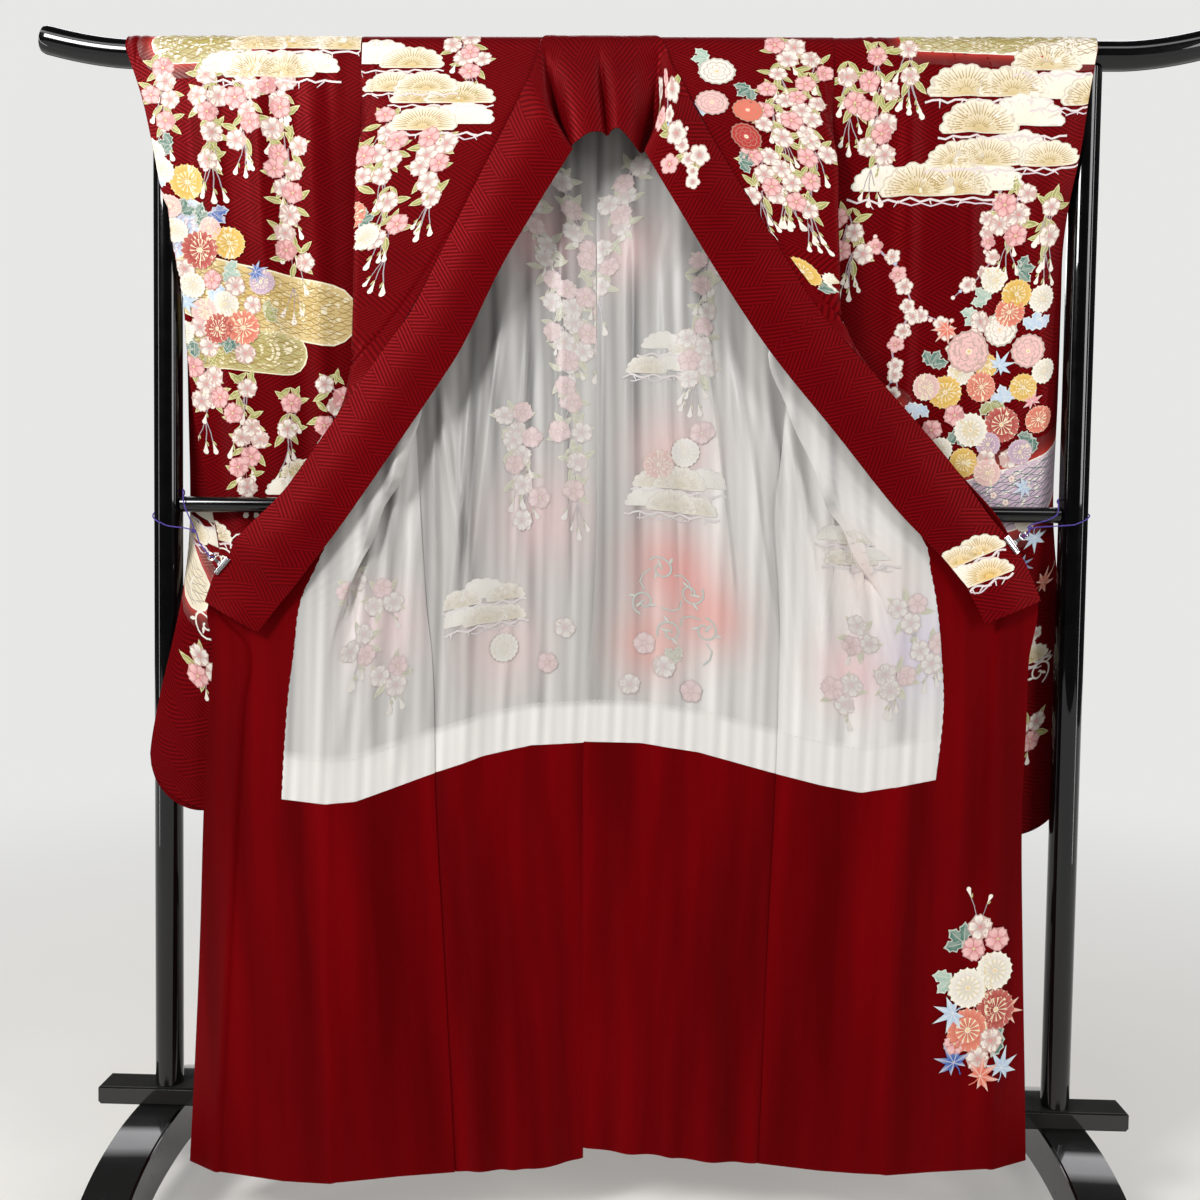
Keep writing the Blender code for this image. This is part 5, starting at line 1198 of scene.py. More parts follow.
class Print:
    """Flat coloured shapes that are laid on a panel, later ones over earlier ones."""

    def __init__(self, panel):
        self.panel = panel
        self.flat, self.colours, self.levels, self.faces = [], [], [], []
        self.count = 0

    def add(self, points, colours, faces, level):
        self.flat.append(np.asarray(points, float))
        self.colours.append(np.asarray(colours, float))
        self.levels.append(np.full(len(points), float(level)))
        self.faces.append(np.asarray(faces, int) + self.count)
        self.count += len(points)

    def fan(self, centre, rim, inner, outer, level, rings=1):
        """A filled outline; inner is the colour at its centre, outer that of its rim or of each rim point."""
        rim, outer = np.asarray(rim, float), np.asarray(outer, float)
        count = len(rim)
        outer = np.broadcast_to(outer, (count, 3)) if outer.ndim == 1 else outer
        points, colours = [np.asarray([centre], float)], [np.asarray([inner], float)]
        for share in np.arange(1, rings + 1) / rings:
            points.append(points[0] + (rim - points[0]) * share)
            colours.append(colours[0] + (outer - colours[0]) * share)
        here = np.arange(count)
        faces = [np.column_stack([np.zeros(count, int), 1 + here, 1 + np.roll(here, -1)])]
        for ring in range(1, rings):
            faces += ring_faces(count, 1 + (ring - 1) * count, 1 + ring * count)
        self.add(np.concatenate(points), np.concatenate(colours), np.concatenate(faces), level)

    def strip(self, line, width, colour, level, taper=False):
        """A line of even or tapering width."""
        line = np.asarray(line, float)
        step = np.gradient(line, axis=0)
        step /= np.maximum(np.linalg.norm(step, axis=1, keepdims=True), 1e-9)
        side = np.column_stack([-step[:, 1], step[:, 0]]) * width / 2
        if taper:
            side *= np.linspace(1.0, 0.35, len(line))[:, None]
        n = len(line)
        k = np.arange(n - 1)
        halves = (k, k + 1, n + k + 1), (k, n + k + 1, n + k)
        faces = np.concatenate([np.column_stack(corners) for corners in halves])
        colours = np.broadcast_to(np.asarray(colour, float), (2 * n, 3))
        self.add(np.concatenate([line + side, line - side]), colours, faces, level)

    def halo(self, rings, colours, level):
        """Closed rings of one colour each, with the colour running from one to the next."""
        count, faces = len(rings[0]), []
        for ring in range(len(rings) - 1):
            faces += ring_faces(count, ring * count, (ring + 1) * count)
        self.add(np.concatenate(rings), np.repeat(colours, count, axis=0), np.concatenate(faces), level)

    def on_cloth(self, corners):
        return self.panel.place(corners[..., :2].reshape(-1, 2))[0].reshape(-1, 3, 3)

    def too_coarse(self, corners, middles):
        """Which triangles are too long, or leave the cloth between their corners."""
        span = np.linalg.norm(corners[..., :2] - np.roll(corners, -1, axis=1)[..., :2], axis=2).max(axis=1)
        ends = self.on_cloth(corners)
        between_ends = (ends + np.roll(ends, -1, axis=1)) / 2
        off = np.linalg.norm(self.on_cloth(middles) - between_ends, axis=2).max(axis=1)
        return ((off > FOLLOW) & (span > SMALLEST)) | (span > LONGEST)

    def triangles(self):
        """Every triangle's flat corners, colours and level, split until it follows the cloth."""
        flat = self.panel.held(np.concatenate(self.flat))
        colours, levels = np.concatenate(self.colours), np.concatenate(self.levels)
        corners = np.column_stack([flat, colours, levels])[np.concatenate(self.faces)]
        done = []
        for _ in range(MOST_SPLITS):
            a, b, c = (corners[:, k, :2] for k in range(3))
            corners = corners[np.abs(np.cross(b - a, c - a)) > LEAST_AREA]
            middles = (corners + np.roll(corners, -1, axis=1)) / 2
            split = self.too_coarse(corners, middles)
            done.append(corners[~split])
            parts, mid = corners[split], middles[split]
            ends = [np.stack([parts[:, k], mid[:, k], mid[:, k - 1]], axis=1) for k in range(3)]
            corners = np.concatenate([*ends, mid])
        return np.concatenate([*done, corners])

    def overturn(self):
        """Turns what is laid so far to the back, whose depths below the shoulder are negative."""
        self.flat = [flat * (1.0, -1.0) for flat in self.flat]

    def soften(self, veil, share):
        """Each colour seen through a sheer cloth."""
        self.colours = [np.array(veil) * (1 - share) + colours * share for colours in self.colours]

    def build(self, name, finish, slot):
        """The print as one piece on its cloth."""
        each = self.triangles().reshape(-1, 6)
        points, facing = self.panel.place(each[:, :2])
        points = points + facing * (PROUD + LAYER * each[:, 5])[:, None]
        faces = np.arange(len(each)).reshape(-1, 3)
        a, b, c = (points[faces[:, k]] for k in range(3))
        wrong = (np.cross(b - a, c - a) * facing[faces[:, 0]]).sum(axis=1) < 0
        faces[wrong] = faces[wrong][:, ::-1]
        mesh = bpy.data.meshes.new(name)
        mesh.from_pydata(points.tolist(), [], faces.tolist())
        set_uv(mesh, each[:, :2])
        set_paint(mesh, each[:, 2:5])
        mesh.shade_smooth()
        mesh.normals_split_custom_set_from_vertices(facing.tolist())
        return finished(linked(name, mesh), finish, slot)


def mirrored(*half):
    """An outline from its base to its tip along +X, with its other side."""
    return [*half, *((x, -y) for x, y in reversed(half) if y)]


# Shapes of unit length, along +X from their base
NOTCHED_PETAL = [(0.0, 0.0), (0.22, 0.20), (0.50, 0.36), (0.80, 0.36), (0.98, 0.20), (0.90, 0.02),
                 (1.0, -0.18), (0.82, -0.36), (0.50, -0.36), (0.22, -0.20)]
RUFFLED_PETAL = [(0.0, 0.0), (0.25, 0.28), (0.55, 0.42), (0.85, 0.38), (0.98, 0.20), (0.92, 0.04),
                 (1.0, -0.16), (0.85, -0.38), (0.55, -0.42), (0.25, -0.28)]
ROUND_PETAL = mirrored((0.05, 0.0), (0.20, 0.30), (0.50, 0.46), (0.82, 0.36), (1.0, 0.0))
LONG_PETAL = mirrored((0.05, 0.0), (0.45, 0.085), (0.86, 0.145), (1.0, 0.0))
LEAF_SHAPE = mirrored((0.0, 0.0), (0.22, 0.13), (0.50, 0.18), (0.78, 0.11), (1.0, 0.0))
LOBED_LEAF = mirrored((0.0, 0.0), (0.10, 0.22), (0.30, 0.20), (0.40, 0.36), (0.60, 0.24), (0.74, 0.28),
                      (0.84, 0.12), (1.0, 0.0))
DROP = mirrored((0.0, 0.0), (0.5, 0.10), (0.82, 0.20), (0.97, 0.12), (1.0, 0.0))
STAMEN = [(0.12, -0.012), (0.46, 0.0), (0.12, 0.012)]
MAPLE_POINTS = (0.55, 0.78, 0.92, 1.0, 0.92, 0.78, 0.55)

# A petal's face: where its tone starts, how much of its outline it fills, how far its tone runs and its
# middle's tone
SHADE_FROM = 0.25
RING_FACE = {"fill": 0.88, "run": 0.5, "heart": 0.65}
BLOSSOM_FACE = {"fill": 0.86, "run": 0.4, "heart": 0.75}


def petal_face(art, whole, kept, place, size, near, tip, level, fill, run, heart):
    """A petal within its outline, shaded from the flower's middle to its tip."""
    middle = whole.mean(axis=0)
    inside = (middle + (whole - middle) * fill)[kept]
    reach = np.linalg.norm(inside - place, axis=1) / size
    colours = [blend_colour(near, tip, min(max((r - SHADE_FROM) / run, 0.0), 1.0)) for r in reach]
    art.fan(middle, inside, blend_colour(near, tip, heart), colours, level)


def petals(art, place, size, count, shape, near, tip, line, level, turn=0.0, thin=0.90):
    """A ring of outlined petals."""
    for petal in range(count):
        angle = turn + 2 * pi * petal / count
        outline = turned(shape, angle, size, place)
        art.fan(outline.mean(axis=0), outline, line, line, level)
        whole = turned(shape, angle, size * thin, place)
        petal_face(art, whole, slice(None), place, size, near, tip, level + 1, **RING_FACE)


def disc(art, place, radius, colour, level, sides=9, rim=None):
    ring = [(place[0] + radius * cos(2 * pi * k / sides), place[1] + radius * sin(2 * pi * k / sides))
            for k in range(sides)]
    art.fan(place, ring, colour, colour if rim is None else rim, level)


def blossom(art, place, size, turn, pink, level=6, shape=NOTCHED_PETAL):
    """A five-petalled flower on its own outline, with its stamens."""
    near, tip = (PINK, BLUSH) if pink else (FLOWER_SHADE, WHITE)
    line = blend_colour(PINK, INK, 0.35) if pink else blend_colour(INK, BLUSH, 0.5)
    half = len(shape) // 2
    tips, kept = [shape[k] for k in range(half + 2, half - 3, -1)], [0, *range(2, len(shape) - 1)]
    angles = [turn + 2 * pi * petal / 5 for petal in range(5)]
    art.fan(place, np.concatenate([turned(tips, angle, size, place) for angle in angles]), line, line, level)
    for angle in angles:
        whole = turned(shape, angle, size * 0.95, place)
        petal_face(art, whole, kept, place, size, near, tip, level + 1, **BLOSSOM_FACE)
        stamen = turned(STAMEN, angle + pi / 5, size, place)
        art.add(stamen, [RED if pink else YELLOW] * 3, [(0, 1, 2)], level + 2)
    disc(art, place, size * 0.12, LEAF_PALE if pink else PINK, level + 3, 6)


def leaf(art, place, size, angle, level=3, dark=LEAF, pale=LEAF_PALE, shape=LEAF_SHAPE):
    """A pale-edged leaf with a darker side and a vein."""
    outline = turned(shape, angle, size, place)
    middle, half = outline.mean(axis=0), len(shape) // 2
    art.fan(middle, outline, pale, pale, level)
    light = blend_colour(dark, pale, 0.40)
    colours = [light if 0 < k < half else dark for k in range(len(shape))]
    art.fan(middle, middle + (outline - middle) * 0.80, light, colours, level + 1)
    art.strip([place, middle, outline[half]], size * 0.045, pale, level + 2, taper=True)


def bud(art, place, size, angle, level=4, colour=WHITE):
    """A hanging bud on its thread."""
    thread = turned([(0, 0), (0.5, 0.03), (0.8, 0.0)], angle, size, place)
    art.strip(thread, size * 0.035, STEM, level)
    outline = turned(DROP, angle, size * 0.5, thread[-1])
    art.fan(outline.mean(axis=0), outline, colour, blend_colour(colour, BLUSH, 0.25), level + 1)
    leaf(art, thread[-1], size * 0.22, angle + 0.5, level + 2)


def cluster(art, place, size, seed, flowers=4, level=6):
    """A few cherry blossoms with leaves about them and buds that hang below."""
    rng = np.random.default_rng(seed)
    start, many = rng.uniform(0, 2 * pi), flowers > 1
    for step in range(5 if many else 3):
        angle = start + 2 * pi * step / 5 + rng.uniform(-0.3, 0.3)
        reach = size * (0.9 if many else 0.35) * 0.5
        root = (place[0] + reach * cos(angle), place[1] + reach * sin(angle))
        leaf(art, root, size * rng.uniform(1.35, 1.75), angle, level - 3)
    for _ in range(int(rng.integers(1, 4))):
        bud(art, place, size * rng.uniform(1.9, 2.6), pi / 2 + rng.uniform(-0.4, 0.4), level - 2)
    for which in range(flowers):
        angle = start + 2 * pi * which / max(flowers, 2) + rng.uniform(-0.2, 0.2)
        reach = size * 0.92 if many else 0.0
        spot = (place[0] + reach * cos(angle), place[1] + reach * sin(angle))
        pink = which == 1 or (not many and rng.random() < 0.3)
        blossom(art, spot, size * rng.uniform(0.80, 0.98), rng.uniform(0, 6), pink, level + 4 * (which % 2))


def strand(art, line, size, seed, every=0.039):
    """A weeping cherry branch: a stem with pairs of leaves, and blossoms and buds in groups along it."""
    rng = np.random.default_rng(seed)
    line = np.asarray(line, float)
    run = lengths(line)
    fine = along(line, np.linspace(0, run[-1], max(int(run[-1] / 0.009), 3)))
    fine[:, 0] += 0.0025 * np.sin(np.linspace(0, 3 * pi, len(fine)) + seed)
    art.strip(fine, 0.0019, STEM, 1, taper=True)
    reach, side = every * 0.4, 1
    while reach < run[-1]:
        spot = along(fine, np.array([reach]))[0]
        side = -side
        for turn in (0.75, -0.75):
            leaf(art, spot - (0.0, size * 1.3), size * rng.uniform(1.1, 1.4), pi / 2 + turn, 3)
        spot = spot + np.array([side * rng.uniform(0.0, 0.35) * size, 0.0])
        cluster(art, spot, size, int(rng.integers(1, 9999)), int(rng.choice([1, 1, 2, 2, 3])))
        reach += every * rng.uniform(0.85, 1.2)
    for turn in (-0.35, 0.0, 0.3):
        bud(art, fine[-1], size * rng.uniform(1.8, 2.6), pi / 2 + turn)


def rays(art, place, size, count, near, tip, level, turn):
    """A ring of long petals, each one kite."""
    for petal in range(count):
        outline = turned(LONG_PETAL, turn + 2 * pi * petal / count, size, place)
        art.fan(outline[2:-1].mean(axis=0), outline, tip, [near, near, tip, tip, tip, near], level)


def chrysanthemum(art, place, size, colour, count=18, level=8, heart=YELLOW, pale=CREAM):
    """A round many-petalled flower in two rings, with pale lines between its petals."""
    tip, near = blend_colour(colour, WHITE, 0.12), blend_colour(colour, (0.0, 0.0, 0.0), 0.25)
    pale = blend_colour(pale, GOLD, 0.4) if colour == WHITE else pale
    disc(art, place, size * 0.93, pale, level, 20)
    rays(art, place, size, count, near, tip, level + 1, 0.1)
    disc(art, place, size * 0.56, pale, level + 2, 14)
    rays(art, place, size * 0.60, max(count - 5, 8), near, tip, level + 3, 0.3)
    disc(art, place, size * 0.13, heart, level + 4, 8, WHITE)


def peony(art, place, size, colour, seed, level=8):
    """A full flower of layered ruffled petals."""
    near, line = blend_colour(colour, PINK, 0.35), blend_colour(INK, colour, 0.45)
    for ring, (share, count) in enumerate(((1.0, 8), (0.74, 6), (0.48, 5))):
        petals(art, place, size * share, count, RUFFLED_PETAL, near, colour, line, level + 2 * ring,
               seed + ring * 0.5, 0.93)
    disc(art, place, size * 0.14, YELLOW, level + 7, 9, WHITE)


def maple(art, place, size, angle, colour, pale, level=7):
    """A maple leaf of seven points."""
    points = []
    for point, long in enumerate(MAPLE_POINTS):
        turn = radians(-138 + 46 * point)
        notch = turn + radians(23)
        points += [(long * cos(turn), long * sin(turn)), (0.36 * cos(notch), 0.36 * sin(notch))]
    points[-1] = (-0.12, 0.0)
    outline = turned(points, angle, size, place)
    art.fan(place, outline, colour, [pale, colour] * len(MAPLE_POINTS), level)
    for tip in outline[::2]:
        art.strip([place, tip * 0.85 + np.array(place) * 0.15], size * 0.03, pale, level + 1)
    stalk = turned([(0, 0), (-0.35, 0.06), (-0.6, 0.0)], angle, size, place)
    art.strip(stalk, size * 0.05, colour, level)


def pine_hump(art, place, radius, level, top, low, stroke=None):
    """One scalloped dome of a pine cloud; with a stroke colour, needles spread over it from its foot."""
    turns = pi * (1.06 - 1.12 * np.arange(25) / 24)
    reach = radius * (0.94 + 0.09 * np.abs(np.sin(pi * np.arange(25) / 3.0)))
    rim = place + np.column_stack([-reach * np.cos(turns), -0.74 * reach * np.sin(turns)])
    foot = np.array([place[0], place[1] + radius * 0.08])
    art.fan(foot, rim, low, blend_colour(top, INK, 0.40), level)
    art.fan(foot, foot + (rim - foot) * 0.955, low, top, level + 1, 2)
    if stroke is None:
        return
    for needle in range(25):
        turn, odd = pi * (1.02 - 1.04 * needle / 24), needle % 2
        aim = np.array([-cos(turn), -0.74 * sin(turn)]) * radius
        ends = [place + (0.44 + 0.06 * odd) * aim, place + (0.84 + 0.05 * odd) * aim]
        art.strip(ends, radius * 0.030, stroke, level + 2, taper=True)
        if odd:
            art.strip([place + 0.14 * aim, place + 0.40 * aim], radius * 0.026, stroke, level + 2, taper=True)


def pine_cloud(art, start, across, size, seed, top=WHITE, low=GOLD, rows=2, level=3):
    """A drifting cloud of pine: domes that run into each other over pale branch strokes."""
    rng = np.random.default_rng(seed)
    for row in range(rows):
        wide = across * (1.0 - 0.28 * abs(row - (rows - 1) / 2))
        count = max(int(round(wide / (size * 0.88))), 2)
        left = start[0] + rng.uniform(0.0, 0.25) * across * (row % 2)
        depth = start[1] + row * size * 0.84
        warm = blend_colour(low, CREAM, rng.uniform(0.0, 0.3))
        for lobe in range(count):
            crown = sin(pi * (lobe + 0.7) / (count + 0.4))
            place = np.array([left + (lobe + 0.5) * wide / count, depth - 0.10 * size * crown])
            radius = size * (0.58 + 0.34 * crown) * rng.uniform(0.94, 1.06)
            lift = level + 3 * row + lobe % 2
            if (lobe + row + seed) % 3 == 0:
                place -= (0.0, 0.16 * size)
                pine_hump(art, place, radius, lift - 1, top, blend_colour(top, CREAM, 0.5))
            else:
                stroke = blend_colour(GOLD_DARK, warm, 0.35)
                pine_hump(art, place, radius, lift + 1, blend_colour(top, CREAM, 0.35), warm, stroke)
        branch_strokes(art, left, left + wide, depth, size, row, level, rng)


def branch_strokes(art, left, right, depth, size, row, level, rng):
    """The pale strokes under a row of pine domes, with twigs that hang from them."""
    strokes = np.linspace(left - size * 0.4, right + size * 0.4, 18)
    foot, over = depth + size * 0.13, level + 3 * row + 4
    wave = foot + 0.0026 * np.sin(strokes * 210 + row)
    pale = blend_colour(WHITE, LILAC, 0.40)
    art.strip(np.column_stack([strokes, wave]), 0.0030, pale, over)
    second = np.column_stack([strokes[4:14] + size * 0.3, wave[4:14] + 0.0056])
    art.strip(second, 0.0020, blend_colour(WHITE, LILAC, 0.6), level - 1)
    for twig in strokes[2:-2:3]:
        tip = (twig + rng.uniform(-0.006, 0.012), foot + rng.uniform(0.006, 0.011))
        art.strip([(twig, foot), tip], 0.0024, pale, over, taper=True)


def spine(points, start, end):
    """The nearest place to each point on the line between two places."""
    way = end - start
    share = np.clip(((points - start) @ way) / max(way @ way, 1e-12), 0, 1)
    return start + share[:, None] * way


def band(art, start, end, radius, colour, rim, level, glow=None):
    """A long drifting shape with round ends, edged with a pale line; glow fades from it into the ground."""
    start, end = np.array(start, float), np.array(end, float)
    slope = np.arctan2(end[1] - start[1], end[0] - start[0])
    turns = slope + np.linspace(-pi / 2, pi / 2, 9)
    cap = radius * np.column_stack([np.cos(turns), np.sin(turns)])
    sides, across = np.linspace(0.1, 0.9, 9)[:, None], radius * np.array([-sin(slope), cos(slope)])
    outline = np.concatenate([end + cap, end + (start - end) * sides + across,
                              start - cap, start + (end - start) * sides - across])
    middle, nearest = (start + end) / 2, spine(outline, start, end)
    out = outline - nearest
    if glow is not None:
        art.halo([outline + out * (share - 0.04) for share in GLOW_REACH],
                 [blend_colour(glow, GROUND, share) for share in GLOW_FADE], level - 2)
    art.fan(middle, outline, rim, rim, level, 3)
    art.fan(middle, nearest + out * 0.95, colour, blend_colour(colour, rim, 0.25), level + 1, 4)


def waves(art, start, end, radius, colour, level, pitch=0.0042, lift=0.0016):
    """Running water: rows of wavy lines within a drifting shape."""
    start, end = np.array(start, float), np.array(end, float)
    count = max(int((end[0] - start[0] + 2 * radius) / 0.0035), 4)
    across = np.linspace(start[0] - radius, end[0] + radius, count)
    middle = np.interp(across, [start[0], end[0]], [start[1], end[1]])
    for row in np.arange(-radius + pitch * 0.6, radius, pitch):
        ripple = lift * (np.sin(across * 330 + row * 900) + 0.6 * np.sin(across * 130 + row * 400))
        points = np.column_stack([across, middle + row + ripple])
        inside = np.linalg.norm(points - spine(points, start, end), axis=1) < radius * 0.90
        crossings = np.where(inside[1:] != inside[:-1])[0] + 1
        for part in np.split(np.arange(len(points)), crossings):
            if len(part) > 2 and inside[part[0]]:
                art.strip(points[part], 0.0009, colour, level)


def scroll(art, place, size, angle, colour, level=5):
    """A curling vine with small leaves."""
    def curl(t):
        return (0.055 * t * cos(t), 0.055 * t * sin(t))

    line = [curl(t) for t in np.linspace(0.3, 3 * pi, 26)]
    art.strip(turned(line, angle, size, place), size * 0.07, colour, level)
    tail = turned([(0.5, 0.1), (0.75, 0.35), (1.1, 0.3), (1.4, 0.05)], angle, size, place)
    art.strip(tail, size * 0.06, colour, level)
    for t in (2.0, 4.5, 7.5):
        spot = turned([curl(t)], angle, size, place)[0]
        leaf(art, spot, size * 0.3, angle + t + 0.6, level, colour, WHITE)


def branch(art, line, size, seed, level=4):
    """A plum branch: angular wood with round blossoms and buds."""
    rng = np.random.default_rng(seed)
    line = np.asarray(line, float)
    art.strip(line, 0.0034, blend_colour(STEM, LILAC, 0.4), level - 2, taper=True)
    for place in np.arange(0.012, lengths(line)[-1] + 0.01, size * 1.9):
        spot = along(line, np.array([place]))[0] + rng.uniform(-0.5, 0.5, 2) * size
        wide, turn, pink = size * rng.uniform(0.85, 1.05), rng.uniform(0, 6), rng.random() < 0.3
        blossom(art, spot, wide, turn, pink, level, ROUND_PETAL)
        if rng.random() < 0.6:
            twig = spot + rng.uniform(-1.6, 1.6, 2) * size
            art.strip([spot, twig], 0.0014, STEM, level - 1)
            disc(art, twig, size * 0.26, WHITE, level, 8, BLUSH)
            disc(art, (spot + twig) / 2, size * 0.2, BLUE_PALE, level, 7)


def bouquet(art, items, level=12):
    """Flowers and leaves, each a kind, its place and size in millimetres, and its colour."""
    for step, (kind, u, v, size, colour) in enumerate(items):
        place, size, lift = at(u, v), size / 1000, level + 6 * (step % 3)
        if kind == "mum":
            chrysanthemum(art, place, size, colour, 18 if size > 0.015 else 14, lift)
        elif kind == "peony":
            peony(art, place, size, colour, u, lift)
        elif kind == "maple":
            maple(art, place, size, u * 0.37, colour, blend_colour(colour, WHITE, 0.6), lift)
        elif kind == "cherry":
            blossom(art, place, size, u, colour == PINK, lift)
        else:
            pale = blend_colour(colour, WHITE, 0.55)
            for turn in (-0.9, 0.0, 0.9):
                leaf(art, place, size, u + turn, level - 2, colour, pale, LOBED_LEAF)


# The sheer lining's doubled hem, its folds' ends, and where the print's colour glows through it:
# across, down, radius and tint
LINING_HEM, LINING_FOLD_ENDS = 0.060, 0.3
LINING_TONE, DOUBLED_TONE, GLOW_SHARE = (1.0, 0.97, 0.925), 0.62, 0.55
LINING_GLOWS = {
    "left": [(215, -300, 60, (0.60, 0.36, 0.36)), (180, -720, 70, (0.58, 0.38, 0.37)),
             (60, 940, 60, (0.62, 0.44, 0.44)), (110, -900, 60, (0.60, 0.42, 0.40))],
    "right": [(150, -790, 62, (0.62, 0.16, 0.13)), (100, -850, 50, (0.62, 0.20, 0.16)),
              (190, -900, 52, (0.60, 0.22, 0.18)), (160, -620, 56, (0.60, 0.36, 0.34)),
              (130, 830, 66, (0.62, 0.48, 0.43)), (200, 960, 60, (0.48, 0.42, 0.56)),
              (100, 980, 50, (0.64, 0.36, 0.36)), (260, -330, 50, (0.60, 0.40, 0.38))],
}
COLLAR_TURN = 0.004

# The camera, and the light it sees
CAMERA_PLACE = (0.0288, -1.744, 0.972)
CAMERA_YAW, CAMERA_PITCH, CAMERA_ROLL = 1.6486, -2.562, 0.7967
CAMERA_LENS = 36.09
FLOOR_HALF = 6.0
BACKDROP_LIGHT = (0.32, 0.32, 0.32)
BACKDROP_IN_GLOSS = (0.035, 0.035, 0.035)
CEILING_IN_GLOSS = (4.0, 4.0, 4.1)
CEILING_EDGES = ((0.58, 0.63), (0.80, 0.74))
SOFTBOXES = [
    ("key_left", (-1.9, -2.2, 2.6), (-0.1, 0.0, 0.9), (0.8, 1.0), 92),
    ("fill_right", (2.2, -2.0, 1.9), (0.1, 0.0, 0.9), (0.8, 1.6), 33),
    ("strip_left", (-2.4, -0.9, 1.2), (-0.5, 0.0, 0.9), (0.14, 2.4), 9),
    ("strip_right", (2.4, -0.9, 1.2), (0.5, 0.0, 0.9), (0.14, 2.4), 9),
    ("behind", (0.3, 2.4, 2.4), (0.0, 0.0, 0.9), (1.6, 1.2), 30),
]


def surface(points, facing, across, down, **more):
    """What a print needs to know of the cloth it lies on."""
    return {"points": points, "facing": facing, "across": across, "down": down, **more}


def build_body(side, silk_finish, lining_finish, skirt_finish):
    """A body half, its overlap panel and their linings, each a closed wall beside one shared surface."""
    outward = 1.0 if side == "left" else -1.0
    points, across, skirt, front = body_rows(side)
    facing, down = normals(points, outward), from_crest(points)
    edge = across.max(axis=1, keepdims=True) - across
    seam = np.where((down > 0)[:, None], SEAM_SINK / 2 * bump(edge, SEAM_SPREAD), 0.0)
    piece = wall(f"silk_body_{side}", points, facing, HALF_GAP + CLOTH - seam, HALF_GAP - seam, across, down,
                 shown="outer")
    finished(piece, silk_finish, "crimson_silk", f"body_{side}")
    overlap_lining = build_okumi(side, outward, silk_finish, skirt_finish)
    upper = slice(skirt, front + 1)
    proud = lining_relief(side, points[upper])
    paint = lining_paint(side, points[upper], across[upper], down[upper])
    piece = wall(f"sheer_lining_{side}", points[upper], facing[upper], -HALF_GAP, -HALF_GAP - CLOTH - proud,
                 across[upper], down[upper], paint, shown="inner")
    finished(piece, lining_finish, "white_lining", f"lining_{side}")
    for name, rows in (("back", slice(0, skirt + 1)), ("front", slice(front, len(points)))):
        piece = wall(f"plain_skirt_lining_{name}_{side}", points[rows], facing[rows], -HALF_GAP,
                     -HALF_GAP - CLOTH, across[rows], down[rows], shown="inner")
        finished(piece, skirt_finish, "crimson_lining", f"skirt_lining_{name}_{side}")
    stood_in = facing[upper] * (HALF_GAP + CLOTH + proud)[..., None]
    return {
        "body": surface(points, facing, across, down),
        "lining": surface(points[upper] - stood_in, -facing[upper], across[upper], down[upper]),
        "okumi_lining": overlap_lining,
    }


def build_okumi(side, outward, silk_finish, lining_finish):
    """An overlap panel and its plain lining, whose surface is given back."""
    points, across = okumi_rows(side)
    facing, down = normals(points, outward), BAR_Z + OVER_BAR * 0.57 - points[:, 0, 2]
    panel = wall(f"silk_okumi_{side}", points, facing, HALF_GAP + CLOTH, HALF_GAP, across, down,
                 shown="outer")
    finished(panel, silk_finish, "crimson_silk", f"okumi_{side}")
    lining = wall(f"plain_okumi_lining_{side}", points, facing, -HALF_GAP, -HALF_GAP - CLOTH, across, down,
                  shown="inner")
    finished(lining, lining_finish, "crimson_lining", f"okumi_lining_{side}")
    return surface(points, -facing, across, down)


def lining_relief(side, points):
    """How far the loose sheer lining stands in from the silk."""
    return ridges(LINING_FOLDS[side], points[..., 0], points[..., 2], LINING_FOLD_ENDS)


def lining_paint(side, points, across, down):
    """The sheer lining's tone: grey where the red lies close behind it, whiter where it is doubled; its
    streaks are painted fold shade and highlight.
    """
    x, z = points[..., 0], points[..., 2]
    # Painted fold shade and highlight as broad and fine streaks; the fine ones also run on over the doubled
    # hem
    painted_fold_streaks = np.sin(x * 95 + 1.3 * np.sin(z * 4 + x * 30)) * np.sin(x * 37 + z * 3)
    fine = np.sin(x * 310 + 2.0 * np.sin(z * 5)) * np.sin(x * 61 + z * 2)
    close = np.clip((1.35 - z) / 0.55, 0, 1)
    fronts = np.clip(down / 0.2, 0, 1)[:, None]
    rightward = np.clip((x - 0.02) / 0.12, 0, 1)
    tone = 0.28 + 0.14 * close + 0.11 * painted_fold_streaks + 0.07 * fine + 0.04 * fronts + 0.12 * rightward
    hem = np.minimum(down - down[0], down[-1] - down)[:, None]
    doubled = np.clip((LINING_HEM - hem) / 0.004, 0, 1)
    tone = tone + (DOUBLED_TONE + 0.07 * fine - tone) * doubled
    colour = tone[..., None] * np.array(LINING_TONE)
    for u, v, radius, tint in LINING_GLOWS[side]:
        reach = np.hypot(across - u / 1000, down[:, None] - v / 1000) / (radius / 1000)
        share = (GLOW_SHARE * np.exp(-(reach**2)) * (1 - 0.7 * doubled))[..., None]
        colour = colour * (1 - share) + np.array(tint) * share
    return colour


def build_sleeve(side, finish):
    points, across = sleeve_rows(side)
    facing, down = normals(points, -1.0 if side == "left" else 1.0), -from_crest(points)
    piece = wall(f"silk_sleeve_{side}", points, facing, CLOTH / 2, -CLOTH / 2, across, down)
    finished(piece, finish, "crimson_silk", f"sleeve_{side}")
    return surface(points, facing, across, down)


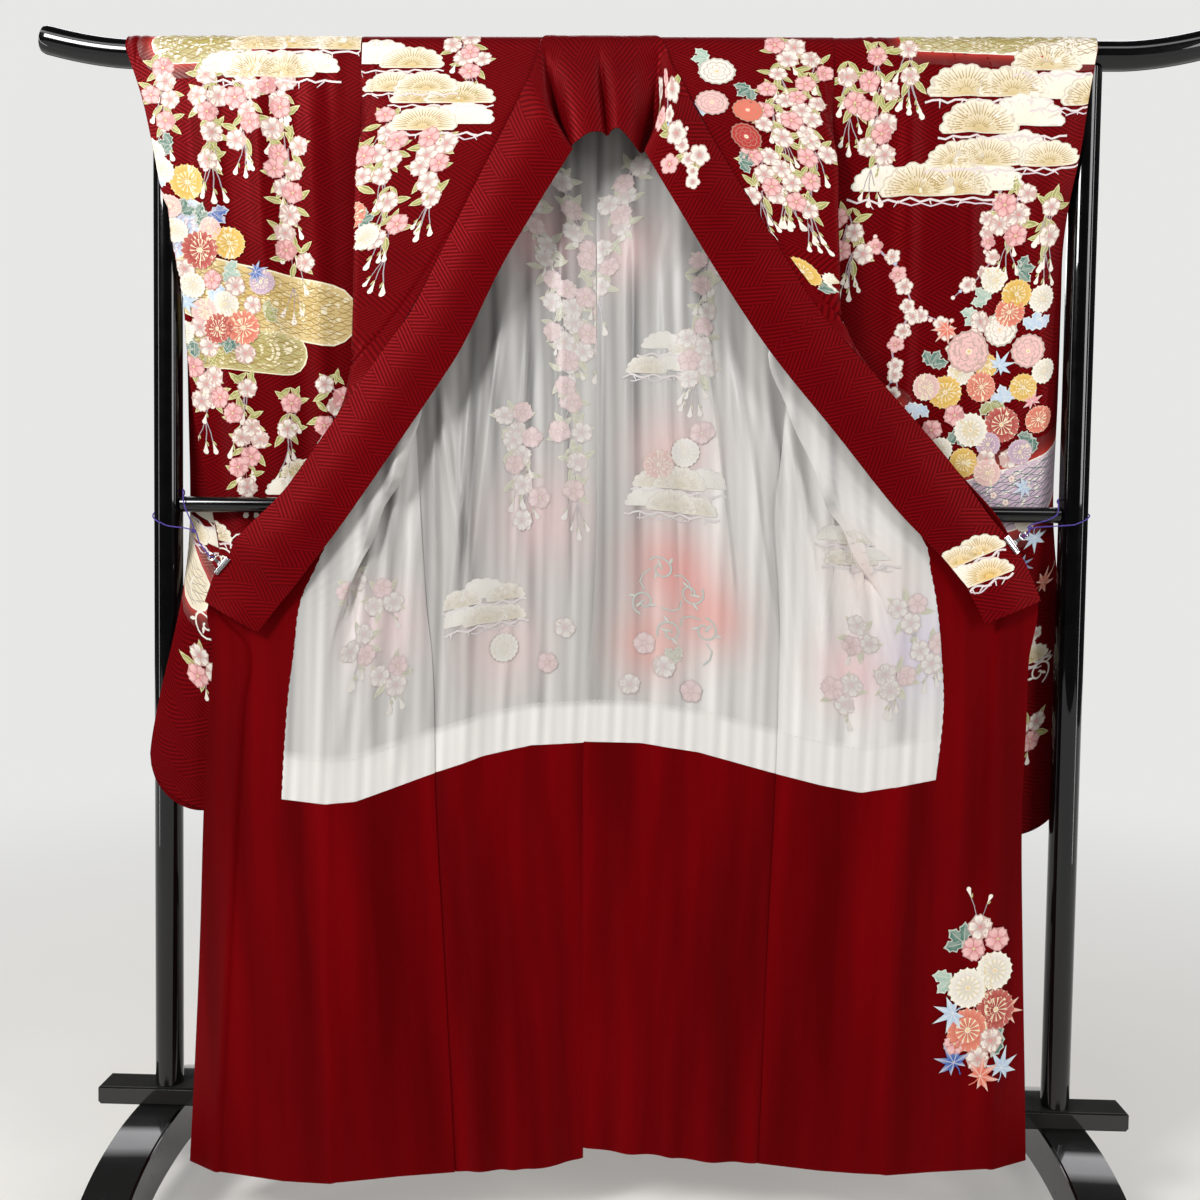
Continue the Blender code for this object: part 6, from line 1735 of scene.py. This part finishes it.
def build_collar(finish):
    """The collar's two ends and the over-collar, whose edges turn in."""
    first, last = OVER_COLLAR_ENDS
    share = np.linspace(0, 1, BAND_COLUMNS)
    thick = COLLAR_WALL / 2 * (0.55 + 0.6 * np.sin(pi * share) ** 0.5)
    under = -COLLAR_WALL / 2 - COLLAR_TURN * bump(share, 0.05)
    made = {}
    for name, start, end in (("collar_left", 0.0, first), ("over_collar", first, last),
                             ("collar_right", last, len(COLLAR) - 1.0)):
        points = collar_sections(start, end)
        facing, down = normals(points, 1.0), row_lengths(points)
        across = np.cumsum(np.linalg.norm(np.diff(points, axis=1, prepend=points[:, :1]), axis=2), axis=1)
        piece = wall(f"silk_{name}", points, facing, thick, under, across, down)
        finished(piece, finish, "crimson_silk", name)
        made[name] = surface(points, facing, across, down, thick=thick)
    return made


def build_camera():
    yaw, pitch, roll = radians(CAMERA_YAW), radians(CAMERA_PITCH), radians(CAMERA_ROLL)
    ahead = Vector((-sin(yaw) * cos(pitch), cos(yaw) * cos(pitch), sin(pitch)))
    right = Vector((cos(yaw), sin(yaw), 0.0))
    up = right.cross(ahead)
    turned_right = right * cos(roll) + up * sin(roll)
    turned_up = -right * sin(roll) + up * cos(roll)
    camera = linked("camera", bpy.data.cameras.new("camera"))
    camera.data.sensor_width = 36.0
    camera.data.lens = CAMERA_LENS
    axes = Matrix((turned_right, turned_up, -ahead)).transposed().to_4x4()
    camera.matrix_world = Matrix.Translation(CAMERA_PLACE) @ axes
    bpy.context.scene.camera = camera


def softbox(name, place, target, size, power):
    light = linked(name, bpy.data.lights.new(name, "AREA"))
    light.data.shape = "RECTANGLE"
    light.data.size, light.data.size_y = size
    light.data.energy = power
    aim = Vector(target) - Vector(place)
    light.matrix_world = Matrix.Translation(place) @ aim.to_track_quat("-Z", "Y").to_matrix().to_4x4()


def build_studio():
    shape = bmesh.new()
    bmesh.ops.create_grid(shape, x_segments=8, y_segments=8, size=FLOOR_HALF)
    shaped("studio_floor", shape, studio_floor())
    world = bpy.data.worlds.new("studio")
    world.use_nodes = True
    tree = world.node_tree
    path = node(tree, "ShaderNodeLightPath")
    height = node(tree, "ShaderNodeSeparateXYZ", {0: node(tree, "ShaderNodeTexCoord").outputs[0]}).outputs[2]
    ceiling = maths(tree, "MULTIPLY", *(ranged(tree, height, *ends) for ends in CEILING_EDGES))
    gloss = mixed(tree, ceiling, BACKDROP_IN_GLOSS, CEILING_IN_GLOSS)
    seen = mixed(tree, path.outputs["Is Glossy Ray"], BACKDROP_LIGHT, gloss)
    shown = mixed(tree, path.outputs["Is Camera Ray"], seen, BACKDROP_SEEN)
    tree.links.new(shown, tree.nodes["Background"].inputs["Color"])
    bpy.context.scene.world = world
    bpy.context.scene.view_settings.view_transform = "Standard"
    for name, place, target, size, power in SOFTBOXES:
        softbox(name, place, target, size, power)


# Where the printed motifs lie, in millimetres across and down each cloth: strands as their line and seed
LEFT_SLEEVE_STRANDS = [
    ([(288, 50), (282, 110), (280, 150)], 11), ([(222, 60), (214, 130), (210, 200)], 12),
    ([(170, 60), (164, 120), (166, 170)], 13), ([(122, 80), (112, 150), (108, 240), (112, 370)], 14),
    ([(236, 440), (232, 500), (236, 560)], 17), ([(176, 500), (180, 590), (174, 650)], 18),
    ([(112, 520), (116, 600)], 19), ([(52, 500), (46, 570)], 20),
]
RIGHT_SLEEVE_STRANDS = [
    ([(58, 30), (62, 120), (56, 200)], 51), ([(108, 20), (106, 80)], 52), ([(262, 230), (252, 300)], 54),
    ([(308, 240), (304, 320)], 55), ([(30, 260), (36, 330)], 56), ([(120, 640), (126, 700), (120, 760)], 57),
    ([(232, 820), (238, 900)], 58), ([(20, 60), (24, 130)], 59),
]
LEFT_BODY_STRANDS = [
    ([(52, 170), (66, 240), (92, 320), (112, 380)], 31), ([(122, 160), (128, 230), (146, 300)], 32),
    ([(20, 220), (26, 300), (40, 370)], 34), ([(150, 20), (158, 90)], 35),
]
RIGHT_BODY_STRANDS = [
    ([(70, 30), (84, 120), (96, 210), (108, 290)], 41), ([(30, 60), (44, 130), (60, 230), (84, 330)], 42),
    ([(126, 230), (140, 300)], 43),
]
BEHIND_LEFT_STRANDS = [
    ([(232, 190), (226, 300), (232, 420), (226, 560), (232, 700)], 71),
    ([(282, 210), (288, 330), (282, 470)], 72), ([(150, 560), (156, 680)], 73),
]
BEHIND_RIGHT_STRANDS = [
    ([(286, 200), (280, 300), (286, 400)], 75), ([(140, 330), (134, 420), (140, 520)], 76),
]

# Flowers as their kind, place, size and colour
LEFT_SLEEVE_FLOWERS = [
    ("leaf", 262, 270, 24, TEAL), ("leaf", 212, 395, 26, BLUE_PALE), ("leaf", 282, 330, 24, TEAL),
    ("leaf", 188, 322, 24, TEAL), ("maple", 292, 292, 22, CORAL), ("maple", 160, 352, 22, BLUE),
    ("mum", 250, 226, 26, YELLOW), ("mum", 286, 212, 20, WHITE), ("mum", 238, 322, 28, RED),
    ("mum", 196, 312, 24, YELLOW), ("mum", 272, 296, 19, WHITE), ("mum", 180, 430, 25, CORAL),
    ("mum", 204, 398, 19, WHITE), ("mum", 152, 366, 19, LILAC), ("cherry", 222, 364, 15, PINK),
    ("cherry", 166, 398, 14, WHITE), ("cherry", 262, 350, 15, WHITE), ("leaf", 148, 410, 20, LEAF),
    ("leaf", 300, 240, 26, BLUE_PALE), ("leaf", 292, 380, 26, BLUSH), ("mum", 276, 262, 17, BLUSH),
    ("leaf", 228, 420, 24, TEAL_PALE), ("mum", 236, 408, 20, BLUSH), ("maple", 262, 396, 22, BLUE_PALE),
    ("leaf", 216, 268, 24, BLUE), ("mum", 270, 440, 19, WHITE), ("leaf", 252, 450, 26, TEAL),
    ("mum", 298, 190, 20, WHITE), ("leaf", 270, 176, 22, TEAL), ("leaf", 242, 276, 26, TEAL),
    ("mum", 222, 292, 17, BLUSH), ("mum", 300, 330, 22, WHITE), ("mum", 252, 372, 19, WHITE),
    ("leaf", 204, 352, 24, TEAL_PALE), ("cherry", 190, 372, 15, WHITE), ("mum", 216, 432, 22, RED),
    ("mum", 292, 416, 21, YELLOW), ("cherry", 244, 430, 15, WHITE), ("leaf", 196, 446, 24, TEAL),
    ("cherry", 178, 466, 16, WHITE),
]
RIGHT_SLEEVE_FLOWERS = [
    ("leaf", 196, 560, 26, TEAL), ("leaf", 262, 520, 26, BLUE_PALE), ("leaf", 156, 470, 24, TEAL),
    ("maple", 176, 420, 24, CORAL), ("maple", 252, 470, 24, BLUE_PALE), ("peony", 206, 452, 30, BLUSH),
    ("peony", 250, 420, 24, WHITE), ("mum", 176, 508, 24, YELLOW), ("mum", 214, 560, 25, WHITE),
    ("mum", 258, 552, 26, RED), ("mum", 206, 606, 22, YELLOW), ("mum", 286, 590, 19, LILAC),
    ("mum", 172, 588, 18, WHITE), ("maple", 300, 520, 20, PINK), ("cherry", 238, 600, 14, WHITE),
    ("maple", 310, 716, 24, BLUE_PALE), ("maple", 290, 752, 20, BLUE), ("maple", 322, 790, 22, CORAL),
    ("mum", 296, 690, 16, WHITE), ("leaf", 230, 380, 26, TEAL_PALE), ("mum", 270, 372, 21, YELLOW),
    ("leaf", 300, 420, 26, BLUE_PALE), ("peony", 290, 450, 24, BLUSH), ("mum", 226, 500, 22, CORAL),
    ("leaf", 240, 520, 24, LEAF), ("mum", 286, 500, 20, YELLOW), ("cherry", 190, 540, 16, PINK),
    ("cherry", 220, 410, 16, WHITE), ("leaf", 180, 630, 24, BLUE_PALE), ("mum", 240, 620, 20, BLUSH),
    ("cherry", 270, 600, 15, WHITE), ("leaf", 304, 570, 24, TEAL), ("mum", 314, 480, 18, WHITE),
    ("leaf", 270, 340, 24, TEAL), ("mum", 236, 352, 19, WHITE), ("mum", 262, 396, 21, CORAL),
    ("mum", 306, 380, 20, WHITE), ("leaf", 216, 400, 24, TEAL_PALE), ("mum", 150, 500, 20, BLUSH),
    ("leaf", 140, 524, 24, BLUE_PALE), ("mum", 240, 580, 18, LILAC), ("cherry", 160, 560, 15, PINK),
    ("mum", 196, 480, 19, WHITE), ("leaf", 250, 560, 26, TEAL), ("mum", 310, 546, 20, CORAL),
    ("mum", 232, 470, 18, YELLOW), ("cherry", 212, 434, 15, WHITE), ("maple", 296, 640, 22, BLUE_PALE),
]
LEFT_BODY_FLOWERS = [("mum", 40, 320, 22, CORAL), ("mum", 72, 350, 20, WHITE), ("leaf", 56, 330, 22, TEAL)]
RIGHT_BODY_FLOWERS = [
    ("mum", 130, 400, 22, YELLOW), ("mum", 96, 420, 19, WHITE), ("leaf", 112, 430, 22, TEAL),
]
SHOULDER_PEONIES = [
    ("leaf", 176, 60, 26, TEAL_PALE), ("leaf", 120, 120, 26, TEAL), ("leaf", 190, 150, 24, BLUE_PALE),
    ("peony", 166, 86, 27, WHITE), ("peony", 176, 148, 24, BLUSH), ("peony", 128, 162, 22, CORAL),
    ("peony", 140, 206, 21, RED), ("cherry", 110, 186, 14, WHITE), ("leaf", 160, 240, 22, TEAL),
]
BEHIND_LEFT_FLOWERS = [
    ("cherry", 176, 690, 17, PINK), ("cherry", 150, 720, 16, WHITE), ("mum", 110, 900, 22, WHITE),
    ("cherry", 200, 880, 16, WHITE), ("cherry", 170, 930, 16, PINK),
]
BEHIND_RIGHT_FLOWERS = [
    ("mum", 176, 640, 22, CORAL), ("mum", 140, 620, 22, WHITE), ("cherry", 120, 590, 17, PINK),
    ("cherry", 196, 900, 17, PINK), ("cherry", 168, 930, 17, WHITE), ("cherry", 128, 960, 17, PINK),
    ("leaf", 150, 920, 24, LEAF), ("cherry", 216, 960, 16, WHITE),
]
SPRAY_MIDDLE = (296, 1236)
SPRAY_STEMS = [
    ((296, 1236), (300, 1290), (292, 1350)), ((300, 1290), (322, 1330)), ((296, 1300), (272, 1340)),
]
SPRAY_FLOWERS = [
    ("leaf", -22, 22, 30, TEAL), ("leaf", 34, 60, 30, LEAF), ("leaf", -36, 70, 30, TEAL_PALE),
    ("leaf", 40, 150, 34, TEAL), ("leaf", -38, 150, 32, LEAF), ("maple", -34, 118, 32, BLUE_PALE),
    ("maple", 40, 196, 32, BLUE_PALE), ("maple", -30, 186, 32, BLUE), ("maple", 8, 206, 32, CORAL),
    ("maple", 44, 116, 28, CORAL), ("cherry", 0, 0, 19, WHITE), ("cherry", 26, 16, 18, PINK),
    ("cherry", -8, 30, 18, PINK), ("mum", 24, 60, 28, WHITE), ("mum", -14, 84, 29, WHITE),
    ("mum", 28, 114, 30, RED), ("mum", -12, 142, 31, CORAL), ("cherry", 22, 156, 18, WHITE),
    ("cherry", 4, 182, 18, WHITE), ("cherry", -30, 160, 16, PINK),
]

# At the neck as place and size; on the back as shares of its width, depth in metres and colour
NECK_FLOWERS = [(56, 606, 15), (24, 640, 17), (64, 648, 15), (44, 684, 17), (72, 712, 15), (30, 726, 16)]
BACK_FLOWERS = [
    (0.25, 0.50, RED), (0.40, 0.53, WHITE), (0.70, 0.60, YELLOW), (0.58, 0.64, CORAL), (0.30, 0.80, WHITE),
    (0.44, 0.82, RED),
]

# The sizes of a cherry blossom, a vine, the spray's twigs and the stitches, and the veil of the sheer lining
CHERRY, VINE, TWIG = 0.0175, 0.036, 0.0016
STITCH_STEP, STITCH_LONG, STITCH_WIDE = 0.008, 0.0042, 0.0010
VEIL, VEIL_SHARE = (0.45, 0.44, 0.425), 0.33


def strands_of(art, strands):
    for line, seed in strands:
        strand(art, mm(*line), CHERRY, seed)


def clusters(art, places):
    """Cherry clusters, each place with its seed."""
    for u, v, seed in places:
        cluster(art, at(u, v), CHERRY, seed, 3)


def scrolls(art, places, colour=WHITE):
    """Curling vines, each place with its turn."""
    for u, v, turn in places:
        scroll(art, at(u, v), VINE, turn, colour)


def shore(art, start, end, radius, ground, edge, wave, glow=BRIGHT_RED):
    """A drifting patch of water, its colour fading from the red round it."""
    start, end = mm(start, end)
    band(art, start, end, radius / 1000, ground, edge, 0, glow)
    waves(art, start, end, radius / 1000 * 0.95, wave, 5)


def print_left_sleeve(art):
    shore(art, (186, 22), (266, 26), 34, OLIVE, WHITE, GOLD_DARK)
    shore(art, (252, 276), (300, 330), 28, BLUE_PALE, WHITE, LILAC, None)
    shore(art, (60, 410), (250, 372), 44, GOLD, CREAM, GOLD_DARK, None)
    shore(art, (120, 466), (290, 452), 30, OLIVE, CREAM, GOLD_DARK, None)
    shore(art, (252, 836), (300, 800), 30, CREAM, WHITE, INK)
    pine_cloud(art, (0.002, 0.034), 0.190, 0.052, 2)
    pine_cloud(art, (0.210, 0.738), 0.090, 0.040, 5)
    pine_cloud(art, (0.010, 0.640), 0.120, 0.038, 6)
    strands_of(art, LEFT_SLEEVE_STRANDS)
    bouquet(art, LEFT_SLEEVE_FLOWERS)
    scrolls(art, [(226, 720, 0.2), (262, 700, 2.4), (206, 764, 4.0), (150, 800, 1.2), (60, 700, 3.1),
                  (226, 870, 5.2)])
    clusters(art, [(140, 830, 970), (196, 820, 1016), (60, 880, 940), (110, 930, 1040), (226, 930, 1156),
                   (170, 1000, 1170), (60, 1020, 1080)])


def print_right_sleeve(art):
    shore(art, (120, 8), (350, 18), 30, OLIVE, WHITE, GOLD_DARK)
    shore(art, (170, 690), (330, 640), 44, LILAC, WHITE, TEAL)
    for u, v in ((220, 646), (250, 652), (276, 628), (300, 636), (236, 670), (268, 662)):
        petals(art, at(u, v), 0.006, 5, ROUND_PETAL, BLUSH, WHITE, INK, 9, u)
    shore(art, (40, 560), (96, 540), 26, GOLD, CREAM, GOLD_DARK)
    pine_cloud(art, (0.150, 0.100), 0.150, 0.060, 7)
    pine_cloud(art, (0.270, 0.064), 0.110, 0.058, 8)
    pine_cloud(art, (0.046, 0.236), 0.200, 0.056, 9, rows=1)
    pine_cloud(art, (0.150, 0.196), 0.170, 0.054, 13, rows=1)
    pine_cloud(art, (0.060, 0.880), 0.120, 0.038, 11)
    pine_cloud(art, (0.240, 0.900), 0.080, 0.038, 12, rows=1)
    strands_of(art, RIGHT_SLEEVE_STRANDS)
    branch(art, mm((66, 300), (104, 334), (128, 392), (168, 410), (190, 470)), 0.0125, 3)
    branch(art, mm((128, 392), (100, 440), (110, 500), (80, 540)), 0.012, 4)
    branch(art, mm((236, 230), (214, 290), (230, 330), (196, 372)), 0.012, 5)
    bouquet(art, RIGHT_SLEEVE_FLOWERS)
    scrolls(art, [(290, 880, 0.4), (262, 846, 2.2), (316, 920, 4.4), (190, 900, 1.4), (60, 640, 3.3)])
    branch(art, mm((250, 930), (280, 900), (316, 860)), 0.011, 6)
    clusters(art, [(60, 720, 780), (190, 760, 950), (110, 850, 960), (60, 980, 1040), (170, 1010, 1180),
                   (300, 1000, 1300), (250, 760, 1010)])


def print_left_body(art):
    pine_cloud(art, (0.004, 0.076), 0.110, 0.056, 21)
    pine_cloud(art, (0.070, 0.146), 0.120, 0.058, 22)
    strands_of(art, LEFT_BODY_STRANDS)
    bouquet(art, LEFT_BODY_FLOWERS)


def print_right_body(art):
    pine_cloud(art, (0.060, 0.500), 0.110, 0.036, 24)
    strands_of(art, RIGHT_BODY_STRANDS)
    bouquet(art, SHOULDER_PEONIES)
    bouquet(art, RIGHT_BODY_FLOWERS)


def back_of(art, wide, seed):
    """The back carries the same flowers in another layout, thinner towards its foot."""
    rng = np.random.default_rng(seed)
    pine_cloud(art, (wide * 0.10, 0.15), wide * 0.50, 0.038, seed)
    pine_cloud(art, (wide * 0.45, 0.40), wide * 0.45, 0.036, seed + 1)
    pine_cloud(art, (wide * 0.06, 0.66), wide * 0.45, 0.036, seed + 2)
    for step in range(4):
        u, start = wide * (step + 0.5) / 4, rng.uniform(0.02, 0.10)
        line = [(u + 0.006 * sin(k), start + k * 0.07) for k in range(3 + 2 * (step % 2))]
        strand(art, line, CHERRY, seed + step)
    for u, v, colour in BACK_FLOWERS:
        place = (wide * (u + rng.uniform(-0.10, 0.18)), v + rng.uniform(-0.05, 0.05))
        leaf(art, place, 0.036, 6 * u, 5, TEAL, TEAL_PALE, LOBED_LEAF)
        chrysanthemum(art, place, 0.025, colour, 18, 12)
    for step in range(4):
        spot = (wide * rng.uniform(0.1, 0.9), rng.uniform(0.70, 1.0))
        cluster(art, spot, CHERRY, seed + 20 + step, 3)


def behind_left_lining(art):
    """What shows softly through the lining, from the printed back."""
    strands_of(art, BEHIND_LEFT_STRANDS)
    pine_cloud(art, (0.040, 0.830), 0.110, 0.036, 74)
    bouquet(art, BEHIND_LEFT_FLOWERS)


def behind_right_lining(art):
    strands_of(art, BEHIND_RIGHT_STRANDS)
    pine_cloud(art, (0.130, 0.478), 0.090, 0.036, 77)
    pine_cloud(art, (0.092, 0.672), 0.120, 0.040, 78)
    vines = [(128, 820, 0.5), (168, 790, 2.5), (196, 840, 4.4), (110, 870, 1.5), (160, 880, 3.6)]
    scrolls(art, vines, TEAL_PALE)
    bouquet(art, BEHIND_RIGHT_FLOWERS)


def hem_stitches(art):
    """The running stitches that hold the sheer lining's doubled hem."""
    panel = art.panel
    for edge in (panel.down[0] + LINING_HEM, panel.down[-1] - LINING_HEM):
        low, high = (np.interp(edge, panel.down, ends) for ends in (panel.low, panel.high))
        for start in np.arange(low + STITCH_STEP, high - STITCH_STEP, STITCH_STEP):
            art.strip([(start, edge), (start + STITCH_LONG, edge)], STITCH_WIDE, WHITE, 1)


def front_left_lining(art):
    hem_stitches(art)
    clusters(art, [(60, 900, 81), (100, 960, 82), (60, 1010, 83), (110, 860, 84)])


def front_right_lining(art):
    hem_stitches(art)
    clusters(art, [(110, 930, 85), (160, 990, 86), (210, 960, 87), (90, 1010, 88), (180, 900, 89)])
    pine_cloud(art, (0.070, 0.800), 0.110, 0.036, 90)


def print_collar_end(art):
    pine_cloud(art, (0.030, 0.402), 0.070, 0.042, 91, WHITE, YELLOW)


def print_collar_neck(art):
    for u, v, size in NECK_FLOWERS:
        blossom(art, at(u, v), size / 1000, u, u > 60, 6, ROUND_PETAL)
        leaf(art, at(u, v), 0.030, u * 1.7, 3)
    branch(art, mm((20, 610), (46, 650), (40, 700), (60, 760)), 0.011, 92, 3)


def print_spray(art):
    """The one spray on the overlap's plain lining."""
    for stem in SPRAY_STEMS:
        art.strip(mm(*stem), TWIG, STEM, 1)
    bud(art, at(290, 1222), 0.034, -1.9)
    bud(art, at(296, 1226), 0.030, -1.2)
    across, down = SPRAY_MIDDLE
    bouquet(art, [(kind, across + u, down + v, size, colour) for kind, u, v, size, colour in SPRAY_FLOWERS])


def decorate(name, cloth, offset, finish, slot, front, back=None, veil=None):
    """Lays a print on a cloth: what is on its back first, then what is on its front."""
    decoration = Print(Panel(cloth, offset))
    if back is not None:
        back(decoration)
        decoration.overturn()
    front(decoration)
    if veil is not None:
        decoration.soften(veil, VEIL_SHARE)
    return decoration.build(name, finish, slot)


# The silk's ground and figure colours, then each piece and what is printed on it
SILK_GROUND = (0.062, 0.0004, 0.0011)
SILK_FIGURE = (0.157, 0.0020, 0.0039)

crimson = silk("figured_crimson_silk", SILK_GROUND, SILK_FIGURE)
printed = silk("printed_silk", SILK_GROUND, SILK_FIGURE, painted=True)
plain, sheer, black, silver, violet = plain_lining(), sheer_lining(), lacquer(), nickel(), cord_fibre()
build_camera()
for side in ("left", "right"):
    cord, knot, line = build_cord(side, violet)
build_stand(black)
collars = build_collar(crimson)
cloths = {}
for side in ("left", "right"):
    cloths[side] = build_body(side, crimson, sheer, plain)
    cloths[side]["sleeve"] = build_sleeve(side, crimson)
    build_clip(side, silver)

on_body, on_sleeve = HALF_GAP + CLOTH, CLOTH / 2
for cloth, side, offset, front, wide, seed in (
    ("sleeve", "left", on_sleeve, print_left_sleeve, 0.33, 101),
    ("sleeve", "right", on_sleeve, print_right_sleeve, 0.35, 111),
    ("body", "left", on_body, print_left_body, 0.33, 121),
    ("body", "right", on_body, print_right_body, 0.33, 131),
):
    decorate(f"print_{cloth}_{side}", cloths[side][cloth], offset, printed, "crimson_silk", front,
             lambda art: back_of(art, wide, seed))
for side, front, back in (("left", front_left_lining, behind_left_lining),
                          ("right", front_right_lining, behind_right_lining)):
    decorate(f"veiled_print_{side}", cloths[side]["lining"], 0, sheer, "white_lining", front, back, VEIL)
for name, key, front in (("print_collar_end", "collar_right", print_collar_end),
                         ("print_collar_neck", "over_collar", print_collar_neck)):
    decorate(name, collars[key], collars[key]["thick"], printed, "crimson_silk", front)
decorate("print_spray", cloths["right"]["okumi_lining"], on_body, printed, "crimson_lining", print_spray)
build_studio()
